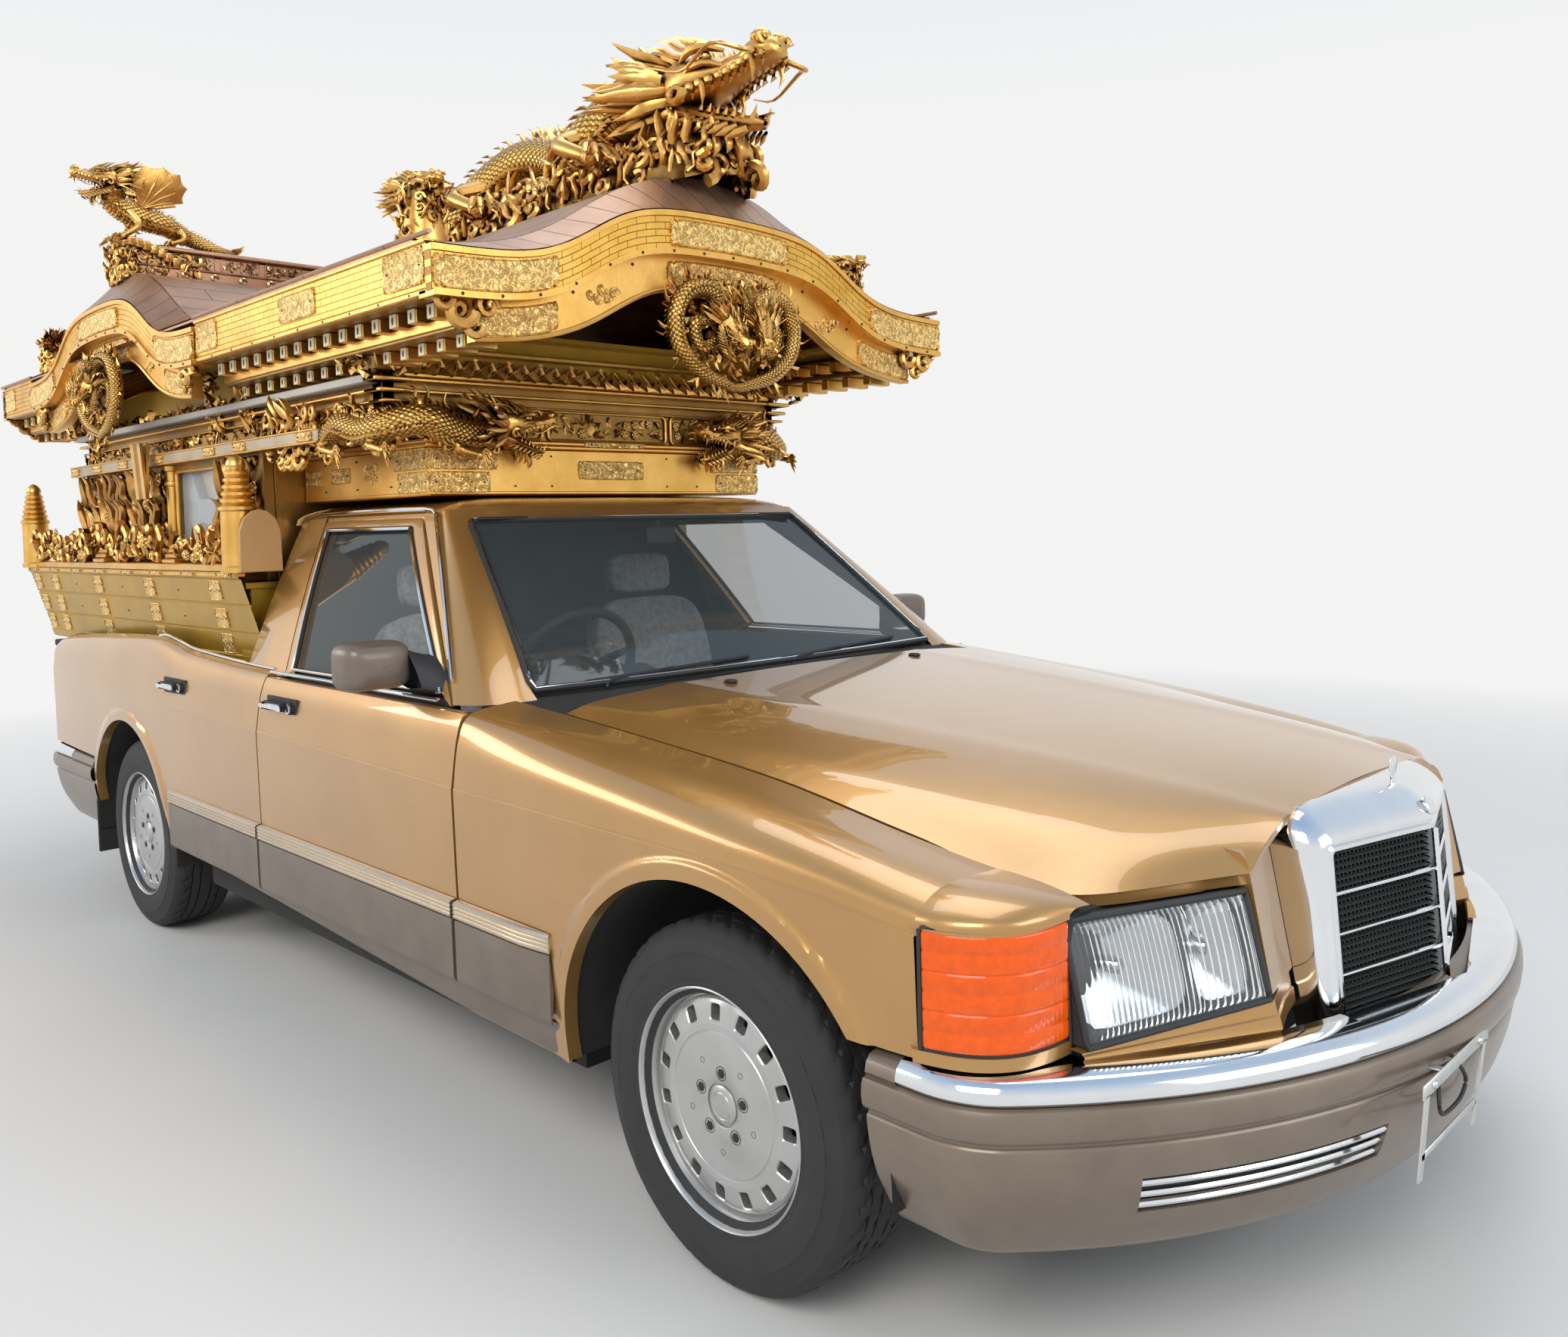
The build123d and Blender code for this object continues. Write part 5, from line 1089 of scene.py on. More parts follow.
def side_dragon(skin, trim, hand):
    """Winged dragon on an end of the cross ridge, looking outwards."""
    rng = np.random.default_rng(21)
    piece_skin, piece = Heap(), Heap()
    x = CROSS_X
    spine = [(x, -405, 2350), (x + 14, -470, 2352), (x - 12, -560, 2390), (x + 10, -640, 2420),
             (x, -720, 2440), (x - 8, -790, 2480), (x, -800, 2530)]
    dragon_body(piece_skin, piece, spine, (12, 20, 30, 38, 44, 42, 36), fin=0.9, scale=12, sides=16)
    dragon_head(piece, local((x, -790, 2548), (0, -1, 0.02), (0, 0, 1), 138), mouth=24, mane=34, seed=5)
    for way in (-1, 1):
        dragon_leg(piece, (x + way * 26, -760, 2450), (x + way * 52, -740, 2400),
                   (x + way * 44, -792, 2352), 17, (0, -1, -0.2), spread=(1, 0, 0))
        dragon_leg(piece, (x + way * 20, -600, 2410), (x + way * 46, -590, 2372),
                   (x + way * 42, -630, 2350), 13, (0, -1, -0.2), spread=(1, 0, 0))
        root = np.array([x + way * 20, -720, 2470])
        tips = [(x + way * 46, -760, 2590), (x + way * 60, -715, 2618), (x + way * 66, -655, 2622),
                (x + way * 62, -600, 2604), (x + way * 50, -575, 2560), (x + way * 34, -585, 2510)]
        ribs = np.array(tips)
        fan = smooth_path(ribs, 41)
        scallop = 1 - 0.07 * np.abs(np.sin(np.linspace(0, 5 * math.pi, 41)))
        rows = []
        for share in np.linspace(0.08, 1, 10):
            edge = root + (fan - root) * (share * (1 - (1 - scallop) * share))[:, None]
            edge[:, 0] += way * 10 * math.sin(share * math.pi)
            rows.append(edge)
        rows = np.array(rows)
        # Painted shade: the wing membranes take a middle shade value, so carved gilt darkens them.
        piece.grid(rows, hollow=np.broadcast_to(np.array(0.55), rows.shape[:2]))
        piece.grid(rows + (way * 4, 0, 0), hollow=np.broadcast_to(np.array(0.55), rows.shape[:2]))
        for tip in ribs:
            bone = smooth_path([root, (root + tip) / 2 + (way * 12, 0, 4), tip], 12)
            piece.tube(bone, np.linspace(7, 3, 12), 7)
        for share in (0.35, 0.55, 0.75):
            piece.tube(rows[int(share * 9)], 2.2, 6)
    for k in range(6):
        lock(piece, (x, -420, 2352), (0.25 * (k - 2.5), 1, 0.1 * k), (0, 0, 0.3), 60, 8, wave=1.5)
    spots = []
    for y in np.linspace(-792, -560, 9):
        for z in np.arange(2214, 2340, 26):
            for way in (-1, 1):
                if y > -650 and z > 2310:
                    continue
                spots.append(((x + way * (66 - (z - 2214) * 0.12), y + rng.uniform(-8, 8), z),
                              (way, -0.2, 0.2)))
    for dx in np.linspace(-56, 56, 5):
        for z in np.arange(2210, 2345, 27):
            spots.append(((x + dx, -808, z), (0, -1, 0.1)))
    clouds(piece, spots, rng, size=(15, 25), flames=0.3)
    for step in range(9):
        share = step / 8
        y = -770 + 190 * share
        z = 2350 - 26 * share - 66 * share ** 2
        piece.box((x - 78 + 6 * share, x + 78 - 6 * share), (y - 13, y + 13), (z - 30, z), 3)
    turn = (lambda p: p) if hand < 0 else other_side
    skin.merge(piece_skin, turn)
    trim.merge(piece, turn)


def lion_dog(trim, x, y, nose, seed):
    """Guardian on the roof corner: shaggy neck, broad muzzle, staring ahead."""
    rng = np.random.default_rng(seed)
    base = float(skin_line(y))
    section_loft(trim, [(0, 62, 0, 70), (40, 66, 0, 74), (100, 58, 0, 64), (160, 46, 0, 52),
                        (200, 30, 0, 36)],
                 lambda p: np.stack([x + p[..., 2] * 0.8, y + p[..., 1] * 0.8, base - 8 + p[..., 0]], -1),
                 16)
    top = base + 150
    dragon_head(trim, local((x - nose * 36, y, top - 10), (nose, 0, 0.10), (0, 0, 1), 118), mouth=20,
                mane=51, seed=seed)
    spots = []
    for z in np.linspace(base + 6, base + 150, 7):
        for a in np.linspace(0, 2 * math.pi, 11)[:-1]:
            spots.append(((x + 52 * math.cos(a), y + 48 * math.sin(a), z + rng.uniform(-6, 6)),
                          (math.cos(a), math.sin(a), 0.2)))
    clouds(trim, spots, rng, size=(13, 22), flames=0.45)


def scaled_material():
    """Gold carving with rows of small round scales."""
    n = Nodes("scaled_gold")
    uv = n.add("ShaderNodeUVMap", uv_map="plan").outputs["UV"]
    turn = n.add("ShaderNodeMapping")
    turn.inputs["Rotation"].default_value = (0, 0, math.radians(45))
    n.link(uv, turn.inputs["Vector"])
    cells = n.add("ShaderNodeTexVoronoi", feature="F1")
    cells.inputs["Scale"].default_value = 1.0 / math.sqrt(2) * 1.4142
    cells.inputs["Randomness"].default_value = 0.0
    n.link(turn.outputs["Vector"], cells.inputs["Vector"])
    dome = n.ramp(cells.outputs["Distance"], (0.25, 1.0), (0.62, 0.0))
    tone = n.noise(9, 5, 0.62)
    base = n.mix(n.ramp(tone, (0.3, 0.0), (0.72, 1.0)), (0.60, 0.33, 0.08), (0.88, 0.55, 0.17))
    base = n.mix(dome, (0.20, 0.10, 0.02), base)
    # Painted shade: ambient occlusion darkens the crevices between and under the scales.
    base = n.mix(painted_crevice_shade(n, 0.03), (0.10, 0.05, 0.012), base)
    return n.set(base=base, metal=0.93, rough=n.sum(n.sum(tone, 0.1, "MULTIPLY"), 0.24),
                 normal=n.bump(dome, 0.8, 0.003))


def roof_figures():
    """Dragons and lion dogs on the ridges and corners."""
    skin, trim = Heap(), Heap()
    big_dragon(skin, trim)
    for part in (skin, trim):
        lowered(part, 2260, 0.163)
    skin.build("ridge_dragon_scales", SCALED, replaces=("roof_dragons",), slot="carved_gilt")
    trim.build("ridge_dragon_carving", MATERIALS["carved_gilt"], slot="carved_gilt", limit=64000)
    skin, trim = Heap(), Heap()
    side_dragon(skin, trim, -1)
    side_dragon(skin, trim, 1)
    for part in (skin, trim):
        lowered(part, 2330, 0.066)
    skin.build("winged_dragon_scales", SCALED, slot="carved_gilt")
    trim.build("winged_dragon_carving", MATERIALS["carved_gilt"], slot="carved_gilt", limit=48000)
    trim = Heap()
    for x, nose in ((-1115, 1), (-4130, -1)):
        for y in (735, -735):
            lion_dog(trim, x, y, nose, 40 + nose)
    trim.build("lion_dogs", MATERIALS["carved_gilt"], replaces=("guardian_heads",), slot="carved_gilt",
               limit=48000)


SCALED = scaled_material()
roof_figures()

# Car body
FENDER = np.array([
    # x, sill y, sill z, low y, crease y, crease z, shoulder y, shoulder z, round y, round z, edge y, edge z
    (620, 800, 470, 868, 872, 690, 860, 722, 790, 748, 667, 748),
    (300, 848, 300, 884, 893, 742, 880, 782, 818, 808, 690, 803),
    (0, 880, 288, 900, 906, 762, 893, 815, 828, 852, 712, 862),
    (-400, 880, 285, 902, 908, 768, 895, 848, 836, 894, 733, 908),
    (-772, 880, 287, 902, 907, 771, 890, 872, 858, 925, 748, 941),
], float)
FLANK = np.array([
    (-772, 880, 287, 902, 907, 771, 890, 872, 872, 924, 850, 945),
    (-1800, 882, 330, 902, 906, 790, 890, 882, 872, 930, 848, 948),
    (-2400, 880, 350, 900, 903, 800, 890, 890, 870, 947, 842, 968),
    (-2700, 878, 355, 896, 899, 806, 886, 905, 868, 978, 838, 1000),
    (-3200, 870, 380, 888, 891, 815, 878, 905, 857, 962, 828, 985),
    (-3700, 858, 400, 872, 875, 824, 864, 900, 842, 940, 812, 955),
    (-3985, 846, 420, 858, 861, 828, 851, 892, 830, 916, 800, 926),
], float)
HOOD = np.array([
    # x, crown z, mid y, mid z, outer y, outer z, edge y, edge z
    (-600, 962, 400, 957, 650, 943, 733, 926),
    (-400, 949, 395, 944, 645, 925, 727, 908),
    (0, 918, 380, 912, 615, 886, 706, 863),
    (300, 893, 360, 886, 575, 850, 684, 804),
    (560, 868, 330, 858, 520, 818, 663, 754),
    (745, 846, 290, 832, 385, 800, 434, 768),
], float)
MOULDING_Z = 516.0
WHEEL_Z = 318.0
FRONT_ARCH, REAR_ARCH = (0.0, 400.0), (-2935.0, 392.0)
NOSE_PLAN = [(430, 888), (470, 886), (520, 868), (560, 842), (587, 806), (601, 762), (607, 712)]
BUMPER_TOP_Z = 538.0


def station(table, x):
    """Row of a station table at x."""
    return np.array([between(np.array([x]), table[:, 0], table[:, k])[0] for k in range(1, table.shape[1])])


def arch_flare(x, z, arch):
    """How far the skin stands out round a wheel arch."""
    distance = np.hypot(x - arch[0], z - WHEEL_Z) - arch[1]
    share = np.clip((40 - distance) / 12, 0, 1)
    return 8 * share * share * (3 - 2 * share)


def side_column(table, x, low_z, arch, lower=16, upper=18):
    """Section of the left side at x, from low_z up over the shoulder to the inner edge."""
    sill_y, sill_z, low_y, crease_y, crease_z, *above_crease = station(table, x)
    sh_y, sh_z, round_y, round_z, edge_y, edge_z = above_crease
    zs = low_z + (crease_z - low_z) * np.linspace(0, 1, lower) ** 0.9
    ys = between(zs, (sill_z - 60, sill_z, MOULDING_Z, crease_z), (sill_y - 12, sill_y, low_y, crease_y))
    if arch:
        ys = ys + arch_flare(x, zs, arch)
    over = smooth_path([(crease_y - 2.2, crease_z + 2.5), (crease_y - 2.8, crease_z + 12), (sh_y, sh_z),
                        (round_y, round_z), (edge_y, edge_z)], upper)
    column = np.concatenate([np.stack([ys, zs], -1), over])
    return np.stack([np.full(len(column), x), column[:, 0], column[:, 1]], -1)


def arch_bottom(x, arch, sill):
    """Lower edge of the skin: the sill, or the arch where it is higher."""
    inside = arch[1] ** 2 - (x - arch[0]) ** 2
    return np.maximum(sill, WHEEL_Z + np.sqrt(max(inside, 0)) if inside > 0 else sill)


def arch_columns(arch, x0, x1, step=28.0):
    """Column places, close together where the arch stands upright."""
    angle = np.linspace(0, math.pi, 49)
    places = [arch[0] + arch[1] * math.cos(a) for a in angle]
    places += list(np.arange(min(x0, x1), max(x0, x1), step)) + [x0, x1, arch[0] - arch[1] - 0.5,
            arch[0] + arch[1] + 0.5]
    low, high = min(x0, x1), max(x0, x1)
    return np.array(sorted({round(p, 2) for p in places if low <= p <= high}, reverse=True))


def returned(column, depth=24.0, way=(0, -1, 0)):
    """Edge turned inwards from a row of points."""
    return [column, np.asarray(column) + np.asarray(way, float) * 3,
            np.asarray(column) + np.asarray(way, float) * depth]


def arch_return(heap, table, arch, start_deg, end_deg):
    """Rolled lip round a wheel opening, from the front to the rear."""
    angle = np.radians(np.linspace(start_deg, end_deg, 60))
    edge = []
    for a in angle:
        x, z = arch[0] + arch[1] * math.cos(a), WHEEL_Z + arch[1] * math.sin(a)
        edge.append(side_column(table, x, z, arch, 4, 4)[0])
    edge = np.array(edge)
    heap.grid(np.array([edge, edge - (0, 6, 0), edge - (0, 30, 0)]))


def liner(heap, arch, y_outer, y_inner, front_deg=0.0, rear_deg=180.0, inside=True):
    """Lining of a wheel arch."""
    angle = np.radians(np.linspace(front_deg, rear_deg, 50))
    ring = np.stack([arch[0] + (arch[1] + 4) * np.cos(angle), np.full(50, y_outer),
                     WHEEL_Z + (arch[1] + 4) * np.sin(angle)], -1)
    wall = ring.copy()
    wall[:, 1] = y_inner
    centre = wall.copy()
    centre[:, 0] = arch[0] + (centre[:, 0] - arch[0]) * 0.3
    centre[:, 2] = WHEEL_Z + (centre[:, 2] - WHEEL_Z) * 0.3
    heap.grid(np.array([ring, wall] + ([centre] if inside else [])))


def fender_panel(heap):
    """Front fender from the door gap to the nose."""
    xs = arch_columns(FRONT_ARCH, -769, 456)
    columns = []
    for x in xs:
        row = station(FENDER, x)
        low = arch_bottom(x, FRONT_ARCH, row[1] if x < 0 else BUMPER_TOP_Z + 3)
        column = side_column(FENDER, x, low, FRONT_ARCH)
        if x > 400:
            column[:, 1] *= 1 - 0.004 * ((x - 400) / 56) ** 2
        columns.append(column)
    rows = np.array(columns).transpose(1, 0, 2)
    heap.grid(rows)
    heap.grid(np.array(returned(rows[:, -1], 22)))
    inner = rows[-1]
    heap.grid(np.array([inner, inner - (0, 2, 8), inner - (0, 2, 30)]))
    arch_return(heap, FENDER, FRONT_ARCH, 34, 184)
    plan = smooth_path([(456, 887, 0)] + [(x, y, 0) for x, y in NOSE_PLAN[2:]], 26)
    last = columns[0]
    edge_x = np.interp(np.linspace(0, 1, 26), (0, 1), (456, 613))
    edge_y = np.interp(edge_x, (456, 560, 620), (station(FENDER, 456)[9], 672, 667))
    edge_z = np.interp(edge_x, (456, 620), (station(FENDER, 456)[10], 748))
    cap = []
    crest = last[-18:]
    for k in range(26):
        outer = np.array([plan[k, 0], plan[k, 1], 737.0])
        inner = np.array([edge_x[k], edge_y[k], edge_z[k]])
        start = crest[0]
        line = []
        for point in crest:
            share_y = (point[1] - crest[-1][1]) / (start[1] - crest[-1][1])
            share_z = (point[2] - start[2]) / (crest[-1][2] - start[2])
            line.append([inner[0] + (outer[0] - inner[0]) * share_y,
                         inner[1] + (outer[1] - inner[1]) * share_y,
                         outer[2] + (inner[2] - outer[2]) * share_z])
        fade = k / 25
        line = np.array(line)
        base = crest.copy()
        base[:, 0] = line[:, 0]
        side_low = np.array([[line[0, 0], line[0, 1], 737.0]])
        blend_line = (line * fade + np.stack([line[:, 0], np.minimum(crest[:, 1], line[:, 1] + 0 * fade),
                                              crest[:, 2]], -1) * (1 - fade))
        cap.append(np.concatenate([side_low, blend_line]))
    heap.grid(np.array(cap))
    band = []
    for x, y, _ in plan:
        band.append([(x, y, 541.0), (x, y, 560.0), (x - 10, y - 8, 561.0)])
    heap.grid(np.array(band))


def lamp_x(y, z):
    """Front face of the lamps, which lean back and sweep outwards."""
    return 1150.7 - 0.56 * y - 0.22 * z


def under_lamp(heap):
    """Painted strip with a ledge below the lamps."""
    ys = np.linspace(718, 431, 12)

    def row(rise, proud):
        line = [(lamp_x(y, 541 + rise(y)) + proud, y, 541 + rise(y)) for y in ys]
        return (line + [(771 - rise(400) * 0.2 + proud, 370, 541 + rise(400)),
                        (758 - rise(400) * 0.2 + proud, 308, 541 + rise(400))])

    def full_rise(y):
        return 8 + (711 - y) / 270 * 32

    low = row(lambda y: 0.0, 3)
    step = row(lambda y: full_rise(y) * 0.45, 3)
    ledge = row(lambda y: full_rise(y) * 0.45 + 2, 0)
    top = row(full_rise, 0)
    back = [(x - 22, y, z + 1) for x, y, z in top]
    heap.grid(np.array([[(x - 18, y, z - 22) for x, y, z in low], low, step, ledge, top, back]))


def hood_surface(x, share, lift=0.0):
    """Point of the hood at x, at a share of its half width from -1 to 1."""
    crown_z, mid_y, mid_z, outer_y, outer_z, edge_y, edge_z = station(HOOD, x)
    y = share * edge_y
    z = between(y, (-edge_y, -outer_y, -mid_y, 0, mid_y, outer_y, edge_y),
                (edge_z, outer_z, mid_z, crown_z, mid_z, outer_z, edge_z))
    return np.stack([np.full(len(y), float(x)), y, z + lift], -1)


def hood_panel():
    """Hood skin with its folded edge."""
    heap = Heap()
    shares = np.sin(np.linspace(-1, 1, 61) * math.pi / 2)
    xs = np.concatenate([np.linspace(-600, 520, 46), np.linspace(540, 745, 22)])
    rows = np.array([hood_surface(x, shares) for x in xs])
    crest = np.exp(-((np.abs(rows[:, :, 1]) - np.interp(rows[:, :, 0], (-600, 745), (430, 300))) / 26) ** 2)
    rows[:, :, 2] += crest * 2.5
    heap.grid(rows)
    around = np.concatenate([rows[:, 0], rows[-1, 1:], rows[::-1, -1][1:], rows[0, ::-1][1:]])
    inward = np.stack([np.where(around[:, 0] > 700, -4, np.where(around[:, 0] < -590, 4, 0)),
                       -np.sign(around[:, 1]) * 3, np.full(len(around), -4)], -1)
    heap.grid(np.array([around, around + inward, around + inward * (1.2, 1.2, 1) - (0, 0, 14)]))
    under = rows[::3, ::3].copy()
    under[:, :, 1] *= 0.975
    under[:, :, 2] -= 18
    lower = Heap()
    lower.grid(under)
    for side in (-1, 1):
        fall = []
        for y in np.linspace(301.5, 431, 9):
            x0 = np.interp(y, (301, 430), (752, 778))
            line = []
            for z in np.linspace(590, 775, 12):
                line.append((x0 + (590 - z) * 0.193, side * y, z))
            line += [(x0 + (590 - 788) * 0.193 - 3, side * y, 788), (x0 - 50, side * y, 797),
                     (x0 - 75, side * y, 800)]
            fall.append(line)
        fall = np.array(fall)
        heap.grid(fall)
        for k in (0, -1):
            heap.grid(np.array([fall[k], fall[k] - (26, 0, 0)]))
    heap.build("hood_skin", MATERIALS["body_paint"], "hood", sharp=50, replaces=("hood",),
               slot="body_paint")
    for side in (-1, 1):
        for k in range(7):
            x = -480 + 170 * k
            lower.box((x, x + 70), (side * 120, side * 380),
                      (hood_surface(x, np.array([0.3]))[0, 2] - 42,
                       hood_surface(x, np.array([0.3]))[0, 2] - 20), 5)
        lower.box((-603, -560), (side * 592, side * 608), (892, 925), 2)
    lower.build("hood_inner", MATERIALS["underseal"], "hood", slot="body_paint")


def front_body():
    """Fenders, nose panels and the inside of the engine bay."""
    heap = Heap()
    fender_panel(heap)
    under_lamp(heap)
    both(heap).build("front_skin", MATERIALS["body_paint"], sharp=32, replaces=("front_body",),
                     slot="body_paint")
    inner = Heap()
    liner(inner, FRONT_ARCH, 878, 480, -4, 184)
    inner.box((-768, 560), (474, 488), (545, 735), 3)
    inner.box((430, 590), (488, 706), (700, 712), 3)
    inner.box((590, 604), (430, 716), (560, 740), 3)
    whole = both(inner)
    whole.box((598, 640), (-480, 480), (380, 420), 4)
    whole.box((598, 640), (-480, 480), (690, 735), 4)
    whole.box((598, 640), (-480, -300), (420, 690), 4)
    whole.box((598, 640), (300, 480), (420, 690), 4)
    whole.box((606, 616), (-300, 300), (420, 690), 2)
    for k in range(30):
        z = 425 + 9 * k
        whole.box((616, 622), (-296, 296), (z, z + 3), 0.6)
    whole.box((-768, -616), (-742, 742), (862, 900), 4)
    whole.box((-700, -670), (-800, 800), (420, 868), 4)
    ys = np.linspace(-748, 748, 40)
    front = np.interp(np.abs(ys), (0, 400, 748), (-722, -736, -768))
    whole.grid(np.array([np.stack([front - 20, ys, np.full(40, 940.0)], -1),
                         np.stack([front + 16, ys, np.full(40, 936.0)], -1),
                         np.stack([front + 110, ys * 0.985, np.full(40, 903.0)], -1)]))
    whole.build("front_inner", MATERIALS["underseal"], slot="underseal")


def flank_panel(x0, x1, bottom, arch=None):
    """Columns of the rear side panel, cut round its arch."""
    xs = arch_columns(arch, x0, x1) if arch else np.linspace(x0, x1, 40)
    columns = []
    for x in xs:
        low = arch_bottom(x, arch, bottom(x)) if arch else bottom(x)
        columns.append(side_column(FLANK, x, low, arch))
    return np.array(columns).transpose(1, 0, 2)


def rear_body():
    """Rear side panels and tail, with the deck inside them."""
    heap = Heap()
    rows = flank_panel(-1806, -3325, lambda x: station(FLANK, x)[1], REAR_ARCH)
    heap.grid(rows)
    heap.grid(np.array(returned(rows[:, 0], 22)))
    arch_return(heap, FLANK, REAR_ARCH, 4, 171)
    ends = smooth_path([(-3325, 0, 0), (-3600, 0, 0), (-3800, 0, 0), (-3860, 0, 0)], 16)[:, 0]
    tail = []
    for x in ends:
        tail.append(side_column(FLANK, x, BUMPER_TOP_Z + 4, None))
    corner = smooth_path([(-3860, 842, 0), (-3925, 790, 0), (-3972, 700, 0), (-3990, 560, 0),
                          (-3995, 300, 0), (-3995, 0, 0)], 30)
    last = tail[-1]
    for x, y, _ in corner[1:]:
        column = last.copy()
        drop = 842 - y
        column[:, 0] = x + (np.clip(842 - last[:, 1], 0, 60)) * (1 if drop > 100 else drop / 100)
        column[:, 1] = np.minimum(last[:, 1], y + (last[:, 1] - 842) * max(0, 1 - drop / 60))
        if drop > 140:
            column[:, 2] = np.minimum(column[:, 2], 928)
        tail.append(column)
    heap.grid(np.array(tail).transpose(1, 0, 2))
    both(heap).build("rear_skin", MATERIALS["body_paint"], sharp=32, replaces=("rear_body",),
                     slot="body_paint")
    inner = Heap()
    liner(inner, REAR_ARCH, 880, 566, -6, 186)
    inner.box((-3900, -3330), (560, 580), (455, 905), 4)
    inner.box((-2540, -2450), (800, 850), (360, 905), 4)
    whole = both(inner)
    whole.box((-3960, -2012), (-832, 832), (904, 928), 3)
    whole.box((-3970, -3940), (-790, 790), (540, 905), 3)
    whole.build("rear_inner", MATERIALS["underseal"], slot="underseal")


DOOR_FRONT, DOOR_REAR = -778.0, -1800.0
BELT_Z = 942
GLASSHOUSE_HEIGHT = 430


def cab_point(y_or_x, z, side_face, inset=0.0):
    """Outer face of the glasshouse: windscreen face by (y, z), side face by (x, z)."""
    t = (z - BELT_Z) / GLASSHOUSE_HEIGHT
    bulge = 7 * math.sin(math.pi * min(max(t, 0), 1))
    if side_face:
        y = 846 + (612 - 846) * t
        return np.array([y_or_x, y + bulge - inset, z])
    y = abs(y_or_x)
    mid, corner = 400 + (316.6 - 400) * t, 748 + (592 - 748) * t
    x0, x1, x2 = -722 - 504 * t, -736 - 504 * t, -768 - 494 * t
    x = float(between(np.array([y]), (-mid, 0, mid, corner), (x1, x0, x1, x2))[0])
    return np.array([x + bulge - inset, y_or_x, z])


WINDSCREEN = ((962, 694), (1338, 578))


def windscreen_edge(z):
    """Half width of the windscreen at height z."""
    return np.interp(z, (WINDSCREEN[0][0], WINDSCREEN[1][0]), (WINDSCREEN[0][1], WINDSCREEN[1][1]))


FRAME_FRONT = ((930, -858), (1354, -1376))
FRAME_REAR = ((950, -1738), (1354, -1932))


def cab(inset, heap):
    """Pillars, roof and rear wall of the cab, all moved inwards by inset."""
    zs = np.concatenate([np.linspace(936, 1338, 26), [1352, 1362, 1368]])
    pillar = []
    for z in zs:
        y0 = windscreen_edge(min(z, 1338)) + 4 + inset * 0.3
        a = cab_point(y0, z, False, inset)
        t = (z - BELT_Z) / GLASSHOUSE_HEIGHT
        corner_y = 748 + (592 - 748) * t
        corner = cab_point(corner_y, z, False, inset)
        x_frame = np.interp(z, (930, 1354), (FRAME_FRONT[0][1], FRAME_FRONT[1][1])) + 8
        side_y = 846 + (612 - 846) * t
        ring_x = -850 - 462 * t
        b = np.array([ring_x, side_y - inset, z])
        c = np.array([x_frame, side_y - inset, z])
        if c[0] > ring_x:
            c[0] = ring_x + min(c[0] - ring_x, 6)
        corner_mid = (corner + b) / 2 + np.array([14.0, 12.0, 0]) * (1 if inset == 0 else 0.6)
        pillar.append(smooth_path([a, corner, corner_mid, b, c], 22))
    heap.grid(np.array(pillar))
    rear = []
    for z in zs:
        t = (z - BELT_Z) / GLASSHOUSE_HEIGHT
        side_y = 846 + (612 - 846) * t - inset
        x0 = np.interp(z, (950, 1354), (FRAME_REAR[0][1], FRAME_REAR[1][1])) - 8
        x1 = -2010 - 102 * t
        bulge = 7 * math.sin(math.pi * min(max(t, 0), 1))
        rear.append([(x0, side_y + bulge, z), ((x0 + x1) / 2, side_y + bulge, z),
                     (x1 + 14, side_y + bulge - 1, z), (x1 + 4, side_y - 5, z),
                     (x1 + inset, side_y - 16, z), (x1 + inset, side_y * 0.5, z), (x1 + inset, 0, z)])
    heap.grid(np.array(rear))
    loops = []
    for t, z in ((0.0, 1344), (0.05, 1362), (0.10, 1372), (0.17, 1382), (0.26, 1391), (0.40, 1400),
                 (0.62, 1407), (0.85, 1410), (1.0, 1411)):
        z -= inset
        s = max(0.0, (t - 0.05)) * 1.0
        base = smooth_path([(-1226, 0, 0), (-1240, 316, 0), (-1256, 560, 0), (-1276, 600, 0),
                            (-1318, 614, 0), (-1500, 616, 0), (-1800, 614, 0), (-2090, 612, 0),
                            (-2112, 600, 0), (-2112, 300, 0), (-2112, 0, 0)], 60)
        centre = np.array([-1670.0, 0, 0])
        grow = {0.0: 1.012, 0.05: 1.004}.get(t, 1 - 0.9 * s ** 1.3)
        ring = centre + (base - centre) * (grow, grow, 1)
        if inset:
            ring = centre + (ring - centre) * (0.955, 0.955, 1)
        ring[:, 2] = z
        loops.append(ring)
    heap.grid(np.array(loops))


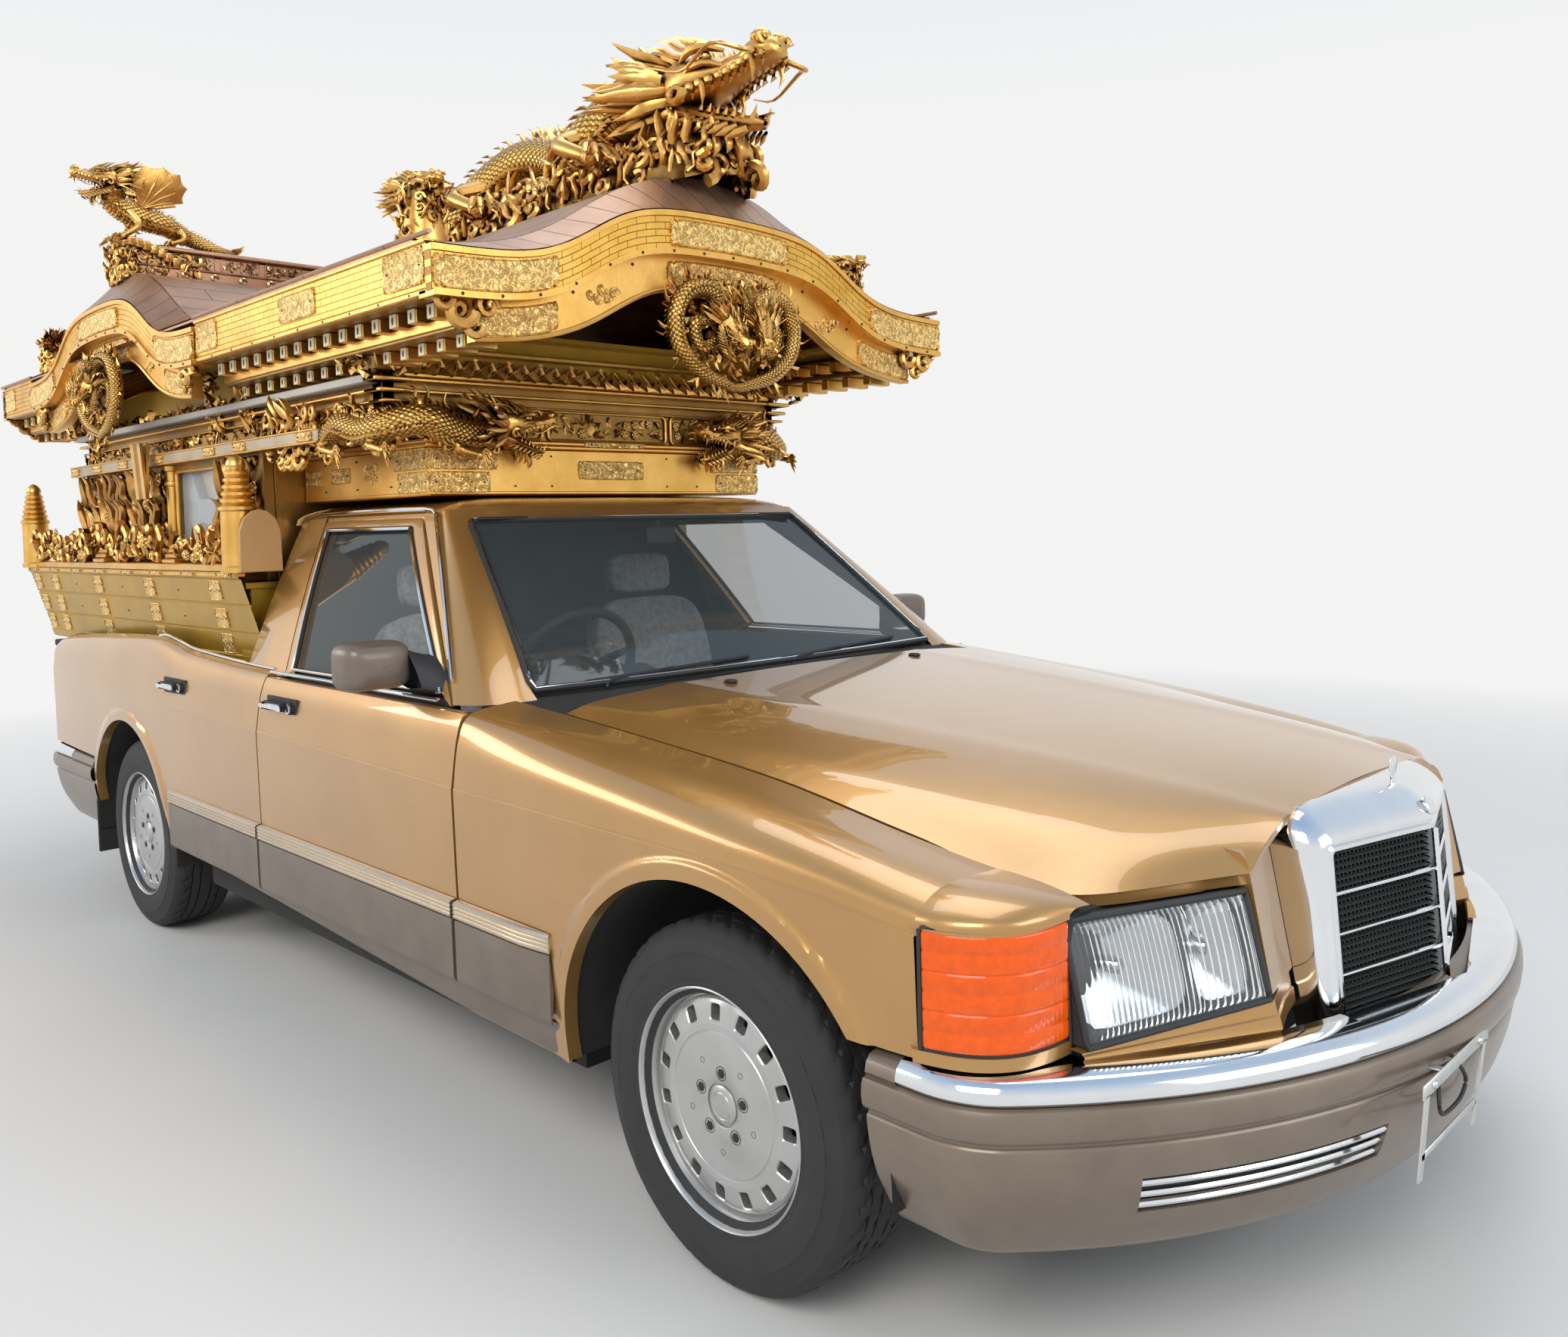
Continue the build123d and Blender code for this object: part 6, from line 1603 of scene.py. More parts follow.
def cab_top():
    """Cab roof and pillars with lining, windscreen, seals and gutters."""
    heap = Heap()
    cab(0.0, heap)
    head = []
    for z, out in ((1340, 0), (1352, 1), (1366, 0)):
        head.append([cab_point(y, z, False, -out) for y in np.linspace(0, 590, 24)])
    heap.grid(np.array(head))
    both(heap).build("cab_skin", MATERIALS["body_paint"], sharp=40, replaces=("cab_top",),
                     slot="body_paint")
    lining = Heap()
    cab(26.0, lining)
    both(lining).build("cab_lining", MATERIALS["interior_trim"], sharp=40, slot="interior_trim")
    pane = []
    for z in np.linspace(954, 1344, 24):
        edge = windscreen_edge(z) + 4
        pane.append([cab_point(y, z, False, 3.0) for y in np.linspace(-edge, edge, 41)])
    glass_heap = Heap()
    glass_heap.grid(np.array(pane))
    glass_heap.build("windscreen_glass", MATERIALS["glass"], replaces=("windshield",), slot="glass")
    seal, chrome = Heap(), Heap()
    outline = [cab_point(y, 956, False, -1) for y in np.linspace(-690, 690, 30)]
    outline += [cab_point(windscreen_edge(z), z, False, -1) for z in np.linspace(975, 1325, 20)]
    outline += [cab_point(y, 1340, False, -1) for y in np.linspace(570, -570, 30)]
    outline += [cab_point(-windscreen_edge(z), z, False, -1) for z in np.linspace(1325, 975, 20)]
    outline = np.array(outline)
    seal.tube(outline, 9, 8, closed=True)
    chrome.tube(outline + (1.5, 0, 4), 5, 8, closed=True)
    for side in (-1, 1):
        drip = []
        for share in np.linspace(0, 1, 30):
            z = 985 + (1362 - 985) * share
            t = (z - BELT_Z) / GLASSHOUSE_HEIGHT
            drip.append((-846 - 468 * t + 4, side * (848 + (614 - 848) * t + 7), z))
        drip = smooth_path(drip + [(-1360, side * 622, 1374), (-1600, side * 624, 1376),
                                   (-1900, side * 622, 1374), (-2060, side * 620, 1368),
                                   (-2106, side * 618, 1350)], 70)
        chrome.tube(drip, 5.5, 8)
    seal.build("windscreen_seal", MATERIALS["interior_trim"], slot="interior_trim")
    chrome.build("cab_chrome", MATERIALS["chrome_trim"], slot="chrome_trim")
    inside = Heap()
    inside.box((-1176, -1160), (-50, 50), (1262, 1318), 8)
    inside.tube([(-1172, 0, 1300), (-1190, 0, 1346)], 5, 6)
    inside.box((-1250, -1200), (-560, -90), (1340, 1350), 4)
    inside.box((-1250, -1200), (90, 560), (1340, 1350), 4)
    inside.build("cab_mirror", MATERIALS["interior_trim"], slot="interior_trim")


PANE_TOP_Z = 1326
PANE_FOOT_Z = 958


def door_panel(heap):
    """Pressed skin of a door up to the belt, with its edges turned in."""
    rows = flank_panel(DOOR_FRONT, DOOR_REAR, lambda x: 358.0)[:-4]
    heap.grid(rows)
    for edge in (rows[:, 0], rows[:, -1], rows[0]):
        heap.grid(np.array(returned(edge, 40)))
    top = rows[-1]
    heap.grid(np.array([top, top + (0, -4, 2), top + (0, -20, 2), top + (0, -30, -12)]))


def window_lines():
    """Outer line of a door's window frame, and the line of the opening inside it."""
    front_z = np.linspace(932, 1348, 20)
    outer = [cab_point(np.interp(z, (930, 1354), (-858, -1376)), z, True, -1.5) for z in front_z]
    outer += [cab_point(x, 1352, True, -1.5) for x in np.linspace(-1384, -1922, 16)]
    outer += [cab_point(np.interp(z, (950, 1354), (-1738, -1932)), z, True, -1.5)
              for z in np.linspace(1346, 936, 20)]
    opening = []
    for z in front_z:
        x = np.interp(z, (962, PANE_TOP_Z), (-918, -1402)) - (4 if z < PANE_TOP_Z else 0)
        opening.append(cab_point(x, min(max(z, PANE_FOOT_Z), PANE_TOP_Z), True, -1.5))
    opening += [cab_point(x, PANE_TOP_Z, True, -1.5) for x in np.linspace(-1408, -1878, 16)]
    for z in np.linspace(PANE_TOP_Z, 936, 20):
        x = np.interp(z, (962, PANE_TOP_Z), (-1694, -1884))
        opening.append(cab_point(x, min(max(z, PANE_FOOT_Z), PANE_TOP_Z), True, -1.5))
    return np.array(outer), np.array(opening)


def door_fittings(chrome, dark, inner, window):
    """Bright and dark strips round a window, the belt strips, lining, arm rest and handle."""
    chrome.tube(window[1:-1] + (0, 4, 0), 5, 8)
    belt = np.array([(x, float(station(FLANK, x)[7]) - 8, 938.5 + (x + 778) * -0.003)
                     for x in np.linspace(-900, -1790, 30)])
    chrome.tube(belt + (0, -2, 6), 6, 8, flat=0.8)
    foot = [cab_point(x, PANE_FOOT_Z, True, -4) for x in np.linspace(-920, -1692, 20)]
    chrome.tube(np.array(foot), 5, 8)
    dark.tube(window[1:-1] + (0, 1, 0), 7, 6)
    inner.box((-1790, -800), (818, 846), (364, 915), 12)
    inner.box((-1500, -1000), (770, 822), (640, 700), 18)
    inner.box((-1730, -905), (800, 836), (905, 944), 6)
    handle(dark, chrome, -1655, 868, float(side_y(FLANK, -1655, 868)))


def door_pane():
    """Rows of points over the glass of a door."""
    rows = []
    for share in np.linspace(0, 1, 12):
        z = 950 + (1332 - 950) * share
        front_x = np.interp(z, (962, PANE_TOP_Z), (-914, -1398))
        rear_x = np.interp(z, (962, PANE_TOP_Z), (-1698, -1888))
        rows.append([cab_point(x, z, True, 8) for x in np.linspace(front_x, rear_x, 16)])
    return np.array(rows)


def door(side):
    """One front door with its frame, glass, handle and lining."""
    name = "left" if side > 0 else "right"
    body = f"door_{name}"
    turn = (lambda p: p) if side > 0 else other_side
    skin, chrome, dark, inner, pane = Heap(), Heap(), Heap(), Heap(), Heap()
    door_panel(skin)
    frame_line, window = window_lines()
    skin.grid(np.array([frame_line - (0, 26, 0), frame_line, frame_line * 0.5 + window * 0.5 + (0, 2, 0),
                        window, window - (0, 26, 0)]))
    door_fittings(chrome, dark, inner, window)
    for slot, part, label, stands_for in (("body_paint", skin, "skin", (body,)),
                                          ("chrome_trim", chrome, "chrome", ()),
                                          ("interior_trim", dark, "trim", ()),
                                          ("interior_trim", inner, "lining", ())):
        whole = Heap()
        whole.merge(part, turn)
        sharp = 40 if label == "skin" else 38
        whole.build(f"door_{label}_{name}", MATERIALS[slot], body, sharp, replaces=stands_for, slot=slot)
    pane.grid(turn(door_pane()))
    pane.build(f"side_glass_{name}", MATERIALS["glass"], body, replaces=(f"door_glass_{name}",),
               slot="glass")


def side_y(table, x, z):
    """Outer face of a body side at x and z."""
    column = side_column(table, x, 400, None, 30, 30)
    return np.interp(z, column[:, 2], column[:, 1])


def handle(dark, chrome, x, z, y):
    """Pull handle in its dish, chrome bar on black."""
    dark.box((x - 92, x + 92), (y - 4, y + 2.5), (z - 24, z + 24), 2)
    dark.box((x - 84, x + 40), (y + 2, y + 26), (z - 10, z + 12), 6)
    chrome.box((x - 84, x + 44), (y + 20, y + 30), (z - 8, z + 10), 4)
    dark.turned([(0, 2), (16, 2), (16, 12), (0, 14)], (x + 64, y, z), (0, 1, 0), 24)
    chrome.turned([(9, 10), (13, 12.5), (13, 15), (9, 15)], (x + 64, y, z), (0, 1, 0), 24)


def sill_covers():
    """Dull cladding under the planks, from wheel to wheel."""
    heap = Heap()
    for table, x0, x1 in ((FENDER, -402, -772), (FLANK, -772, -2538)):
        rows = []
        for x in np.linspace(x0, x1, 24):
            row = station(table, x)
            sill_z = float(row[1])
            rows.append([(x, row[0] - 14, sill_z - 3), (x, row[0] - 1, sill_z - 2),
                         (x, row[0] + 3, sill_z + 8), (x, row[0] + 9, 330 if sill_z < 315 else sill_z + 8),
                         (x, row[0] + 14, 358)])
        heap.grid(np.array(rows))
    both(heap).build("sill_covers", MATERIALS["cladding"], slot="cladding")
    chrome = Heap()
    belt = []
    for x in np.linspace(-1812, -2700, 40):
        row = station(FLANK, x)
        belt.append((x, row[9] - 6, row[10] + 3))
    belt += [(-2730, 836, 1000), (-2742, 834, 992)]
    chrome.tube(np.array(belt), 5.5, 8)
    both(chrome).build("quarter_chrome", MATERIALS["chrome_trim"], slot="chrome_trim")
    dark, bar = Heap(), Heap()
    x, z = -2440, 862
    handle(dark, bar, x, z, float(side_y(FLANK, x, z)))
    both(dark).build("quarter_handle_base", MATERIALS["interior_trim"], slot="interior_trim")
    both(bar).build("quarter_handle", MATERIALS["chrome_trim"], slot="chrome_trim")
    flap = Heap()
    for side in (-1, 1):
        flap.box((-3348, -3338), (side * 700, side * 880), (190, 430), 3)
    flap.build("mud_flaps", MATERIALS["tyre_rubber"], slot="tyre_rubber")
    fittings = Heap()
    for side in (-1, 1):
        fittings.box((-540, -510), (side * 330 - 12, side * 330 + 12), (952, 961), 4)
    fittings.build("washer_nozzles", MATERIALS["interior_trim"], "hood", slot="interior_trim")
    wipers = Heap()
    for y0, y1 in ((-560, -60), (40, 540)):
        blade = [cab_point(y, 962 + 14 * (y - y0) / (y1 - y0), False, -7) for y in np.linspace(y0, y1, 14)]
        wipers.tube(np.array(blade), 5, 6)
        arm = [(-742, y0 + 40, 946), tuple(cab_point(y0 + 70, 962, False, -14)),
               tuple(cab_point((y0 + y1) / 2, 972, False, -12))]
        wipers.tube(smooth_path(arm, 14), 4, 6)
    wipers.build("wipers", MATERIALS["interior_trim"], slot="interior_trim")


front_body()
hood_panel()
rear_body()
sill_covers()
cab_top()
door(1)
door(-1)

# Grille, lamps and bumpers
def grille_x(y, z):
    """Front face of the grille."""
    return 866 - 0.26 * np.abs(y) + 0.0778 * (771 - z)


def frame_loop(half, low, high, corner, low_corner=6.0):
    """Outline in (y, z) with 104 points: up the left side, over the top and down, then along the bottom."""
    arc = np.radians(np.linspace(180, 90, 9))
    side = [(-half, z) for z in np.linspace(low + low_corner, high - corner, 17)]
    left = [(-half + corner + corner * math.cos(a), high - corner + corner * math.sin(a)) for a in arc]
    top = [(y, high) for y in np.linspace(-half + corner, half - corner, 27)[1:-1]]
    up = side + left + top
    down = [(-y, z) for y, z in reversed(side + left)]
    base = [(y, low) for y in np.linspace(half - low_corner, -half + low_corner, 27)]
    return np.array(up + down + base)


OPENING_HALF = 256
OPENING_Z = 514
OPENING_HEIGHT = 257


def grille_surround(shell):
    """Rounded bright surround: rings of half width, foot, head, corner and set-back at foot and head."""
    loops = []
    for half, low, high, corner, pull, pull_top in ((256, 514, 771, 6, 36, 36), (256, 514, 771, 6, 3, 3),
                                                    (258, 511, 774, 8, -1, -1),
                                                    (263, 506, 780, 10, -2, -1), (266, 503, 783, 12, 2, 3),
                                                    (269, 500, 786, 13, 2, 3), (272, 497, 789, 15, -4, -3),
                                                    (280, 490, 797, 22, -6, -1),
                                                    (290, 484, 808, 32, -3, 8), (297, 481, 820, 42, 4, 22),
                                                    (300, 480, 830, 50, 14, 38),
                                                    (300, 480, 836, 54, 30, 56)):
        loop = frame_loop(half, low, high, corner)
        share = np.clip((loop[:, 1] - 700) / (high - 700), 0, 1)
        bend = pull + (pull_top - pull) * share
        crown = 6 * np.clip((loop[:, 1] - 760) / 70, 0, 1) * (1 - (loop[:, 0] / half) ** 2)
        loops.append(np.stack([grille_x(loop[:, 0], loop[:, 1]) - bend, loop[:, 0], loop[:, 1] + crown],
                              -1))
    back = loops[-1].copy()
    back[:, 0] = np.where(back[:, 2] > 800, 742, 760 - (back[:, 2] - 480) * 0.17)
    loops.append(back)
    shell.grid(np.array(loops), around=True)


def grille_bars(shell):
    """Upright middle bar and three cross bars."""
    centre = np.array([(grille_x(0, z) + 1, 0, z) for z in np.linspace(511, 774, 12)])
    shell.tube(centre, 5.5, 8, flat=1.0, up=(0, 1, 0))
    for side in (-1, 1):
        for row in (1, 2, 3):
            z = OPENING_Z + OPENING_HEIGHT * row / 4
            line = [(grille_x(y, z) - 3, side * y, z) for y in np.linspace(0, OPENING_HALF, 14)]
            shell.tube(np.array(line), 3.6, 8)


def grille_ornament(shell):
    """Plain round cap on the surround, and a plain disc on a stem above it."""
    shell.turned([(0, 4), (13, 3.5), (16, 2), (17, 0)], (grille_x(0, 806) - 6, 0, 812), (0.86, 0, 0.5), 32)
    shell.tube([(800, 0, 838), (800, 0, 856)], (5, 4), 10)
    shell.turned([(0, 2.4), (14, 2.2), (17.5, 0), (14, -2.2), (0, -2.4)], (800, 0, 872), (1, 0, 0), 28)


def grille_mesh(bars, side):
    """Dark blades, upright wires and back plate in one half of the opening."""
    for number in range(24):
        z = OPENING_Z + OPENING_HEIGHT * (number + 0.5) / 24
        if abs((z - OPENING_Z) / OPENING_HEIGHT * 4 % 1) < 0.03:
            continue
        blade = []
        for y in np.linspace(4, OPENING_HALF, 10):
            x = grille_x(y, z)
            blade.append([(x - 13, side * y, z - 1.6), (x - 10, side * y, z), (x - 13, side * y, z + 1.6),
                          (x - 32, side * y, z + 3.2), (x - 32, side * y, z - 1.0)])
        bars.grid(np.array(blade), around=True)
    for number in range(1, 26):
        y = OPENING_HALF * number / 26
        path = np.array([(grille_x(y, z) - 20, side * y, z) for z in (515, 643, 770)])
        bars.tube(path, 1.7, 5, up=(0, 1, 0))
    back = [[(grille_x(y, z) - 40, side * y, z) for y in np.linspace(0, 262, 6)] for z in (508, 776)]
    bars.grid(np.array(back))


def grille():
    """The grille with its plain ornament, which opens with the hood."""
    shell, bars = Heap(), Heap()
    grille_surround(shell)
    grille_bars(shell)
    grille_ornament(shell)
    shell.build("grille_chrome", MATERIALS["chrome_trim"], "hood", sharp=44, replaces=("grille_shell",),
                slot="chrome_trim")
    for side in (-1, 1):
        grille_mesh(bars, side)
    bars.build("grille_mesh", MATERIALS["grille_dark"], "hood", replaces=("grille_bars",),
               slot="grille_dark")


grille()


def lens_patch(outline, u, v):
    """Point of a four-cornered outline at shares u and v; corners go round from inner low."""
    a, b, c, d = (np.array(p, float) for p in outline)
    return a * (1 - u) * (1 - v) + b * u * (1 - v) + c * u * v + d * (1 - u) * v


HEADLAMP = [(442, 588), (707, 557), (708, 727), (445, 739)]


LAMP_SPLIT = 0.36


def lamp_point(u, v, back=0.0, corners=HEADLAMP):
    """Point of the lamp face at shares u and v, moved back."""
    y, z = lens_patch(corners, u, v)
    return (lamp_x(y, z) + back, y, z)


def lamp_cover():
    """Rows of points over the fluted cover, with a seam between its two lenses."""
    rows = []
    for v in np.linspace(0, 1, 15):
        row = []
        for u in np.linspace(0, 1, 200):
            y, z = lens_patch(HEADLAMP, u, v)
            flute = 1.9 * abs(math.sin(math.pi * (y - 440) / (8.0 if u > LAMP_SPLIT else 11.0)))
            edge = min(1, 12 * min(u, 1 - u, v, 1 - v))
            seam = 2.0 if abs(u - LAMP_SPLIT) < 0.006 else 0
            out = (flute + 3.2) * edge ** 0.5
            row.append((lamp_x(y, z) + 1 + out - seam + 4 * math.sin(math.pi * v) * edge, y, z))
        rows.append(row)
    return np.array(rows)


def lamp_bowl(bowl, u0, u1, depth):
    """Hollow reflector between shares u0 and u1, with its bulb."""
    rows = []
    for r in np.linspace(0, 1, 10):
        ring = []
        for a in np.linspace(0, 2 * math.pi, 36, endpoint=False):
            cu, cv = math.cos(a), math.sin(a)
            grow = (abs(cu) ** 5 + abs(cv) ** 5) ** (-1 / 5)
            mix = 1 * (1 - r) + grow * r
            uu = (u0 + u1) / 2 + (u1 - u0) / 2 * cu * mix * r
            vv = 0.5 + 0.45 * cv * mix * r
            y, z = lens_patch(HEADLAMP, uu, vv)
            ring.append((lamp_x(y, z) - 10 - depth * (1 - r * r), y, z))
        rows.append(ring)
    bowl.grid(np.array(rows), around=True)
    bulb = lamp_point((u0 + u1) / 2, 0.5, -34)
    bowl.turned([(0, 16), (11, 14), (13, 4), (13, -14)], bulb, (1, 0, 0), 20)


def lamp_bezel(dark):
    """Dark frame behind the cover: foot, head and the bar between the reflectors."""
    back = [[lamp_point(u, v, -9) for u in (0, 0.33, 0.335, 0.385, 0.39, 1)] for v in (0, 0.04, 0.96, 1)]
    dark.grid(np.array(back[:2]))
    dark.grid(np.array(back[2:]))
    dark.grid(np.array([row[2:4] for row in back]))


def lamp_rim(rim):
    """Rubber rim round the cover, and the sill below it."""
    border = []
    for (u0, v0), (u1, v1) in (((0, 0), (1, 0)), ((1, 0), (1, 1)), ((1, 1), (0, 1)), ((0, 1), (0, 0))):
        for t in np.linspace(0, 1, 14, endpoint=False):
            border.append(lamp_point(u0 + (u1 - u0) * t, v0 + (v1 - v0) * t, 1,
                                     [(439, 585), (709.5, 554), (710.5, 730), (442, 743)]))
    border = np.array(border)
    rim.tube(border, 5.5, 8, closed=True)
    rim.grid(np.array([border, border - (24, 0, 0)]), around=True)
    low = [(x, y, z - 4) for x, y, z in (lamp_point(u, 0, -2) for u in np.linspace(0, 1, 12))]
    rim.grid(np.array([low, [(lamp_x(y, 553) - 3, y, 553.0) for _, y, _ in low]]))


def headlamps():
    """Fluted covers, reflectors and rims of the headlamps."""
    lens, bowl, rim = Heap(), Heap(), Heap()
    lens.grid(lamp_cover())
    lamp_bowl(bowl, 0.03, 0.335, 44)
    lamp_bowl(bowl, 0.385, 0.97, 52)
    lamp_rim(rim)
    lamp_bezel(rim)
    both(lens).build("headlamp_lens", MATERIALS["lamp_glass"], sharp=70, replaces=("headlamps",),
                     slot="lamp_glass")
    both(bowl).build("headlamp_bowl", MATERIALS["lamp_bowl"], slot="chrome_trim")
    both(rim).build("headlamp_rim", MATERIALS["interior_trim"], slot="interior_trim")


headlamps()


def indicators():
    """Amber corner lamps with their rims."""
    lens = Heap()
    plan = smooth_path([(607, 713.5, 0), (602, 762, 0), (588, 806, 0), (561, 842, 0), (521, 868, 0),
                        (471, 885.5, 0)], 90)[:, :2]
    inward = np.stack([-np.gradient(plan[:, 1]), np.gradient(plan[:, 0])], -1)
    inward /= np.linalg.norm(inward, axis=1)[:, None]
    if inward[0][0] > 0:
        inward = -inward
    zs = np.linspace(564, 735, 70)
    rows = []
    for z in zs:
        band = (z - 564) / 171 * 6
        groove = 2.4 * math.exp(-((band - round(band)) / 0.07) ** 2) if 0.5 < band < 5.5 else 0
        edge = 5 * max(0, 1 - min(z - 564, 735 - z) / 6) ** 2
        row = []
        for k, (x, y) in enumerate(plan):
            flute = 0.7 * abs(math.sin(k * 0.9))
            end = 4 * max(0, 1 - min(k, 89 - k) / 3) ** 2
            shift = inward[k] * (groove + edge + flute + end - 1.5)
            row.append((x + shift[0], y + shift[1], z))
        rows.append(row)
    lens.grid(np.array(rows))
    both(lens).build("indicator_lens", MATERIALS["amber_lens"], sharp=60, replaces=("indicators",),
                     slot="amber_lens", limit=7000)
    rim = Heap()
    back = plan + inward * 7
    for z in (563.0, 736.0):
        rim.tube(np.column_stack([back, np.full(90, z)]), 4.5, 6)
    rim.grid(np.array([np.column_stack([back, np.full(90, 561.0)]),
                       np.column_stack([back, np.full(90, 738.0)])]))
    rim.tube([(469, 884, 563), (469, 884, 736)], 3.5, 6, up=(0, 1, 0))
    rim.tube([(606, 712, 560), (600, 712, 738)], 3.5, 6, up=(0, 1, 0))
    both(rim).build("indicator_rim", MATERIALS["interior_trim"], slot="interior_trim")


indicators()


def bumper_plan(nose_x, plan_radius, side_y, corner_radius, start_x):
    """Places and outward directions of the bumper's plan, from the right end to the left end."""
    centre_x = nose_x - plan_radius
    corner_y = side_y - corner_radius
    corner_x = centre_x + math.sqrt((plan_radius - corner_radius) ** 2 - corner_y ** 2)
    turn = math.atan2(corner_y, corner_x - centre_x)
    points, ways = [], []
    for x in np.linspace(start_x, corner_x, 8)[:-1]:
        points.append((x, -side_y))
        ways.append((0, -1))
    for a in np.linspace(-math.pi / 2, -turn, 18)[:-1]:
        points.append((corner_x + corner_radius * math.cos(a), -corner_y + corner_radius * math.sin(a)))
        ways.append((math.cos(a), math.sin(a)))
    for a in np.linspace(-turn, turn, 91):
        points.append((centre_x + plan_radius * math.cos(a), plan_radius * math.sin(a)))
        ways.append((math.cos(a), math.sin(a)))
    for x, y in reversed(points[:24]):
        points.append((x, -y))
    for a, b in reversed(ways[:24]):
        ways.append((a, -b))
    return np.array(points), np.array(ways)


def swept(plan, ways, section, turn_round=False, room=None):
    """Surface from a section carried along a bumper line."""
    rows = []
    for out, z in section:
        p = plan + ways * out
        if room is not None and out < -20:
            p[:, 0] = np.where(np.abs(plan[:, 1]) < 312, np.maximum(p[:, 0], room(np.abs(plan[:, 1]))),
                               p[:, 0])
            p[:, 1] = np.where(np.abs(plan[:, 1]) < 312, plan[:, 1], p[:, 1])
        rows.append(np.column_stack([p * (-1 if turn_round else 1), np.full(len(p), float(z))]))
    return np.array(rows)


CHROME_SECTION = [(-78, 533), (-74, 537.5), (-36, 538.5), (-22, 537.5), (-10, 534), (-2, 527), (3, 517),
                  (4, 508), (1, 503), (-6, 501)]
SKIN_SECTION = [(-8, 500), (1, 500.5), (8, 498), (12, 490), (13, 474), (11, 460), (7, 453), (1, 449.5),
                (-3, 447), (-3, 443), (1, 440), (2, 436), (0, 420), (-4, 396)]
LOWER_SECTION = [(-30, 322), (-44, 296), (-60, 268), (-70, 256), (-82, 250), (-92, 248), (-96, 258),
                 (-72, 276), (-34, 352)]
VENT_SECTION = [(-4, 396), (-7, 382), (-13, 362), (-20, 342), (-30, 322)]


END_COLUMNS = 4


def bumper_skin(skin, plan, ways, rear):
    """Painted part of a bumper apart from its vented middle band."""
    body = slice(END_COLUMNS, len(plan) - END_COLUMNS)
    skin.grid(swept(plan, ways, SKIN_SECTION, rear))
    cap = [(-78, 530), (-70, 533), (-30, 534), (-8, 529), (0, 520), (4, 506), (1, 500.5)]
    for part in (slice(0, END_COLUMNS + 1), slice(len(plan) - END_COLUMNS - 1, len(plan))):
        skin.grid(swept(plan[part], ways[part], cap, rear))
    inner = [(-6, 501), (-26, 505), (-60, 528), (-78, 528)]
    skin.grid(swept(plan[body], ways[body], inner, rear))
    skin.grid(swept(plan, ways, LOWER_SECTION, rear))


def bumper_cap(chrome, plan, ways, rear, room):
    """Chrome cap along the top of a bumper, closed at both ends."""
    body = slice(END_COLUMNS, len(plan) - END_COLUMNS)
    chrome.grid(swept(plan[body], ways[body], CHROME_SECTION, rear, room))
    for end in (END_COLUMNS, len(plan) - END_COLUMNS - 1):
        rows = swept(plan[end:end + 1], ways[end:end + 1], CHROME_SECTION, rear)[:, 0]
        chrome.add(rows, (), [(i, i + 1, 0) for i in range(1, len(rows) - 1)])


def vent(skin, slats, chrome, plan, ways):
    """One vent: its lips, dark back, closed ends and three bright blades."""
    skin.grid(swept(plan, ways, [(-4, 396), (-5.5, 389), (-30, 389)]))
    skin.grid(swept(plan, ways, [(-44, 329), (-27, 329), (-30, 322)]))
    slats.grid(swept(plan, ways, [(-30, 389), (-44, 329)]))
    for end in (0, len(plan) - 1):
        rows = swept(plan[end:end + 1], ways[end:end + 1], VENT_SECTION)[:, 0]
        deep = swept(plan[end:end + 1], ways[end:end + 1], [(o - 28, z) for o, z in VENT_SECTION])[:, 0]
        skin.grid(np.array([rows, deep]))
    for z in (379, 359, 339):
        out = -9 - (385 - z) * 0.42
        blade = [(out - 4, z - 5), (out + 1, z - 4), (out + 3, z), (out + 1, z + 4), (out - 4, z + 5)]
        chrome.grid(swept(plan, ways, blade))


def vented_band(skin, slats, chrome, plan, ways):
    """Middle band of the front bumper, opened for a vent on each side."""
    y = plan[:, 1]
    hole = (np.abs(y) > 318) & (np.abs(y) < 702) & (plan[:, 0] > 560)
    edges = np.flatnonzero(np.diff(hole.astype(int)))
    cuts = [0] + [e + 1 for e in edges] + [len(plan)]
    for a, b in zip(cuts, cuts[1:]):
        if hole[a]:
            part = slice(max(a - 1, 0), min(b + 1, len(plan)))
            vent(skin, slats, chrome, plan[part], ways[part])
        else:
            skin.grid(swept(plan[a:b], ways[a:b], VENT_SECTION))


def bumpers():
    """Front and rear bumpers: chrome cap, painted skin and vents."""
    for name, node, nose in (("front", "front_bumper", (948, 1180, 893, 170, 372)),
                             ("rear", "rear_bumper", (4060, 2300, 886, 150, 3333))):
        plan, ways = bumper_plan(*nose)
        rear = name == "rear"
        room = None if rear else (lambda y: 835 + 81.6 * (1 - y / 314))
        chrome, skin, slats = Heap(), Heap(), Heap()
        bumper_cap(chrome, plan, ways, rear, room)
        bumper_skin(skin, plan, ways, rear)
        if rear:
            skin.grid(swept(plan, ways, VENT_SECTION, True))
        else:
            vented_band(skin, slats, chrome, plan, ways)
        chrome.build(f"{name}_bumper_chrome", MATERIALS["chrome_trim"], sharp=50, slot="chrome_trim")
        skin.build(f"{name}_bumper_skin", MATERIALS["bumper_paint"], sharp=42, replaces=(node,),
                   slot="bumper_paint")
        if not rear:
            slats.build("bumper_vents", MATERIALS["grille_dark"], slot="grille_dark")


bumpers()


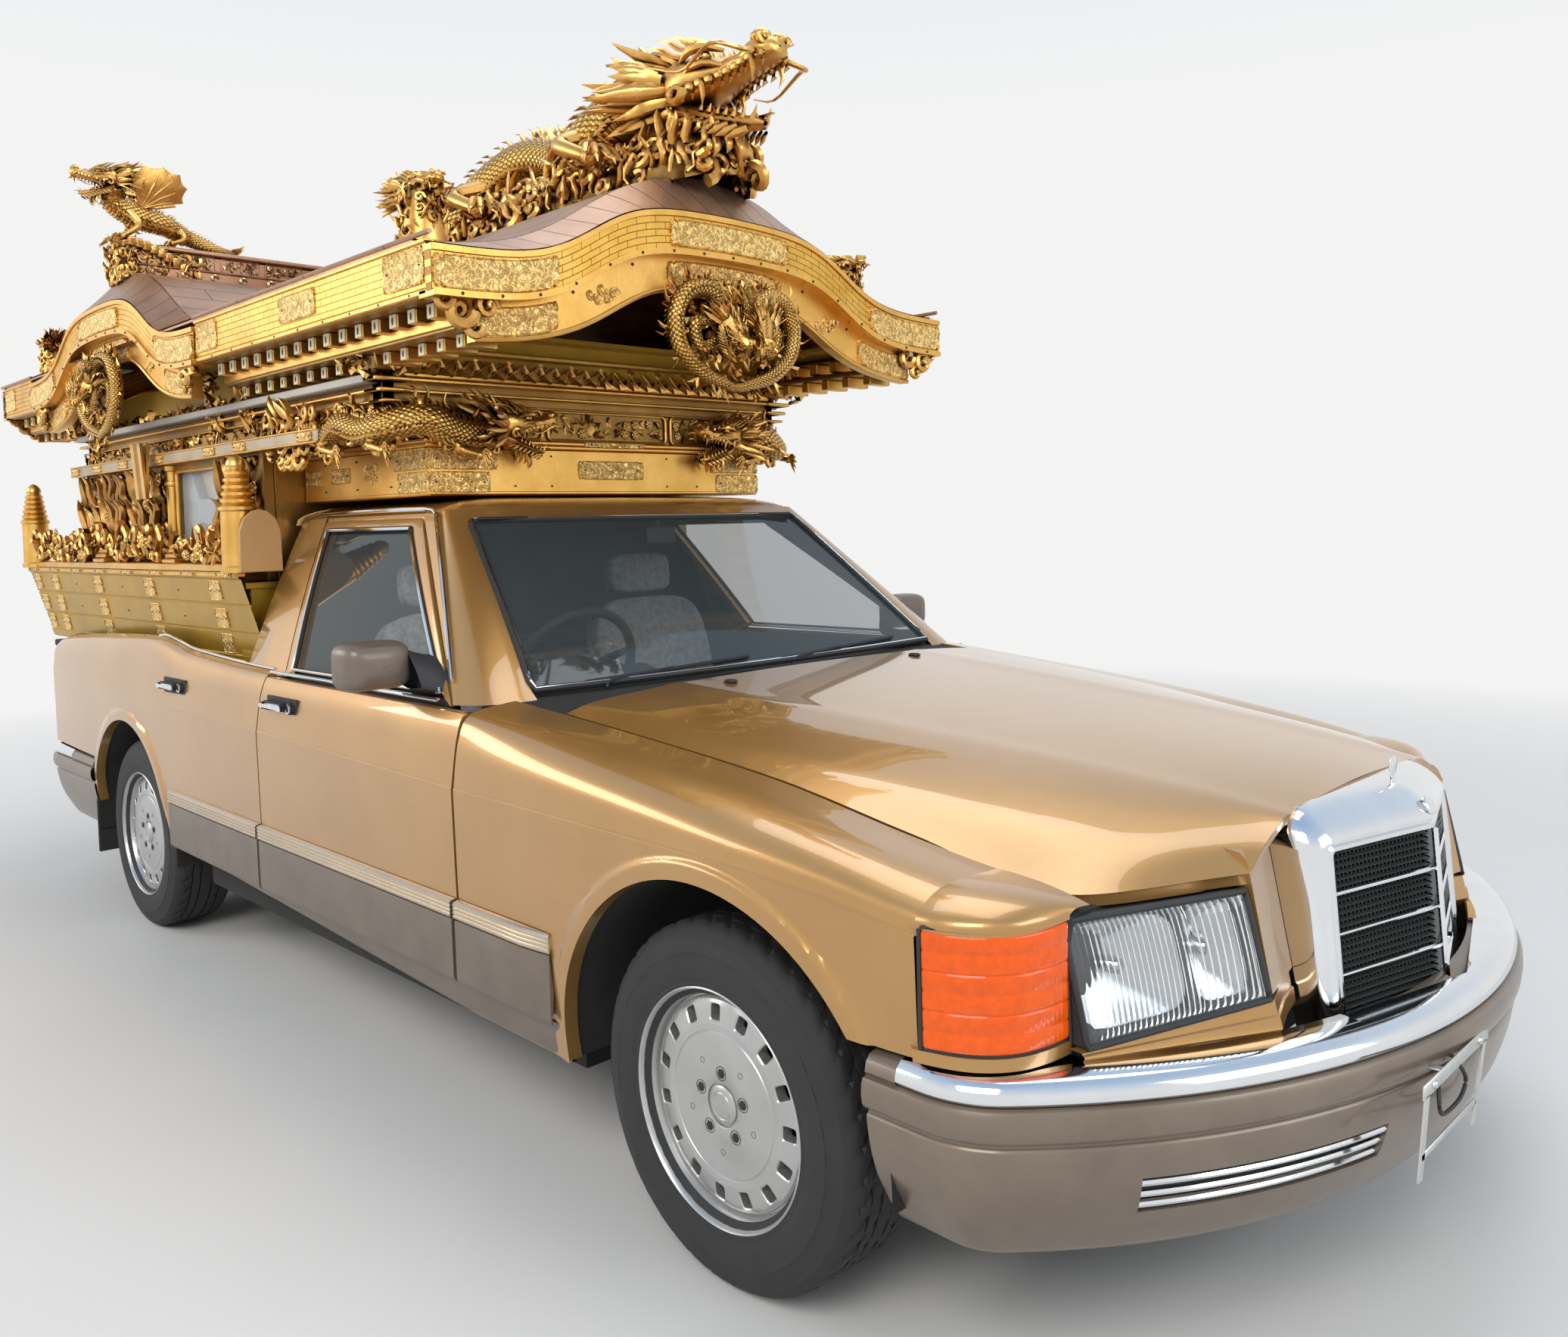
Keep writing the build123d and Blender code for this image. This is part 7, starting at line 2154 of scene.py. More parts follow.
def bracket():
    """Bare plate bracket with its short fixed cable."""
    plate, cable = Heap(), Heap()
    x = 957.4
    y0 = -185
    plate.box((x - 1.6, x + 1.6), (y0 - 150, y0 + 150), (449, 471), 1.2)
    for top_y, low_y in ((y0 + 132, y0 + 76), (y0 - 132, y0 - 164)):
        rows = []
        for t in np.linspace(0, 1, 8):
            yc, z = top_y + (low_y - top_y) * t, 452 - 117 * t
            rows.append([(x - 1.6, yc - 8, z), (x + 1.6, yc - 8, z), (x + 1.6, yc + 8, z),
                         (x - 1.6, yc + 8, z)])
        plate.grid(np.array(rows), around=True)
    plate.box((x - 1.6, x + 1.6), (y0 - 160, y0 + 88), (362, 373), 1.2)
    for side in (-1, 1):
        y = y0 + side * 50
        plate.box((924, x), (y - 8, y + 8), (461, 464), 1)
        plate.turned([(0, 5), (5, 4.5), (7, 2), (7, 0)], (x + 1.4, y0 + side * 105, 460), (1, 0, 0), 6)
    plate.build("bracket_plate", MATERIALS["bare_bracket"], sharp=50, replaces=("plate_bracket",),
                slot="bare_bracket")
    cable.tube(smooth_path([(930, y0 + 20, 470), (955, y0 + 10, 455), (958, y0 + 40, 420),
                            (956, y0 + 20, 395), (952, y0 - 40, 390), (955, y0 - 70, 410),
                            (950, y0 - 60, 440)], 40), 3.2, 7)
    cable.build("bracket_cable", MATERIALS["interior_trim"], slot="interior_trim")


bracket()


def tail_lamps():
    """Ribbed tail lamps, plate place and rear trim."""
    lens, rim = Heap(), Heap()
    ys = np.linspace(482, 799, 60)
    plan = np.interp(ys, (0, 560, 700, 790, 842), (-3995, -3990, -3972, -3925, -3860)) - 6
    zs = np.linspace(632, 813, 90)
    rows = []
    for z in zs:
        band = (z - 632) / 181 * 7
        groove = 9 * math.exp(-((band - round(band)) / 0.16) ** 4)
        rows.append(np.stack([plan + groove, ys, np.full(60, z)], -1))
    lens.grid(np.array(rows))
    both(lens).build("tail_lamp_lens", MATERIALS["red_lens"], sharp=60, replaces=("tail_lamps",),
                     slot="red_lens", limit=6000)
    edge = ([(plan[k] + 6, ys[k], 631.0) for k in range(0, 60, 4)]
            + [(plan[-1] + 6, ys[-1], z) for z in np.linspace(640, 806, 10)])
    edge += [(plan[k] + 6, ys[k], 814.0) for k in range(59, -1, -4)] + [(plan[0] + 6, ys[0], z)
            for z in np.linspace(806, 640, 10)]
    rim.tube(np.array(edge), 5, 6, closed=True)
    both(rim).build("tail_lamp_rim", MATERIALS["interior_trim"], slot="interior_trim")
    lid = Heap()
    lid.box((-3999, -3988), (-262, 262), (690, 830), 6)
    lid.box((-4003, -3996), (-250, 250), (700, 820), 3)
    lid.build("rear_plate_place", MATERIALS["body_paint"], slot="body_paint")
    bars = Heap()
    for number in range(3):
        bars.box((-4006, -3998), (-230, 230), (836 + 9 * number, 841 + 9 * number), 2)
    bars.build("rear_trim", MATERIALS["chrome_trim"], slot="chrome_trim")


tail_lamps()


def rounded(centre, half_y, half_z, power=5, count=40):
    """Ring with flat sides and round corners, facing along X."""
    a = np.linspace(0, 2 * math.pi, count, endpoint=False)
    c, s = np.cos(a), np.sin(a)
    grow = (np.abs(c) ** power + np.abs(s) ** power) ** (-1 / power)
    return np.stack([np.full(count, centre[0]), centre[1] + half_y * c * grow,
                     centre[2] + half_z * s * grow], -1)


def mirrors():
    """Door mirrors with shell, foot and pane."""
    shell, foot, pane = Heap(), Heap(), Heap()
    steps = [(-1099, 74, 49), (-1098, 79, 54), (-1080, 79.5, 55), (-1056, 79, 55), (-1036, 75, 52),
             (-1022, 67, 46), (-1014, 54, 36), (-1011, 30, 18), (-1010.5, 1, 1)]
    rows = [rounded((x, 931 + (x + 1099) * -0.03, 1017), half_y, half_z) for x, half_y, half_z in steps]
    shell.grid(np.array(rows), around=True)
    lip = [rounded((x, 931, 1017), half_y, half_z) for x, half_y,
           half_z in ((-1099, 74, 49), (-1094, 72, 47), (-1086, 72, 47))]
    foot.grid(np.array(lip), around=True)
    disc = [rounded((-1087, 931, 1017), 72 * r, 47 * r) for r in (1, 0.6, 0.02)]
    pane.grid(np.array(disc), around=True)
    base = [[(-884, 800, 948), (-900, 800, 972), (-960, 800, 1012), (-1034, 800, 1030), (-1044, 800, 950)],
            [(-900, 826, 950), (-912, 826, 974), (-966, 826, 1012), (-1034, 826, 1034), (-1048, 826, 952)],
            [(-936, 846, 956), (-944, 846, 980), (-982, 846, 1016), (-1036, 846, 1040), (-1052, 846, 958)],
            [(-972, 864, 966), (-976, 864, 986), (-1004, 864, 1022), (-1040, 864, 1048), (-1060, 864, 970)]]
    rows = [smooth_path(row, 30, closed=True) for row in base]
    foot.grid(np.array(rows), around=True)
    for name, body, turn in (("left", "door_left", None), ("right", "door_right", other_side)):
        for label, part, slot, material in (("shell", shell, "cladding", MATERIALS["cladding"]),
                                            ("base", foot, "interior_trim", MATERIALS["interior_trim"]),
                                            ("pane", pane, "chrome_trim", MATERIALS["chrome_trim"])):
            whole = Heap()
            whole.merge(part, turn)
            whole.build(f"mirror_{label}_{name}", material, body, sharp=50,
                        replaces=(f"mirror_{name}",) if label == "shell" else (), slot=slot)


mirrors()


def strake(x0, x1, heap, strip, table, start_round=0.0):
    """Side moulding from x0 back to x1: dark plank with a bright ribbed strip along its top."""
    xs = np.linspace(x0, x1, max(3, int((x0 - x1) / 60)))
    plank = [(-4, 357), (5, 358), (9.5, 363), (11, 372), (11.5, 430), (12, 488), (11, 493), (5, 494)]
    ribs = [(4, 495), (13, 497)]
    for k in range(4):
        z = 499 + 8.5 * k
        ribs += [(15.4, z + 1), (15.6, z + 4.2), (15.2, z + 6), (13.2, z + 7)]
    ribs += [(11, 533.5), (1, 535.5)]
    for target, section in ((heap, plank), (strip, ribs)):
        rows = []
        for x in xs:
            crease = station(table, x)[3] if x > -2520 else 900
            fade = 1.0
            if start_round and x0 - x < start_round:
                fade = math.sqrt(max(0.05, 1 - (1 - (x0 - x) / start_round) ** 2))
            row = [(x, crease - 3.5 + out * fade, z) for out, z in section]
            rows.append(row)
        rows = np.array(rows)
        target.grid(rows)
        for row in (rows[0], rows[-1]):
            centre = row.mean(0) - (0, 8, 0)
            target.add(np.vstack([row, centre]), (), [(i, i + 1, len(row)) for i in range(len(row) - 1)])


def mouldings():
    """Side mouldings on fender, flank and doors."""
    plank, strip = Heap(), Heap()
    strake(-430, -768, plank, strip, FENDER, start_round=14)
    strake(-1810, -2503, plank, strip, FLANK)
    both(plank).build("side_planks", MATERIALS["cladding"], sharp=40, replaces=("side_mouldings",),
                      slot="cladding")
    both(strip).build("side_strips", MATERIALS["strip_trim"], sharp=40, slot="bumper_paint")
    plank, strip = Heap(), Heap()
    strake(-781, -1797, plank, strip, FLANK)
    for name, turn in (("left", None), ("right", other_side)):
        for label, part, material, slot in (("plank", plank, "cladding", "cladding"),
                                            ("strip", strip, "strip_trim", "bumper_paint")):
            whole = Heap()
            whole.merge(part, turn)
            whole.build(f"door_{label}_{name}", MATERIALS[material], f"door_{name}", sharp=40,
                        replaces=(f"door_moulding_{name}",) if label == "plank" else (), slot=slot)


mouldings()


# Wheels
def wheel_face(heap):
    """Slotted disc, flat centre and the blank cap; axis +Y from the origin."""
    slots = 15
    slot_circle = 159

    def face_y(r):
        return float(np.interp(r, (0, 132, 140, 178, 184), (79, 78, 78.5, 73, 66)))

    for number in range(slots):
        middle = 2 * math.pi * number / slots
        half = math.pi / slots
        outer, inner = [], []
        for k in range(32):
            a = 2 * math.pi * k / 32
            c, s = math.cos(a), math.sin(a)
            grow = (abs(c) ** 6 + abs(s) ** 6) ** (-1 / 6)
            square = max(abs(c), abs(s))
            r_box, t_box = slot_circle + 21 * c / square, half * s / square
            outer.append((r_box, middle + t_box))
            r_slot = slot_circle + 13.5 * c * grow
            t_slot = 12.0 * s * grow / r_slot
            inner.append((r_slot, middle + t_slot))

        def place(points, drop, shrink=1.0):
            out = []
            for r, t in points:
                rr = slot_circle + (r - slot_circle) * shrink
                tt = middle + (t - middle) * shrink
                out.append((rr * math.cos(tt), face_y(rr) - drop, rr * math.sin(tt)))
            return out

        rim = [(slot_circle + (ri - slot_circle) * 1.16, middle + (ti - middle) * 1.16) for ri, ti in inner]
        heap.grid(np.array([place(outer, 0), place(rim, 0), place(inner, 2.2), place(inner, 16),
                            place(inner, 22, 0.98)]), around=True)
    heap.turned([(r, face_y(r)) for r in (138, 132, 128)] + [(127, 76.8), (125.5, 76.8), (124, 78.4),
                                                             (100, 79.0), (60, 79.3), (40, 79.2), (38, 78),
                                                             (37, 74.5), (34.5, 74.5)], (0, 0, 0),
                (0, 1, 0), 120)
    heap.turned([(34.5, 74.5), (33.8, 78.0), (31, 80.4), (24, 81.4), (22.8, 80.6), (21.4, 81.8),
                 (10, 82.4), (0.01, 82.5)], (0, 0, 0), (0, 1, 0), 64)
    heap.turned([(180, face_y(180)), (183, 68), (185, 62), (187, 62), (190, 70), (193, 80), (196, 84),
                 (199, 84.5), (201, 90), (203, 96.5), (205.5, 99), (207.4, 97.5), (207.4, 90)], (0, 0, 0),
                (0, 1, 0), 120)
    heap.turned([(183, 64), (181, 40), (176, 20), (172, -40), (178, -80), (186, -92), (207, -98),
                 (207, -90)], (0, 0, 0), (0, 1, 0), 90)


def wheel_fittings(bolts, dark):
    """Five bolts and the small holes round the hub."""
    for number in range(5):
        a = math.radians(72 * number + 18)
        x, z = 56 * math.cos(a), 56 * math.sin(a)
        dark.turned([(12.6, 79.6), (11.6, 79.9), (10.6, 77.0), (0.01, 77.0)], (x, 0, z), (0, 1, 0), 28)
        bolts.turned([(8.6, 77.2), (8.6, 80.4), (7.2, 81.2), (0.01, 81.4)], (x, 0, z), (0, 1, 0), 6)
        a += math.radians(36)
        x, z = 82 * math.cos(a), 82 * math.sin(a)
        dark.turned([(5.6, 79.5), (5.2, 79.7), (4.4, 78.2), (0.01, 78.2)], (x, 0, z), (0, 1, 0), 20)


def tyre_shape(heap):
    """Sidewall with fine ribs, shoulders and a tread of blocks, turned about +Y."""
    sides = 200
    wall = [(191, 80), (200, 89), (209, 97), (213, 97.8), (216, 97.2), (222, 99.5), (230, 101),
            (240, 101.9), (252, 102.2), (262, 101.8), (263, 102.3), (265, 102.3), (266, 101.2),
            (276, 99.2), (286, 96.2), (294, 92.5), (296, 92.9), (298, 91.6), (304, 87.5), (309, 82.5),
            (313, 77), (315.6, 71)]
    tread = [(316.6, 67), (317, 60), (317, 47), (311, 46.4), (311, 42.6), (317, 42), (317.2, 24),
             (317.2, 21), (310.5, 20.4), (310.5, 15.6), (317.2, 15), (317.3, 0)]
    half = wall + tread
    profile = np.array(half + [(r, -y) for r, y in reversed(half[:-1])])
    angle = np.linspace(0, 2 * math.pi, sides, endpoint=False)
    rows = []
    for k, (radius, along) in enumerate(profile):
        inset = np.zeros(sides)
        side = min(k, len(profile) - 1 - k)
        if side >= len(wall) - 5:
            phase = (np.arange(sides) + int(abs(along) / 9) * (1 if along > 0 else -1)) % 5
            inset = np.where(phase == 0, 6.0 if side >= len(wall) else 3.0, 0.0)
            if abs(along) < 30:
                inset = inset * 0.5
        elif side in (2, 3, 4) or side in (13, 14):
            inset = np.where(np.arange(sides) % 2 == 0, 0.25, 0.0)
        r = radius - inset
        rows.append(np.stack([r * np.cos(angle), np.full(sides, along), r * np.sin(angle)], -1))
    heap.grid(np.array(rows), around=True)


def brake(heap):
    """Brake disc with its ring of holes."""
    heap.turned([(74, 14), (136, 14), (137, 12), (137, -8), (136, -10), (74, -10), (74, -40)], (0, 0, 0),
                (0, 1, 0), 72)
    for number in range(24):
        a = 2 * math.pi * number / 24
        heap.turned([(5, 14.4), (4.2, 14.4), (0.01, 13.4)], (112 * math.cos(a), 0, 112 * math.sin(a)),
                    (0, 1, 0), 8)


def wheels():
    """Wheel face, bolts, tyre and brake on each of the four wheels."""
    alloy, bolts, dark, rubber, disc = Heap(), Heap(), Heap(), Heap(), Heap()
    wheel_face(alloy)
    wheel_fittings(bolts, dark)
    tyre_shape(rubber)
    brake(disc)
    for name, x, y in (("front_left", 0, 772.5), ("front_right", 0, -772.5), ("rear_left", -2935, 758.5),
                       ("rear_right", -2935, -758.5)):
        sign = 1 if y > 0 else -1

        def move(points, sign=sign, x=x, y=y):
            return points * (1, sign, 1) + (x, y, WHEEL_Z)
        body = f"wheel_{name}"
        for label, part, material, node in (("alloy", alloy, "alloy", f"wheel_{name}"),
                                            ("bolts", bolts, "steel_dark", None),
                                            ("holes", dark, "steel_dark", None),
                                            ("tread", rubber, "tyre_rubber", f"tyre_{name}"),
                                            ("brake_disc", disc, "alloy", None)):
            whole = Heap()
            whole.merge(part, move)
            whole.build(f"{label}_{name}", MATERIALS[material], body, sharp=35, replaces=(node,) if node
                        else (), slot=material, limit=9500 if label == "tread" else 12000)


wheels()

# Cabin
PAD_POWER = 5.5
SEAT_Y = 370


def pad(name, centre, half, tilt, channels, **keys):
    """Crowned cushion with sewn channels: half sizes along, across and through, tilted about y."""
    shares = np.concatenate([np.linspace(0, 0.86, 9),
                             0.86 + 0.14 * np.sin(np.linspace(0, math.pi / 2, 8))[1:]])
    around = np.linspace(0, 2 * math.pi, 72, endpoint=False)
    plan_x, plan_y = (np.sign(f(around)) * np.abs(f(around)) ** (2 / PAD_POWER) for f in (np.cos, np.sin))
    rows = []
    for face, ring in ((1, shares), (-1, shares[::-1])):
        for share in ring:
            x, y = plan_x * share, plan_y * share
            thick = (1 - share ** PAD_POWER) ** (1 / PAD_POWER)
            crown = 0.76 + 0.24 * (1 - x ** 2) * (1 - y ** 2)
            groove = (sum(np.exp(-((y - place) / 0.04) ** 2) for place in channels)
                      * (0.16 if face * thick else 0))
            z = face * np.maximum(thick * crown - groove * (np.abs(x) < 0.90), 0)
            pull = 1 - 0.05 * (x * y) ** 2 - 0.02 * (1 - thick)
            rows.append(np.stack([x * half[0] * pull, y * half[1] * pull, z * half[2]], -1))
    points = np.array(rows)
    a = math.radians(tilt)
    along, through = np.array([math.cos(a), 0, math.sin(a)]), np.array([-math.sin(a), 0, math.cos(a)])
    heap = Heap()
    heap.grid(np.array(centre) + points[..., :1] * along + points[..., 1:2] * (0, 1, 0) + points[..., 2:]
              * through, around=True)
    piece = heap.build(name, MATERIALS["seat_cloth"], sharp=60, slot="seat_cloth", **keys)


def seats():
    """Padded seats with channels, on their frames."""
    frames = Heap()
    for side, name in ((1, "left"), (-1, "right")):
        y = side * SEAT_Y
        keys = {"replaces": ("seats",)} if side > 0 else {}
        pad(f"seat_base_{name}", (-1330, y, 492), (288, 246, 74), 4, (-0.62, -0.2, 0.2, 0.62), **keys)
        pad(f"seat_back_{name}", (-1668, y, 786), (304, 238, 66), 104, (-0.62, -0.2, 0.2, 0.62))
        pad(f"head_rest_{name}", (-1757, y, 1160), (66, 126, 42), 96, ())
        for across in (-60, 60):
            frames.tube([(-1742, y + across, 1040), (-1755, y + across, 1120)], 6, 8)
        frames.box((-1560, -1120), (y - 200, y - 150), (421, 448), 4)
        frames.box((-1560, -1120), (y + 150, y + 200), (421, 448), 4)
    frames.build("seat_frames", MATERIALS["steel_dark"], slot="steel_dark")


def moulding(heap, section, y0, y1, count=60):
    """Rounded section carried across the cabin, closed at both ends."""
    profile = smooth_path([(x, 0, z) for x, z in section], count, closed=True)
    middle = profile.mean(axis=0)
    rows = []
    for y, share in ((y0, 0.0), (y0, 0.90), (y0 + 8, 0.985), (y0 + 20, 1.0), (y1 - 20, 1.0),
                     (y1 - 8, 0.985), (y1, 0.90), (y1, 0.0)):
        rows.append(middle + (profile - middle) * share + (0, y, 0))
    heap.grid(np.array(rows), around=True)


def dashboard():
    """Dashboard, column and steering wheel."""
    trim, bright = Heap(), Heap()
    moulding(trim, [(-704, 704), (-704, 780), (-812, 836), (-818, 908), (-864, 926), (-996, 912),
                    (-1026, 878), (-1008, 800), (-942, 694), (-902, 646)], -690, 690)
    moulding(trim, [(-900, 916), (-1006, 951), (-1036, 948), (-1028, 884), (-960, 872)], -560, -180)
    centre, first, second = (np.array([-1100.0, -370, 932]), np.array([0.438, 0, 0.899]),
                             np.array([0, 1.0, 0]))
    normal = np.cross(second, first)
    turn = np.linspace(0, 2 * math.pi, 64, endpoint=False)
    trim.tube(centre + 188 * (np.cos(turn)[:, None] * first + np.sin(turn)[:, None] * second), 13, 12,
              closed=True, up=tuple(normal))
    for a in (-0.35, 0.35, math.pi - 0.35, math.pi + 0.35):
        way = math.sin(a) * first + math.cos(a) * second
        trim.tube([centre + way * 40, centre + way * 110 - normal * 3, centre + way * 184], (20, 13, 11),
                  10, flat=0.5, up=tuple(normal))
    trim.turned([(0.01, 12), (40, 11), (66, 6), (74, -6), (66, -14), (0.01, -16)], centre, normal, 36)
    trim.tube([centre, (-930, -370, 850)], 30, 16)
    trim.box((-1100, -900), (-110, 110), (421, 760), 14)
    trim.tube([(-1040, 0, 758), (-1050, 0, 850)], 9, 10)
    trim.ball((-1052, 0, 866), (20, 20, 24), 9, 14)
    for y in (-640, -60, 60, 640):
        for k in range(4):
            bright.box((-1029, -1019), (y - 46, y + 46), (830 + 11 * k, 834 + 11 * k), 1)
    for y in (-440, -300):
        bright.turned([(0.01, 0), (58, 0), (62, 6), (64, 0)], (-1030, y, 906), (-1, 0, 0.3), 36)
    trim.build("dash_trim", MATERIALS["interior_trim"], replaces=("dashboard",), slot="interior_trim")
    bright.build("dash_vents", MATERIALS["steel_dark"], slot="steel_dark")


seats()
dashboard()

# Shrine
def facing(axis, at, sign=1):
    """From face space (across, height, outward) to a wall that looks along an axis."""
    def move(points):
        p = np.asarray(points, float)
        if axis == "x":
            return np.stack([at + sign * p[..., 2], p[..., 0] * sign, p[..., 1]], -1)
        return np.stack([p[..., 0] * (-sign), sign * (at + p[..., 2]), p[..., 1]], -1)

    return move


def side_face(at, sign):
    """Face space on a side wall, with across kept as the length along the body."""
    def move(points):
        p = np.asarray(points, float)
        return np.stack([p[..., 0], sign * (at + p[..., 2]), p[..., 1]], -1)

    return move


def flower(heap, centre, radius):
    """Peony in face space."""
    c = np.asarray(centre, float)
    for ring, count, lift in ((0.72, 8, 0.0), (0.42, 6, 0.16)):
        for k in range(count):
            a = 2 * math.pi * (k + 0.5 * (count == 6)) / count
            turn = np.array([[math.cos(a), -math.sin(a), 0], [math.sin(a), math.cos(a), 0], [0, 0, 1]])
            heap.ball(c + turn @ np.array([radius * ring * 0.72, 0, radius * lift]),
                      (radius * 0.36, radius * (0.30 if ring > 0.5 else 0.22), radius * 0.17), 5, 8, turn)
    heap.ball(c + (0, 0, radius * 0.26), radius * 0.20, 5, 8)


def foliage(heap, u0, u1, v0, v1, out, rng, pitch, bloom=0.12, rise=1.0):
    """Dense carving of scrolls, leaves and peonies over a rectangle in face space."""
    nu, nv = max(1, round((u1 - u0) / pitch)), max(1, round((v1 - v0) / pitch))
    for i in range(nu):
        for j in range(nv):
            u = u0 + (u1 - u0) * (i + 0.5 + rng.uniform(-0.25, 0.25)) / nu
            v = v0 + (v1 - v0) * (j + 0.5 + rng.uniform(-0.25, 0.25)) / nv
            kind = rng.uniform()
            size = pitch * rng.uniform(0.50, 0.66)
            lift = out + rng.uniform(0, pitch * 0.18) * rise
            if kind < bloom:
                flower(heap, (u, v, lift), size * 1.05)
            elif kind < 0.62:
                volute(heap, (u, v, lift), size, (1, 0, 0), (0, 1, 0), rng.uniform(1.1, 1.6),
                       rng.choice((-1, 1)), fat=rng.uniform(0.34, 0.46), start=rng.uniform(0, 6.3),
                       lift=0.8, steps=15, sides=6)
            else:
                a = rng.uniform(0, 2 * math.pi)
                way = np.array([math.cos(a), math.sin(a), 0.25])
                for turn in (-0.5, 0.1, 0.7):
                    lead = np.array([math.cos(a + turn), math.sin(a + turn), 0.3])
                    lock(heap, (u, v, lift) - way * size * 0.5, lead,
                         (rng.uniform(-1, 1), rng.uniform(-1, 1), 0.2), size * 1.5, size * 0.26, flat=0.55,
                         steps=6, sides=6)


def fitted(part, u0, u1, v0, v1):
    """Pulls what stands past a rectangle back to its edge."""
    for block in part.points:
        block[:, 0] = np.clip(block[:, 0], u0, u1)
        block[:, 1] = np.clip(block[:, 1], v0, v1)
    return part


def panel_frame(heap, u0, u1, v0, v1, out, corner=16, bar=4.5):
    """Rounded gold-edged frame."""
    path = []
    for cu, cv, start in ((u1 - corner, v1 - corner, 0), (u0 + corner, v1 - corner, 90),
                          (u0 + corner, v0 + corner, 180), (u1 - corner, v0 + corner, 270)):
        for a in np.radians(np.linspace(start, start + 90, 6)):
            path.append((cu + corner * math.cos(a), cv + corner * math.sin(a), out))
    heap.tube(path, bar, 8, closed=True, up=(0, 0, 1))


def level(value):
    """A line that stays at one height."""
    return lambda u: np.full(np.shape(u), float(value))


def slab(heap, x, y, z, chamfer=3.0):
    """Box with worn edges."""
    heap.box(x, y, z, chamfer)


def pendant_carving(skin, trim):
    """Two twined dragons that make a heart, in gable space."""
    rng = np.random.default_rng(7)
    for hand in (-1, 1):
        part_skin, part = Heap(), Heap()
        lean = 0 if hand < 0 else 8
        spine = [(60, 1700, -26), (20, 1672, -18), (-50, 1684, -14), (-128, 1712, -12), (-188, 1766, -10),
                 (-204, 1838, -8), (-172, 1900, -4), (-112, 1918, 2), (-66, 1890, 10), (-62, 1845, 16)]
        dragon_body(part_skin, part, spine, (6, 10, 15, 19, 21, 22, 22, 22, 21, 20), up=(0, 0, 1), fin=0.7,
                    belly=False, scale=9, sides=14)
        second = [(-20, 1930, -18), (-70, 1850, -14), (-140, 1830, -12), (-120, 1770, -12),
                  (-60, 1790, -10), (-20, 1748, -12)]
        dragon_body(part_skin, part, second, (9, 15, 17, 16, 13, 7), up=(0, 0, 1), fin=0.6, belly=False,
                    scale=8, sides=12)
        dragon_head(part, local((-64, 1838, 18), (0.30, -0.75, 0.45), (0.35, 0.25, 0.9), 98), mouth=26,
                    mane=26, seed=9 + lean)
        for u, v, a, length in ((-215, 1860, 150, 46), (-214, 1800, 190, 42), (-190, 1740, 215, 44),
                                (-130, 1695, 235, 42), (-60, 1664, 250, 34), (-196, 1912, 130, 40),
                                (-150, 1936, 110, 34), (-96, 1938, 80, 34), (-30, 1900, 60, 40),
                                (-90, 1800, 20, 40), (-150, 1790, -20, 36), (-40, 1720, 70, 44)):
            way = np.array([math.cos(math.radians(a)), math.sin(math.radians(a)), 0.2])
            for turn in (-0.35, 0.35):
                lead = np.array([way[0] - way[1] * turn, way[1] + way[0] * turn, 0.2])
                lock(part, (u, v, -16), lead, (rng.uniform(-1, 1), rng.uniform(-0.3, 1), 0), length, 7,
                     steps=8, sides=6)
        for u, v, r in ((-30, 1938, 24), (-78, 1944, 22), (-124, 1940, 20), (-168, 1924, 18),
                        (-104, 1870, 15), (-152, 1862, 14), (-10, 1806, 14), (-34, 1764, 13),
                        (-92, 1742, 15), (-140, 1744, 13)):
            volute(part, (u, v, -14), r, (1, 0, 0), (0, 1, 0), 1.5, 1 if u % 3 else -1, fat=0.4, lift=0.8,
                   steps=16, sides=6)
        for _ in range(85):
            u = rng.uniform(-212, 6)
            share = abs(u) / 212
            v = rng.uniform(1654 + 150 * share ** 1.6, 1950 - 40 * share ** 2)
            size = rng.uniform(11, 19)
            if rng.uniform() < 0.55:
                volute(part, (u, v, rng.uniform(-24, -12)), size, (1, 0, 0), (0, 1, 0), 1.4,
                       rng.choice((-1, 1)), fat=0.42, start=rng.uniform(0, 6), lift=0.9, steps=14, sides=6)
            else:
                away = unit((u + 90, v - 1810, 20))
                lock(part, (u, v, -18), away, (rng.uniform(-1, 1), rng.uniform(-1, 1), 0.3), size * 2.4,
                     size * 0.36, steps=7, sides=6)

        def turn_over(points, hand=hand, lean=lean):
            return points * (-hand * 1.0, 1, 1) + (0, 0, lean)
        skin.merge(part_skin, turn_over)
        trim.merge(part, turn_over)


def dress_pendants():
    """Carved pendants below the four gables."""
    skin, trim = Heap(), Heap()
    one_skin, one = Heap(), Heap()
    pendant_carving(one_skin, one)
    for gable, proud in ((front_gable, 20), (rear_gable, -90), (left_gable, 16), (right_gable, 16)):
        shift = (0, 0, proud)
        skin.merge(one_skin, lambda p, gable=gable, shift=shift: gable(p + shift))
        trim.merge(one, lambda p, gable=gable, shift=shift: gable(p + shift))
    skin.build("pendant_scales", SCALED, replaces=("pendants",), slot="carved_gilt", limit=16000)
    trim.build("pendant_carving", MATERIALS["carved_gilt"], slot="carved_gilt", limit=66000)


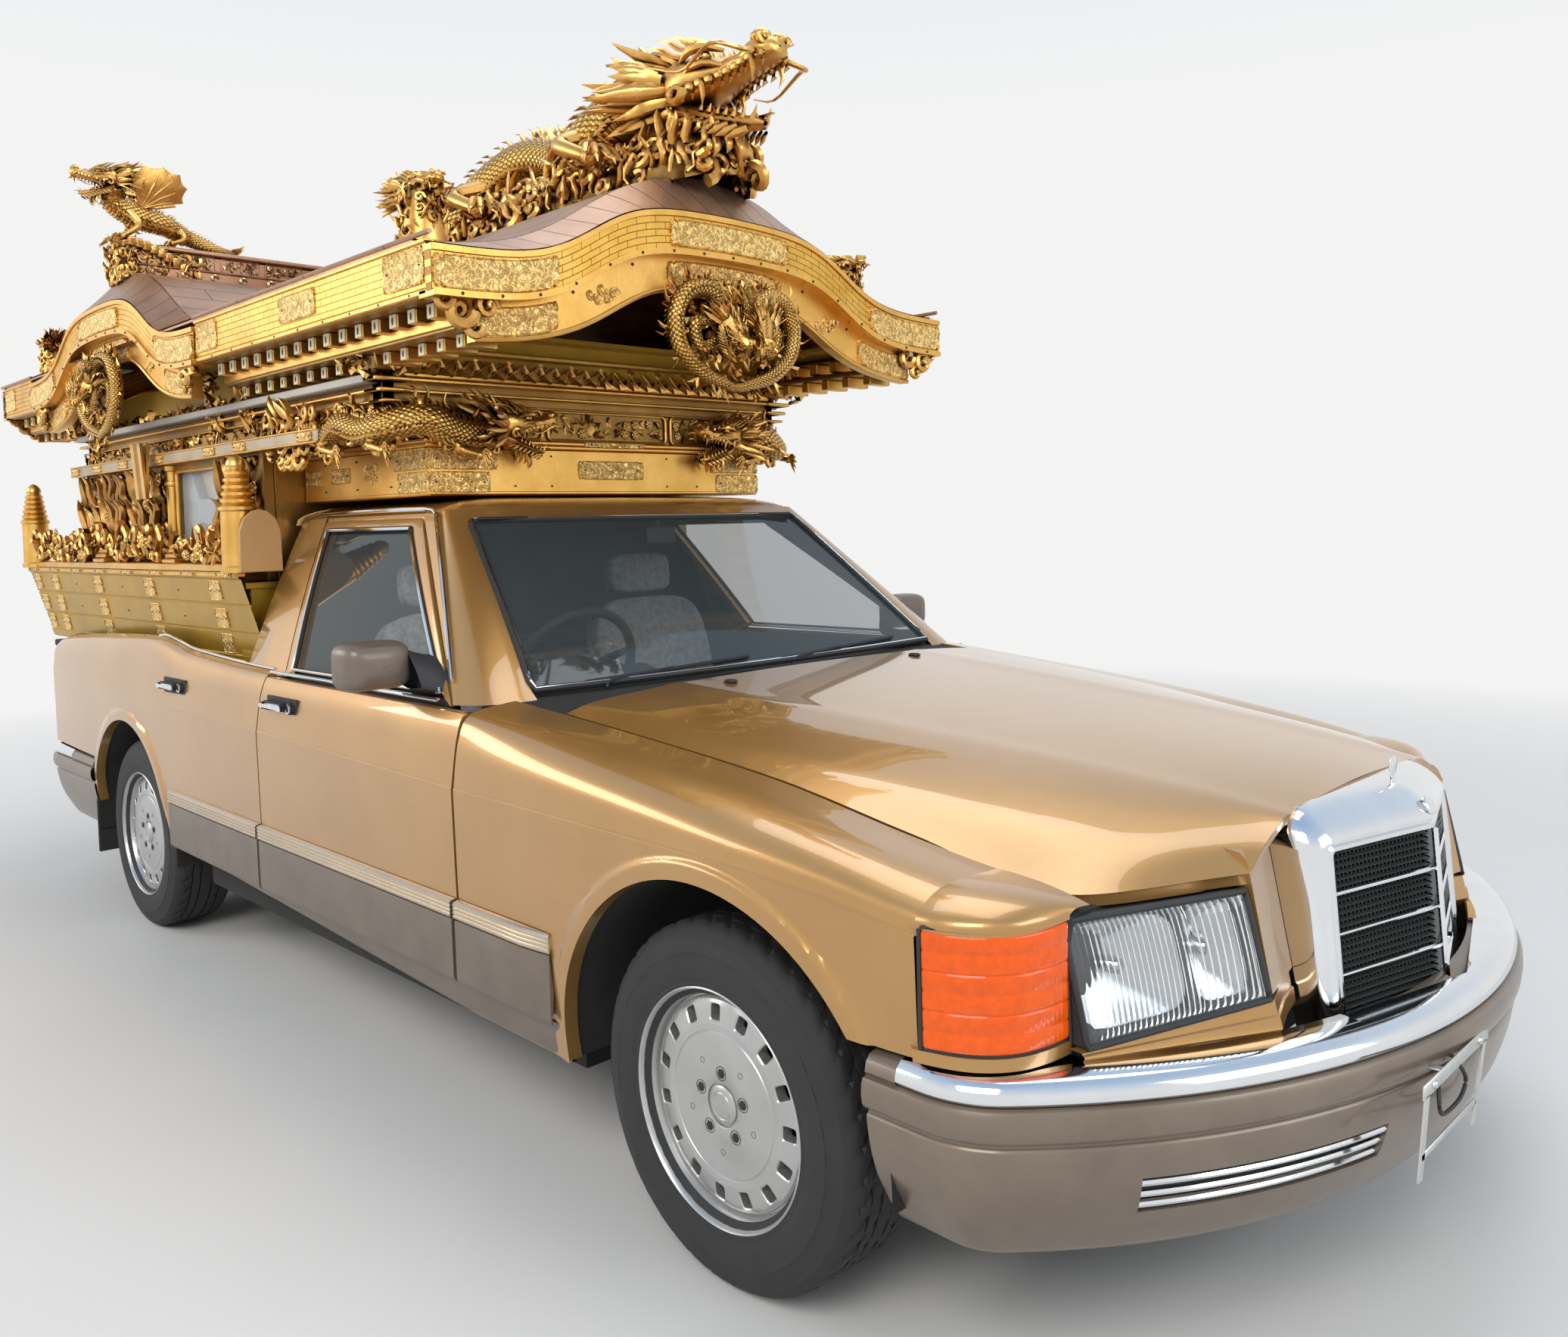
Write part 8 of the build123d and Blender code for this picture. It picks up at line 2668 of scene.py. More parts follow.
def corner_dragons():
    """Dragons that climb round the front corners of the upper wall."""
    skin, trim = Heap(), Heap()
    for side, seed in ((-1, 31), (1, 33)):
        rng = np.random.default_rng(seed)
        if side < 0:
            spine = [(-1990, 716, 1600), (-1900, 722, 1570), (-1800, 728, 1602), (-1690, 724, 1572),
                     (-1590, 728, 1604), (-1490, 716, 1580), (-1400, 690, 1590), (-1352, 620, 1606),
                     (-1346, 540, 1574), (-1346, 460, 1566), (-1340, 400, 1580)]
            head_at, ahead = (-1338, 410, 1582), (0.12, -1, 0.05)
        else:
            spine = [(-1760, 712, 1600), (-1640, 722, 1566), (-1530, 722, 1600), (-1430, 700, 1572),
                     (-1362, 650, 1560), (-1346, 580, 1590), (-1346, 500, 1566), (-1340, 430, 1572)]
            head_at, ahead = (-1338, 440, 1574), (0.12, -1, 0.02)
        part_skin, part = Heap(), Heap()
        dragon_body(part_skin, part, spine,
                    np.interp(np.linspace(0, 1, len(spine)), (0, 0.25, 0.7, 1), (9, 30, 42, 38)), fin=0.9,
                    belly=False, scale=12, sides=16)
        dragon_head(part, local(head_at, ahead, (0.25, 0, 1), 162), mouth=24, mane=40, seed=seed)
        for x, y, z in ((-1346, 520, 1560), (-1420, 704, 1572), (-1640, 730, 1576)):
            out = np.array([1, 0.1, 0]) if y < 600 else np.array([0, 1, 0])
            along = np.array([0, -1.0, 0]) if y < 600 else np.array([1.0, 0, 0])
            hip = np.array([x, y, z], float)
            dragon_leg(part, hip, hip + out * 26 - (0, 0, 30) - along * 20,
                       hip + out * 22 + along * 42 - (0, 0, 46), 15, along - (0, 0, 0.3), spread=(0, 0, 1))
        spots = []
        for x, y, z in smooth_path(spine, 34):
            out = (1, 0.1, 0.1) if y < 640 and x > -1420 else (0, 1, 0.1)
            for dz in (-44, 40):
                spots.append(((x - out[0] * 14, y - out[1] * 14, z + dz + rng.uniform(-12, 12)), out))
        clouds(part, spots, rng, size=(16, 30), flames=0.5)
        for x, y, z in spine[:3]:
            clouds(part, [((x + dx, y + 12, z + dz), (0, 1, 0.1)) for dx in (-50, 0, 50)
                          for dz in (-46, 0, 46)], rng, size=(24, 38), flames=0.3)
        turn = other_side if side < 0 else (lambda p: p)
        skin.merge(part_skin, turn)
        trim.merge(part, turn)
    skin.build("corner_dragon_scales", SCALED, slot="carved_gilt")
    trim.build("corner_dragon_carving", MATERIALS["carved_gilt"], slot="carved_gilt", limit=44000)


def frieze_boards(wood, gold, grey):
    """Plain boards of the upper wall, its stepped gilt ledges and the grey cornice."""
    for side in (-1, 1):
        slab(grey, (-3860, -1440), (side * 690, side * 742), (1699, 1722), 3)
    for z0, z1, out in ((1650, 1658, 12), (1676, 1686, 24), (1703, 1714, 38)):
        slab(gold, (-3882 - out, -3800), (-700 - out, 700 + out), (z0, z1))
        slab(gold, (-3800, -1384 + out * 0.2), (640, 700 + out), (z0, z1))
        slab(gold, (-3800, -1384 + out * 0.2), (-700 - out, -640), (z0, z1))
        slab(gold, (-1470, -1420 + out), (-700 - out, 700 + out), (z0, z1))
    slab(wood, (-1472, -1421), (-699, 699), (1641, 1729))
    for side in (-1, 1):
        slab(wood, (-3871, -1421), (side * 662, side * 699), (1641, 1729))
        slab(wood, (-2146, -1402), (side * 592, side * 638), (1561, 1650))
        slab(wood, (-3871, -3834), (side * 492, side * 699), (1641, 1729))
    slab(wood, (-3871, -3834), (-492, 492), (1697, 1729))
    slab(wood, (-1446, -1402), (-638, 638), (1561, 1650))


def frieze_front(gold, carved, rng):
    """Three framed panels over the windscreen, and the beam of waves above them."""
    front = facing("x", -1401)
    for middle, half in ((-424, 190), (0, 214), (424, 190)):
        part, frame_part = Heap(), Heap()
        foliage(part, middle - half + 14, middle + half - 14, 1576, 1640, 0, rng, 30, bloom=0.2)
        fitted(part, middle - half + 6, middle + half - 6, 1570, 1646)
        panel_frame(frame_part, middle - half, middle + half, 1566, 1648, 5)
        carved.merge(part, front)
        gold.merge(frame_part, front)
    beam = Heap()
    for k, u in enumerate(np.linspace(-620, 620, 25)):
        hand = 1 if u < 0 else -1
        volute(beam, (u, 1744, 6), 27, (1, 0, 0), (0, 1, 0), 1.6, hand, fat=0.40, lift=0.9, steps=18,
               sides=6)
        lock(beam, (u, 1722, 4), (0.8 * hand, 0.5, 0.3), (0, 0.6, 0), 56, 9, steps=7, sides=6)
        if k % 2:
            volute(beam, (u + 22, 1768, 2), 17, (1, 0, 0), (0, 1, 0), 1.4, -hand, fat=0.42, lift=0.8,
                   steps=14, sides=6)
    carved.merge(beam, facing("x", -1386))
    slab(gold, (-1420, -1388), (-650, 650), (1716, 1728))
    slab(gold, (-1440, -1396), (-640, 640), (1786, 1800))


def cloud_clusters(rng):
    """Clouds round the two corners of one side, and on three brackets along it."""
    cluster = Heap()
    for x0, x1, y0, y1 in ((-1500, -1350, 640, 760), (-3960, -3830, 640, 760)):
        for x in np.linspace(x0, x1, 5):
            for z in np.linspace(1735, 1822, 4):
                for y, out in ((y1, (0, 1, 0.1)), ((y0 + y1) / 2, (1 if x > -2000 else -1, 0.3, 0.1))):
                    spot = (x + rng.uniform(-10, 10), y + rng.uniform(-16, 4), z)
                    clouds(cluster, [(spot, out)], rng, size=(18, 30), flames=0.35)
    for x in (-2230, -2480, -3700):
        for z in np.linspace(1640, 1815, 6):
            for dx in np.linspace(-46, 46, 4):
                spot = (x + dx, 715 + 26 * (z - 1640) / 175, z)
                clouds(cluster, [(spot, (0, 1, 0.1))], rng, size=(16, 27), flames=0.3)
    return cluster


def dress_frieze():
    """Upper wall: framed panels below, a beam of waves above, dark clusters at the corners."""
    rng = np.random.default_rng(17)
    wood, gold, grey, carved = Heap(), Heap(), Heap(), Heap()
    frieze_boards(wood, gold, grey)
    frieze_front(gold, carved, rng)
    for sign in (-1, 1):
        part = Heap()
        foliage(part, -3860, -1440, 1612, 1648, 8, rng, 34, bloom=0.1)
        fitted(part, -3866, -1430, 1603, 1650)
        carved.merge(part, side_face(702, sign))
        part = Heap()
        foliage(part, -3850, -1440, 1716, 1772, 2, rng, 46, bloom=0.12)
        carved.merge(part, side_face(640, sign))
        carved.merge(cloud_clusters(rng), (lambda p: p) if sign > 0 else other_side)
    wood.build("frieze_board", MATERIALS["dark_gilt"], replaces=("frieze",), slot="gilt")
    gold.build("frieze_ledges", MATERIALS["gilt"], slot="gilt")
    grey.build("frieze_cornice", MATERIALS["grey_board"], slot="gilt")
    carved.build("frieze_carving", MATERIALS["carved_gilt"], slot="carved_gilt", limit=44000)


def plate_at(plates, nails, face, u, v, half_length, half_height, out=0.0):
    """Wavy-ended plate with a dark nail at each end."""
    one, two = Heap(), Heap()
    scalloped(one, u, half_length, half_height, out, level(v), rim=2.5, thick=3.0)
    for way in (-1, 1):
        two.ball((u + way * half_length * 0.80, v, out + 3.5), (3.0, 3.0, 2.0), 5, 7)
    plates.merge(one, face)
    nails.merge(two, face)


def dress_band_box():
    """Gilt box on the cab roof with its plates and nails."""
    gold, plates, nails = Heap(), Heap(), Heap()
    slab(gold, (-2147, -1390), (-590, 590), (1413, 1540), 5)
    slab(gold, (-2148, -1388.5), (-591.5, 591.5), (1411, 1424), 4)
    slab(gold, (-2148, -1376), (-604, 604), (1538, 1549), 3)
    slab(gold, (-2148, -1368), (-612, 612), (1549, 1560), 3)
    front = facing("x", -1390)
    plate_at(plates, nails, front, 0, 1482, 118, 27)
    plate_at(plates, nails, facing("x", -1368), 0, 1554, 108, 7)
    for way in (-1, 1):
        plate_at(plates, nails, front, way * 488, 1508, 102, 29)
        plate_at(plates, nails, front, way * 500, 1446, 90, 29)
        wall = side_face(590, way)
        plate_at(plates, nails, wall, -1484, 1508, 94, 29)
        plate_at(plates, nails, wall, -1474, 1446, 84, 29)
        bloom = Heap()
        for u, v, r in ((0, 0, 20), (-30, 12, 14), (30, 12, 14), (-26, -18, 13), (26, -18, 13),
                        (0, -28, 12)):
            flower(bloom, (-1716 + u, 1486 + v, 1), r)
        plates.merge(bloom, wall)
        plate_at(plates, nails, wall, -1900, 1482, 56, 22)
        plate_at(plates, nails, wall, -2080, 1482, 50, 22)
        for x in (-1600, -1800, -2000):
            nails.ball((x, way * 592, 1518), (3, 2.4, 3), 5, 7)
            nails.ball((x, way * 592, 1440), (3, 2.4, 3), 5, 7)
        for y in (210, 330):
            nails.ball((-1388.5, way * y, 1520), (2.4, 3, 3), 5, 7)
            nails.ball((-1388.5, way * y, 1436), (2.4, 3, 3), 5, 7)
    gold.build("band_box", MATERIALS["gilt"], replaces=("roof_band",), slot="gilt")
    plates.build("band_plates", ENGRAVED, slot="gilt")
    nails.build("band_nails", MATERIALS["dark_nails"], slot="gilt")


def eave_board(brick, rear_x, front_x, side):
    """Scored board along one stretch of an eave."""
    rows, uvs = [], []
    xs = np.linspace(rear_x, front_x, max(4, int((front_x - rear_x) / 40)))
    for z, out in ((1946, -28), (1946, -2), (1944, 0), (1842, 0), (1840, -2), (1839, -28)):
        rows.append(np.stack([xs, np.full(len(xs), z), np.full(len(xs), out)], -1))
        uvs.append(np.stack([xs, np.full(len(xs), z - 1839.0)], -1))
    brick.grid(side_face(863, side)(np.array(rows)), uv=np.array(uvs))


def rafters(gold, tips, spots, x0, x1, count, side):
    """Two rows of rafters with pale end plates and a dark spot on each."""
    for number in range(count):
        x = x0 + (x1 - x0) * (number + 0.5) / count
        slab(gold, (x - 17, x + 17), (side * 690, side * 810), (1789, 1824), 3)
        slab(tips, (x - 16, x + 16), (side * 810, side * 813.5), (1790, 1823), 1.5)
        spots.ball((x, side * 813.5, 1806.5), (4.5, 1.6, 10), 5, 9)
        slab(gold, (x - 15, x + 15), (side * 650, side * 740), (1731, 1763), 3)
        slab(tips, (x - 14, x + 14), (side * 740, side * 743), (1732, 1762), 1.5)
        spots.ball((x, side * 743, 1747), (4, 1.5, 8.5), 5, 9)


def dress_eaves():
    """Scored side boards with plates, and two rows of rafters with pale tips."""
    brick, gold, plates, nails, tips, spots, board = Heap(), Heap(), Heap(), Heap(), Heap(), Heap(), Heap()
    front_plates = ((-1530, 105, 34), (-975, 92, 42), (-2140, 78, 42))
    for rear_x, front_x, rear_room, front_room in ((-2226.7, -875.3, 0, 36), (-4375.7, -3963.3, 36, 0)):
        in_front = front_x > CROSS_X
        for side in (-1, 1):
            eave_board(brick, rear_x, front_x, side)
            slab(gold, (rear_x, front_x), (side * 840, side * 868), (1937, 1947), 2)
            slab(gold, (rear_x, front_x), (side * 760, side * 866), (1826, 1840), 3)
            x0, x1 = rear_x + rear_room, front_x - front_room
            slab(board, (x0, x1), (side * 704, side * 780), (1774, 1789), 2)
            slab(gold, (x0, x1), (side * 780, side * 786), (1770, 1792), 2)
            slab(board, (x0, x1), (side * 642, side * 780), (1763, 1774), 2)
            slab(board, (x0, x1), (side * 690, side * 850), (1824, 1828), 1)
            rafters(gold, tips, spots, x0, x1, max(2, round((front_x - rear_x) / 92)), side)
            for x, half_length, half_height in front_plates if in_front else ((-4290, 74, 42),):
                plate_at(plates, nails, side_face(863, side), x, 1893, half_length, half_height)
            for x in np.linspace(-2100, -950, 9) if in_front else ():
                nails.ball((x, side * 866, 1833), (3.4, 2.4, 3.4), 5, 7)
    brick.build("eave_fascia", BRICK, replaces=("eave_boards",), slot="gilt")
    gold.build("eave_rafters", MATERIALS["gilt"], slot="gilt")
    plates.build("eave_plates", ENGRAVED, slot="gilt")
    nails.merge(spots)
    nails.build("eave_nails", MATERIALS["dark_nails"], slot="gilt")
    tips.build("rafter_tips", MATERIALS["cream_tips"], slot="gilt")
    board.build("eave_boarding", MATERIALS["dark_gilt"], slot="gilt")


def column(heap, x, y, z0, z1, radius, rings=()):
    """Round column with a foot, a head and rings."""
    profile = [(0.01, z0), (radius + 5, z0), (radius + 5, z0 + 14), (radius, z0 + 20)]
    for z in rings:
        profile += [(radius, z - 9), (radius + 5, z - 6), (radius + 6, z), (radius + 5, z + 6),
                    (radius, z + 9)]
    profile += [(radius, z1 - 20), (radius + 6, z1 - 14), (radius + 6, z1), (0.01, z1)]
    heap.turned([(r, z - z0) for r, z in profile], (x, y, z0), (0, 0, 1), 28)


WALL_Y = 714
WALL_Z = (1181, 1640)
WALL_RAIL_Y = 761
WINDOW_X = (-2862, -2468)


def side_boards(wood, side):
    """Side wall round its window opening, and the half of the rear wall beside the leaves."""
    thickness = (side * 682, side * WALL_Y)
    for x0, x1 in ((-3862, -2862), (-2468, -2151)):
        slab(wood, (x0, x1), thickness, WALL_Z, 2)
    slab(wood, WINDOW_X, thickness, (1181, 1299), 2)
    slab(wood, WINDOW_X, thickness, (1541, 1640), 2)
    slab(wood, (-3862, -3826), (side * 488, side * WALL_Y), WALL_Z, 2)


def wall_columns(gold, side):
    """Moulded frame round the side window, and the round columns between the carved panels."""
    frame_part = Heap()
    panel_frame(frame_part, -2858, -2472, 1302, 1538, 4, 10, 6)
    gold.merge(frame_part, side_face(WALL_Y, side))
    for x in (-2900, -3260, -3560):
        column(gold, x, side * 718, 1182, 1560, 20, rings=(1230, 1500))


def wall_relief(carved, side, rng):
    """Standing leaves, flowers and scrolls in the four panels of a side wall."""
    for x0, x1 in ((-2450, -2166), (-3236, -2924), (-3540, -3284), (-3826, -3580)):
        part = Heap()
        foliage(part, x0, x1, 1225, 1552, 2, rng, 56, bloom=0.04, rise=1.4)
        for x in np.linspace(x0 + 24, x1 - 24, max(3, int((x1 - x0) / 62))):
            for low in (1215, 1330, 1440):
                lock(part, (x + rng.uniform(-12, 12), low, 14), (rng.uniform(-0.4, 0.4), 1, 0.25),
                     (rng.uniform(-1, 1), 0, 0.2), rng.uniform(110, 150), rng.uniform(15, 21),
                     flat=0.8, wave=1.8, steps=9, sides=6)
            if rng.uniform() < 0.5:
                flower(part, (x, rng.uniform(1260, 1530), 34), rng.uniform(22, 30))
        fitted(part, x0 - 6, x1 + 6, 1206, 1558)
        carved.merge(part, side_face(WALL_Y, side))


def wall_rails(rail, gold, plates, nails, side):
    """Grey rail along the head of a side wall, with gilt edges and engraved plates."""
    length = (-3892, -1672)
    slab(rail, length, (side * 712, side * WALL_RAIL_Y), (1563, 1601), 3)
    slab(gold, length, (side * 758, side * 764), (1596, 1602), 1.5)
    slab(gold, length, (side * 758, side * 764), (1562, 1568), 1.5)
    for x in (-1750, -2200, -2440, -2900, -3260, -3560, -3830):
        plate_at(plates, nails, side_face(WALL_RAIL_Y, side), x, 1582, 46, 13)


def window_cloth(cloth, side):
    """Gathered cloth behind the side window, drawn aside towards its foot."""
    fold = []
    for z in np.linspace(1306, 1536, 14):
        reach = -2860 + 60 + (z - 1306) / 230 * 210
        fold.append([(x, side * (664 + 7 * math.sin(x * 0.13 + z * 0.01)), z)
                     for x in np.linspace(-2856, reach, 30)])
    cloth.grid(np.array(fold))


def hanging_boards(gold, side):
    """Two pairs of crossed boards that hang from the eaves before a side wall."""
    for lean, x in ((0.0, -3012), (14.0, -2986)):
        for dy in (0, 22):
            rows = []
            for t in np.linspace(0, 1, 6):
                z = 1640 - 190 * t
                xx, yy = x + 60 * t + lean * 0.2, 772 + 26 * t + dy - 20 * t * (dy > 0)
                rows.append([(xx - 34, side * yy, z), (xx + 34, side * yy, z),
                             (xx + 34, side * (yy + 9), z), (xx - 34, side * (yy + 9), z)])
            gold.grid(np.array(rows), around=True)
            gold.add(rows[0], [(0, 1, 2, 3)])
            gold.add(rows[-1], [(0, 1, 2, 3)])


def rear_leaves(rng):
    """The two leaves of the rear doorway, each with a carved relief on its outer face."""
    for side, name in ((1, "left"), (-1, "right")):
        leaf, relief = Heap(), Heap()
        slab(leaf, (-3862, -3828.5), (side * 3, side * 483), (1222, 1690), 3)
        slab(leaf, (-3868, -3860), (side * 24, side * 462), (1250, 1662), 3)
        part = Heap()
        foliage(part, side * 243 - 190, side * 243 + 190, 1290, 1625, 0, rng, 52, bloom=0.2)
        fitted(part, side * 243 - 200, side * 243 + 200, 1272, 1640)
        for block in part.points:
            block[:, 2] = np.clip(block[:, 2], -4, 20)
        relief.merge(part, lambda p: np.stack([-3868 - p[..., 2], p[..., 0], p[..., 1]], -1))
        body = f"rear_door_{name}"
        leaf.build(f"rear_leaf_{name}", MATERIALS["gilt"], body, replaces=(body,), slot="gilt")
        relief.build(f"rear_relief_{name}", MATERIALS["carved_gilt"], body, slot="carved_gilt", limit=9000)


def dress_walls():
    """Walls of the shrine, with their carving, columns, rails, cloth and rear leaves."""
    rng = np.random.default_rng(23)
    wood, gold, carved, rail, plates, nails, cloth = Heap(), Heap(), Heap(), Heap(), Heap(), Heap(), Heap()
    for side in (-1, 1):
        side_boards(wood, side)
        wall_columns(gold, side)
        wall_relief(carved, side, rng)
        wall_rails(rail, gold, plates, nails, side)
        window_cloth(cloth, side)
        hanging_boards(gold, side)
    slab(wood, (-2186, -2151), (-680, 680), WALL_Z, 2)
    slab(wood, (-3862, -3830), (-488, 488), (1693, 1700), 2)
    wood.build("wall_boards", MATERIALS["dark_gilt"], replaces=("walls",), slot="gilt")
    gold.build("wall_posts", MATERIALS["gilt"], slot="gilt")
    carved.build("wall_carving", MATERIALS["wall_carving"], slot="carved_gilt", limit=66000)
    rail.build("wall_rail", MATERIALS["grey_gold"], slot="gilt")
    plates.build("wall_plates", ENGRAVED, slot="gilt")
    nails.build("wall_nails", MATERIALS["dark_nails"], slot="gilt")
    cloth.build("window_drape", MATERIALS["drape"], slot="interior_trim")
    rear_leaves(rng)


def nail_row(x, heights, face):
    """Small nail heads in a column."""
    part = Heap()
    for z in heights:
        part.ball((x, z, 0.5), (3, 3, 2), 5, 7)
    whole = Heap()
    whole.merge(part, face)
    return whole


FENCE_Y = 810
LEDGE_Z = 1211
TUB_FOOT_Z = 928
TUB_HEIGHT = 282


def tub_spread(z):
    """Half width of the flared tub at height z."""
    return 770 + 56 * (z - TUB_FOOT_Z) / TUB_HEIGHT


def fence_relief(carved, side, rng):
    """Carved fence on the ledge: two rows of leaves back to back, with a waved top."""
    for x0, x1 in ((-4180, -3420), (-3270, -2700), (-2560, -2175)):
        for face_out, flip in ((10, 1), (-10, -1)):
            part = Heap()
            foliage(part, x0, x1, 1240, 1352, 4, rng, 52 if flip > 0 else 74, bloom=0.12, rise=1.6)
            for block in part.points:
                top = 1338 + 26 * np.sin(block[:, 0] * 0.021) + 10 * np.sin(block[:, 0] * 0.06)
                block[:, 1] = 1236 + (block[:, 1] - 1236) * (top - 1236) / 120
                block[:, 2] = face_out + flip * np.clip(block[:, 2], -12, 30)
            carved.merge(fitted(part, x0 - 10, x1 + 10, 1230, 1385), side_face(FENCE_Y, side))


def fence_posts(gold, side):
    """Stepped blocks between the fence panels, and the ringed posts at both ends."""
    for x0, x1 in ((-3405, -3285), (-2685, -2575)):
        for k in range(3):
            step = 8 * k
            slab(gold, (x0 + step, x1 - step), (side * (FENCE_Y - 26 + step), side * (FENCE_Y + 26 - step)),
                 (1236 + 16 * k, 1250 + 16 * k), 3)
    profile = [(0.01, 1211), (53, 1211), (53, 1226), (48, 1232), (47, 1388), (52, 1392), (52, 1402),
               (44, 1408)]
    for ring in range(5):
        z, radius = 1412 + 20 * ring, 46 - 3.4 * ring
        profile += [(radius - 5, z), (radius, z + 3), (radius, z + 11), (radius - 5, z + 15)]
    profile += [(24, 1514), (28, 1522), (25, 1534), (15, 1546), (5, 1552), (0.01, 1553)]
    for x in (-2110, -4240):
        gold.turned(profile, (x, side * FENCE_Y, 0), (0, 0, 1), 24)


def end_board(tan, side):
    """Round-headed wooden board at the front end of the ledge."""
    outline = [(-62, 1212), (62, 1212), (60, 1330), (46, 1368), (22, 1388), (0, 1393), (-22, 1388),
               (-46, 1368), (-60, 1330)]
    layers = ((0, 0.0), (0, 0.97), (-3, 1.0), (-11, 1.0), (-14, 0.97), (-14, 0.0))
    tan.grid(np.array([[(-2040 + lean, side * (FENCE_Y - 36) + u * share, 1300 + (z - 1300) * share)
                        for u, z in outline] for lean, share in layers]), around=True)


def tub_side(tub, side):
    """Flared side of the tub in three boards, cut off in front along the cab's rear slope."""
    rows = []
    for z, out in ((1212, 4), (1204, 6), (1194, 6), (1190, 0), (1118, -0.5), (1115, -4), (1112, -4),
                   (1109, -0.5), (1034, -0.5), (1031, -4), (1028, -4), (1025, -0.5), (962, 0), (958, 5),
                   (934, 5), (929, 0)):
        rear_x = -4180 - 120 * (z - TUB_FOOT_Z) / TUB_HEIGHT
        front_x = -2030 + 130 * (z - TUB_FOOT_Z) / TUB_HEIGHT
        xs = np.linspace(rear_x, min(front_x, -2012 - 103 * (z - BELT_Z) / GLASSHOUSE_HEIGHT - 4), 60)
        rows.append(np.stack([xs, np.full(60, side * (tub_spread(z) + out)), np.full(60, float(z))], -1))
    tub.grid(np.array(rows))


def tub_fittings(plates, nails, side):
    """Engraved plates and nails on a side of the tub and along the edge of the ledge."""
    def face(points):
        p = np.asarray(points, float)
        return np.stack([p[..., 0], side * (tub_spread(p[..., 1]) + p[..., 2]), p[..., 1]], -1)

    for x in (-4228, -3960, -3420, -2870, -2290):
        for z in (1154, 1070, 992):
            plate_at(plates, nails, face, x + (LEDGE_Z - z) * 0.36 * (x < -4000), z, 44, 31, 0)
        nails.merge(nail_row(x + 260, (1150, 1066), face))
    for x in np.linspace(-4200, -2180, 8):
        plate_at(plates, nails, side_face(832, side), x, 1203.5, 60, 6, 0)


def tub_rear(trim):
    """Three boards across the rear end of the tub."""
    for z0, z1 in ((929, 1025), (1031, 1109), (1115, 1196)):
        rows = []
        for z in (z0, z1):
            t = (z - TUB_FOOT_Z) / TUB_HEIGHT
            rows.append([(-4180 - 120 * t, y, z) for y in np.linspace(-(770 + 56 * t), 770 + 56 * t, 20)])
        trim.grid(np.array(rows))


def tub_inside(tub):
    """Top edge, floor and front wall of the tub."""
    inner = []
    for z, inset in ((1211, 0), (1211, 26), (1182, 30)):
        half, rear_x = 826 - inset, -4300 + inset
        inner.append([(-2106, -half, z), (-3000, -half, z), (rear_x, -half, z), (rear_x, 0, z),
                      (rear_x, half, z), (-3000, half, z), (-2106, half, z)])
    tub.grid(np.array(inner))
    slab(tub, (-4270, -2110), (-796, 796), (1160, 1180), 2)
    slab(tub, (-2200, -2116), (-780, 780), (945, 1180), 2)


def dress_deck():
    """Flared tub with its ledge, carved fence, posts, plates and nails."""
    rng = np.random.default_rng(29)
    gold, carved, tub, trim, plates, nails, tan = Heap(), Heap(), Heap(), Heap(), Heap(), Heap(), Heap()
    for side in (-1, 1):
        slab(gold, (-4240, -2110), (side * (FENCE_Y - 15), side * (FENCE_Y + 15)), (LEDGE_Z, 1236), 3)
        fence_relief(carved, side, rng)
        fence_posts(gold, side)
        end_board(tan, side)
        tub_side(tub, side)
        slab(gold, (-4300, -2106), (side * 796, side * 832), (1196, LEDGE_Z), 3)
        tub_fittings(plates, nails, side)
    tub_rear(trim)
    slab(gold, (-4303, -4272), (-830, 830), (1196, 1213), 3)
    tub_inside(tub)
    tub.build("tub_boards", MATERIALS["ochre_lacquer"], replaces=("tub",), slot="ochre_lacquer")
    trim.build("tub_end", MATERIALS["red_wood"], slot="ochre_lacquer")
    gold.build("deck_posts", MATERIALS["gilt"], replaces=("deck_rail",), slot="gilt")
    carved.build("deck_carving", MATERIALS["carved_gilt"], slot="carved_gilt", limit=66000)
    plates.build("tub_plates", ENGRAVED, slot="gilt", limit=9000)
    nails.build("tub_nails", MATERIALS["dark_nails"], slot="gilt")
    tan.build("post_boards", MATERIALS["tan_board"], slot="ochre_lacquer")


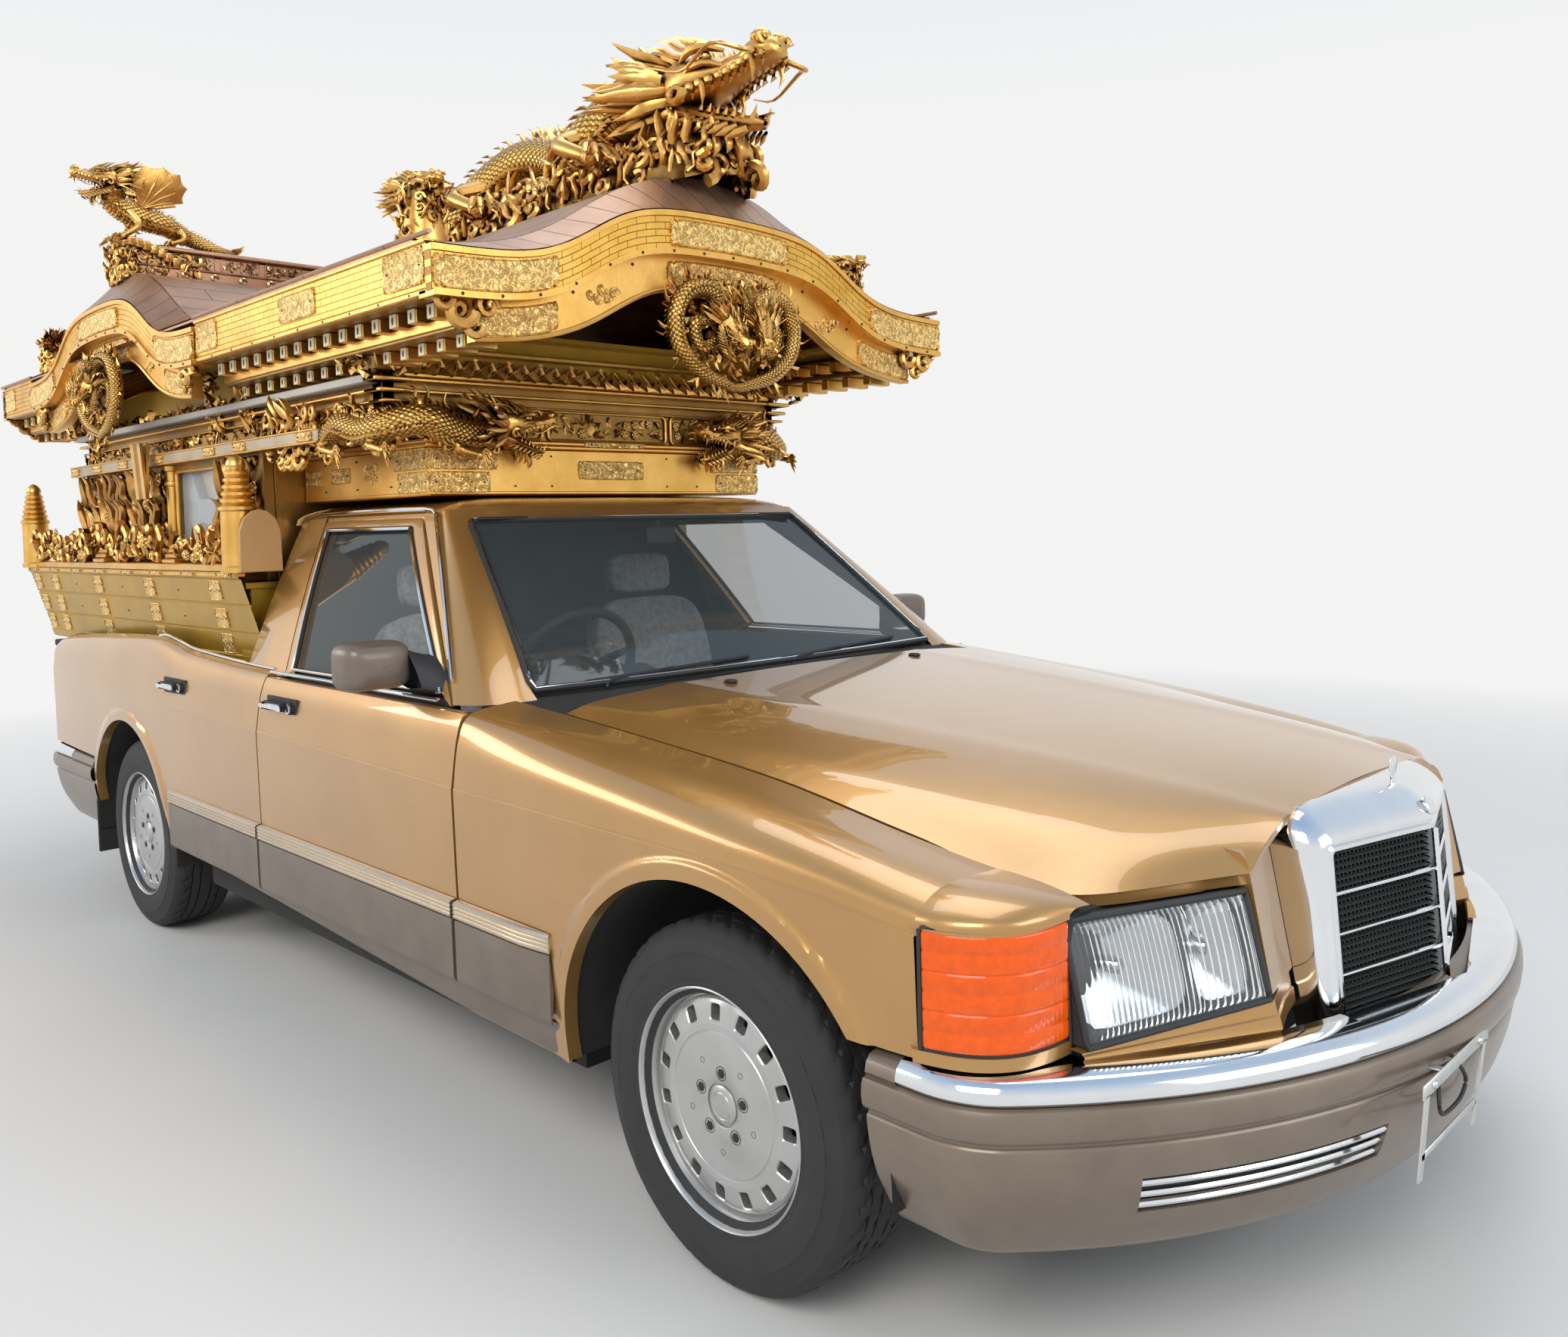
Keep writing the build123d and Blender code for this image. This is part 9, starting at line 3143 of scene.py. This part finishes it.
def dress_ridges():
    """Copper ridge boxes with frames, flowers and scrolls."""
    rng = np.random.default_rng(37)
    copper, gold, carved = Heap(), Heap(), Heap()
    for half_x, z0, z1, half_y in ((69, 2214, 2258, 748), (73, 2256, 2264, 756), (51, 2262, 2316, 778),
                                   (66, 2318, 2333.5, 789)):
        slab(copper, (CROSS_X - half_x, CROSS_X + half_x), (-half_y, half_y), (z0, z1), 4)
    slab(copper, (-2520, -1022), (-59, 59), (2216, 2261.5), 4)
    for way in (-1, 1):
        face = facing("x", CROSS_X + way * 51, way)
        for middle in (-560, -400, -240, 240, 400, 560):
            part, frame_part = Heap(), Heap()
            foliage(part, middle - 62, middle + 62, 2270, 2310, 0, rng, 26, bloom=0.0)
            fitted(part, middle - 66, middle + 66, 2267, 2313)
            for block in part.points:
                block[:, 2] = np.clip(block[:, 2], -2, 12)
            panel_frame(frame_part, middle - 70, middle + 70, 2266, 2314, 1, 8, 3)
            carved.merge(part, face)
            gold.merge(frame_part, face)
        bloom = Heap()
        flower(bloom, (0, 2292, 2), 24)
        bloom.turned([(27, 0), (30, 3), (33, 0)], (0, 2292, 1), (0, 0, 1), 28)
        for u in np.linspace(-700, 700, 15):
            volute(bloom, (u, 2238, 20), 17, (1, 0, 0), (0, 1, 0), 1.4, 1, fat=0.36, lift=0.5, steps=14,
                   sides=6)
        carved.merge(bloom, face)
    for x in np.linspace(-2480, -1060, 22):
        for side in (-1, 1):
            volute(carved, (x, side * 61, 2240), 17, (1, 0, 0), (0, 0, 1), 1.4, side, fat=0.36, lift=0.5,
                   steps=12, sides=6)
    copper.build("ridge_copper", MATERIALS["copper"], replaces=("ridge_boxes",), slot="copper")
    gold.build("ridge_frames", MATERIALS["copper"], slot="copper")
    carved.build("ridge_embossing", MATERIALS["copper_gold"], slot="copper", limit=11000)


dress_pendants()
corner_dragons()
dress_frieze()
dress_band_box()
dress_eaves()
dress_walls()
dress_deck()
dress_ridges()

# Stage and light
PALE = (0.90, 0.90, 0.895)


def seen(tree):
    """1 where the camera looks, directly or through glass or off metal."""
    path = tree.nodes.new("ShaderNodeLightPath")
    total = path.outputs["Is Camera Ray"]
    for name in ("Is Glossy Ray", "Is Transmission Ray"):
        add = tree.nodes.new("ShaderNodeMath")
        add.operation = "MAXIMUM"
        tree.links.new(total, add.inputs[0])
        tree.links.new(path.outputs[name], add.inputs[1])
        total = add.outputs[0]
    return total


def stage():
    """Pale floor that fades into the backdrop."""
    data = bpy.data.meshes.new("floor")
    data.from_pydata([(-60, -60, 0), (60, -60, 0), (60, 60, 0), (-60, 60, 0)], [], [(0, 1, 2, 3)])
    floor = bpy.data.objects.new("floor", data)
    bpy.context.scene.collection.objects.link(floor)
    n = Nodes("floor")
    n.set(base=n.ramp(n.noise(0.8, 4), (0.3, (0.72, 0.718, 0.71)), (0.7, (0.75, 0.748, 0.74))),
          rough=n.sum(n.sum(n.noise(6, 3), 0.2, "MULTIPLY"), 0.55),
          normal=n.bump(n.noise(30, 4), 0.08, 0.002))
    distance = n.add("ShaderNodeVectorMath", operation="LENGTH")
    n.link(n.place, distance.inputs[0])
    far = n.ramp(n.sum(distance.outputs["Value"], 1 / 14, "MULTIPLY"), (0.16, 0.0), (0.56, 1.0))
    glow = n.add("ShaderNodeEmission")
    glow.inputs["Color"].default_value = PALE + (1,)
    glow.inputs["Strength"].default_value = 1.0
    blend = n.add("ShaderNodeMixShader")
    n.link(n.sum(far, seen(n.tree), "MULTIPLY"), blend.inputs[0])
    n.link(n.shader.outputs[0], blend.inputs[1])
    n.link(glow.outputs[0], blend.inputs[2])
    output = next(node for node in n.tree.nodes if node.type == "OUTPUT_MATERIAL")
    n.link(blend.outputs[0], output.inputs["Surface"])
    data.materials.append(n.material)


def area_light(name, place, target, size, watts, colour=(1, 1, 1)):
    """One soft lamp, aimed at a place."""
    data = bpy.data.lights.new(name, "AREA")
    data.shape = "RECTANGLE"
    data.size, data.size_y = size
    data.energy = watts
    data.color = colour
    lamp = bpy.data.objects.new(name, data)
    lamp.location = place
    lamp.rotation_euler = (Vector(target) - Vector(place)).to_track_quat("-Z", "Y").to_euler()
    bpy.context.scene.collection.objects.link(lamp)


def light():
    """Pale world and four soft lamps."""
    world = bpy.data.worlds.new("world")
    bpy.context.scene.world = world
    world.use_nodes = True
    tree = world.node_tree
    background = next(n for n in tree.nodes if n.type == "BACKGROUND")
    place = tree.nodes.new("ShaderNodeTexCoord").outputs["Generated"]
    split = tree.nodes.new("ShaderNodeSeparateXYZ")
    tree.links.new(place, split.inputs[0])
    ramp = tree.nodes.new("ShaderNodeValToRGB")
    stops = [(0.0, PALE), (0.30, PALE), (0.62, (0.66, 0.76, 0.88)), (1.0, (0.40, 0.54, 0.76))]
    while len(ramp.color_ramp.elements) < len(stops):
        ramp.color_ramp.elements.new(0.5)
    for element, (position, colour) in zip(ramp.color_ramp.elements, stops):
        element.position = position
        element.color = colour + (1,)
    tree.links.new(split.outputs["Z"], ramp.inputs["Fac"])
    tree.links.new(ramp.outputs["Color"], background.inputs["Color"])
    strength = tree.nodes.new("ShaderNodeMapRange")
    strength.inputs["To Min"].default_value = 0.50
    strength.inputs["To Max"].default_value = 1.0
    tree.links.new(seen(tree), strength.inputs["Value"])
    tree.links.new(strength.outputs["Result"], background.inputs["Strength"])
    area_light("key", (4.5, -7.0, 6.5), (0, 0, 1.2), (5, 4), 470, (1.0, 0.96, 0.90))
    area_light("side", (-5.5, -6.0, 4.0), (-0.5, 0, 1.2), (5, 3), 200, (1.0, 0.97, 0.93))
    area_light("front", (8.0, 1.0, 3.5), (0.5, 0, 1.0), (4, 3), 150, (0.93, 0.97, 1.0))
    area_light("top", (0.0, 1.5, 7.5), (0, 0, 1.5), (6, 4), 200)


stage()
light()
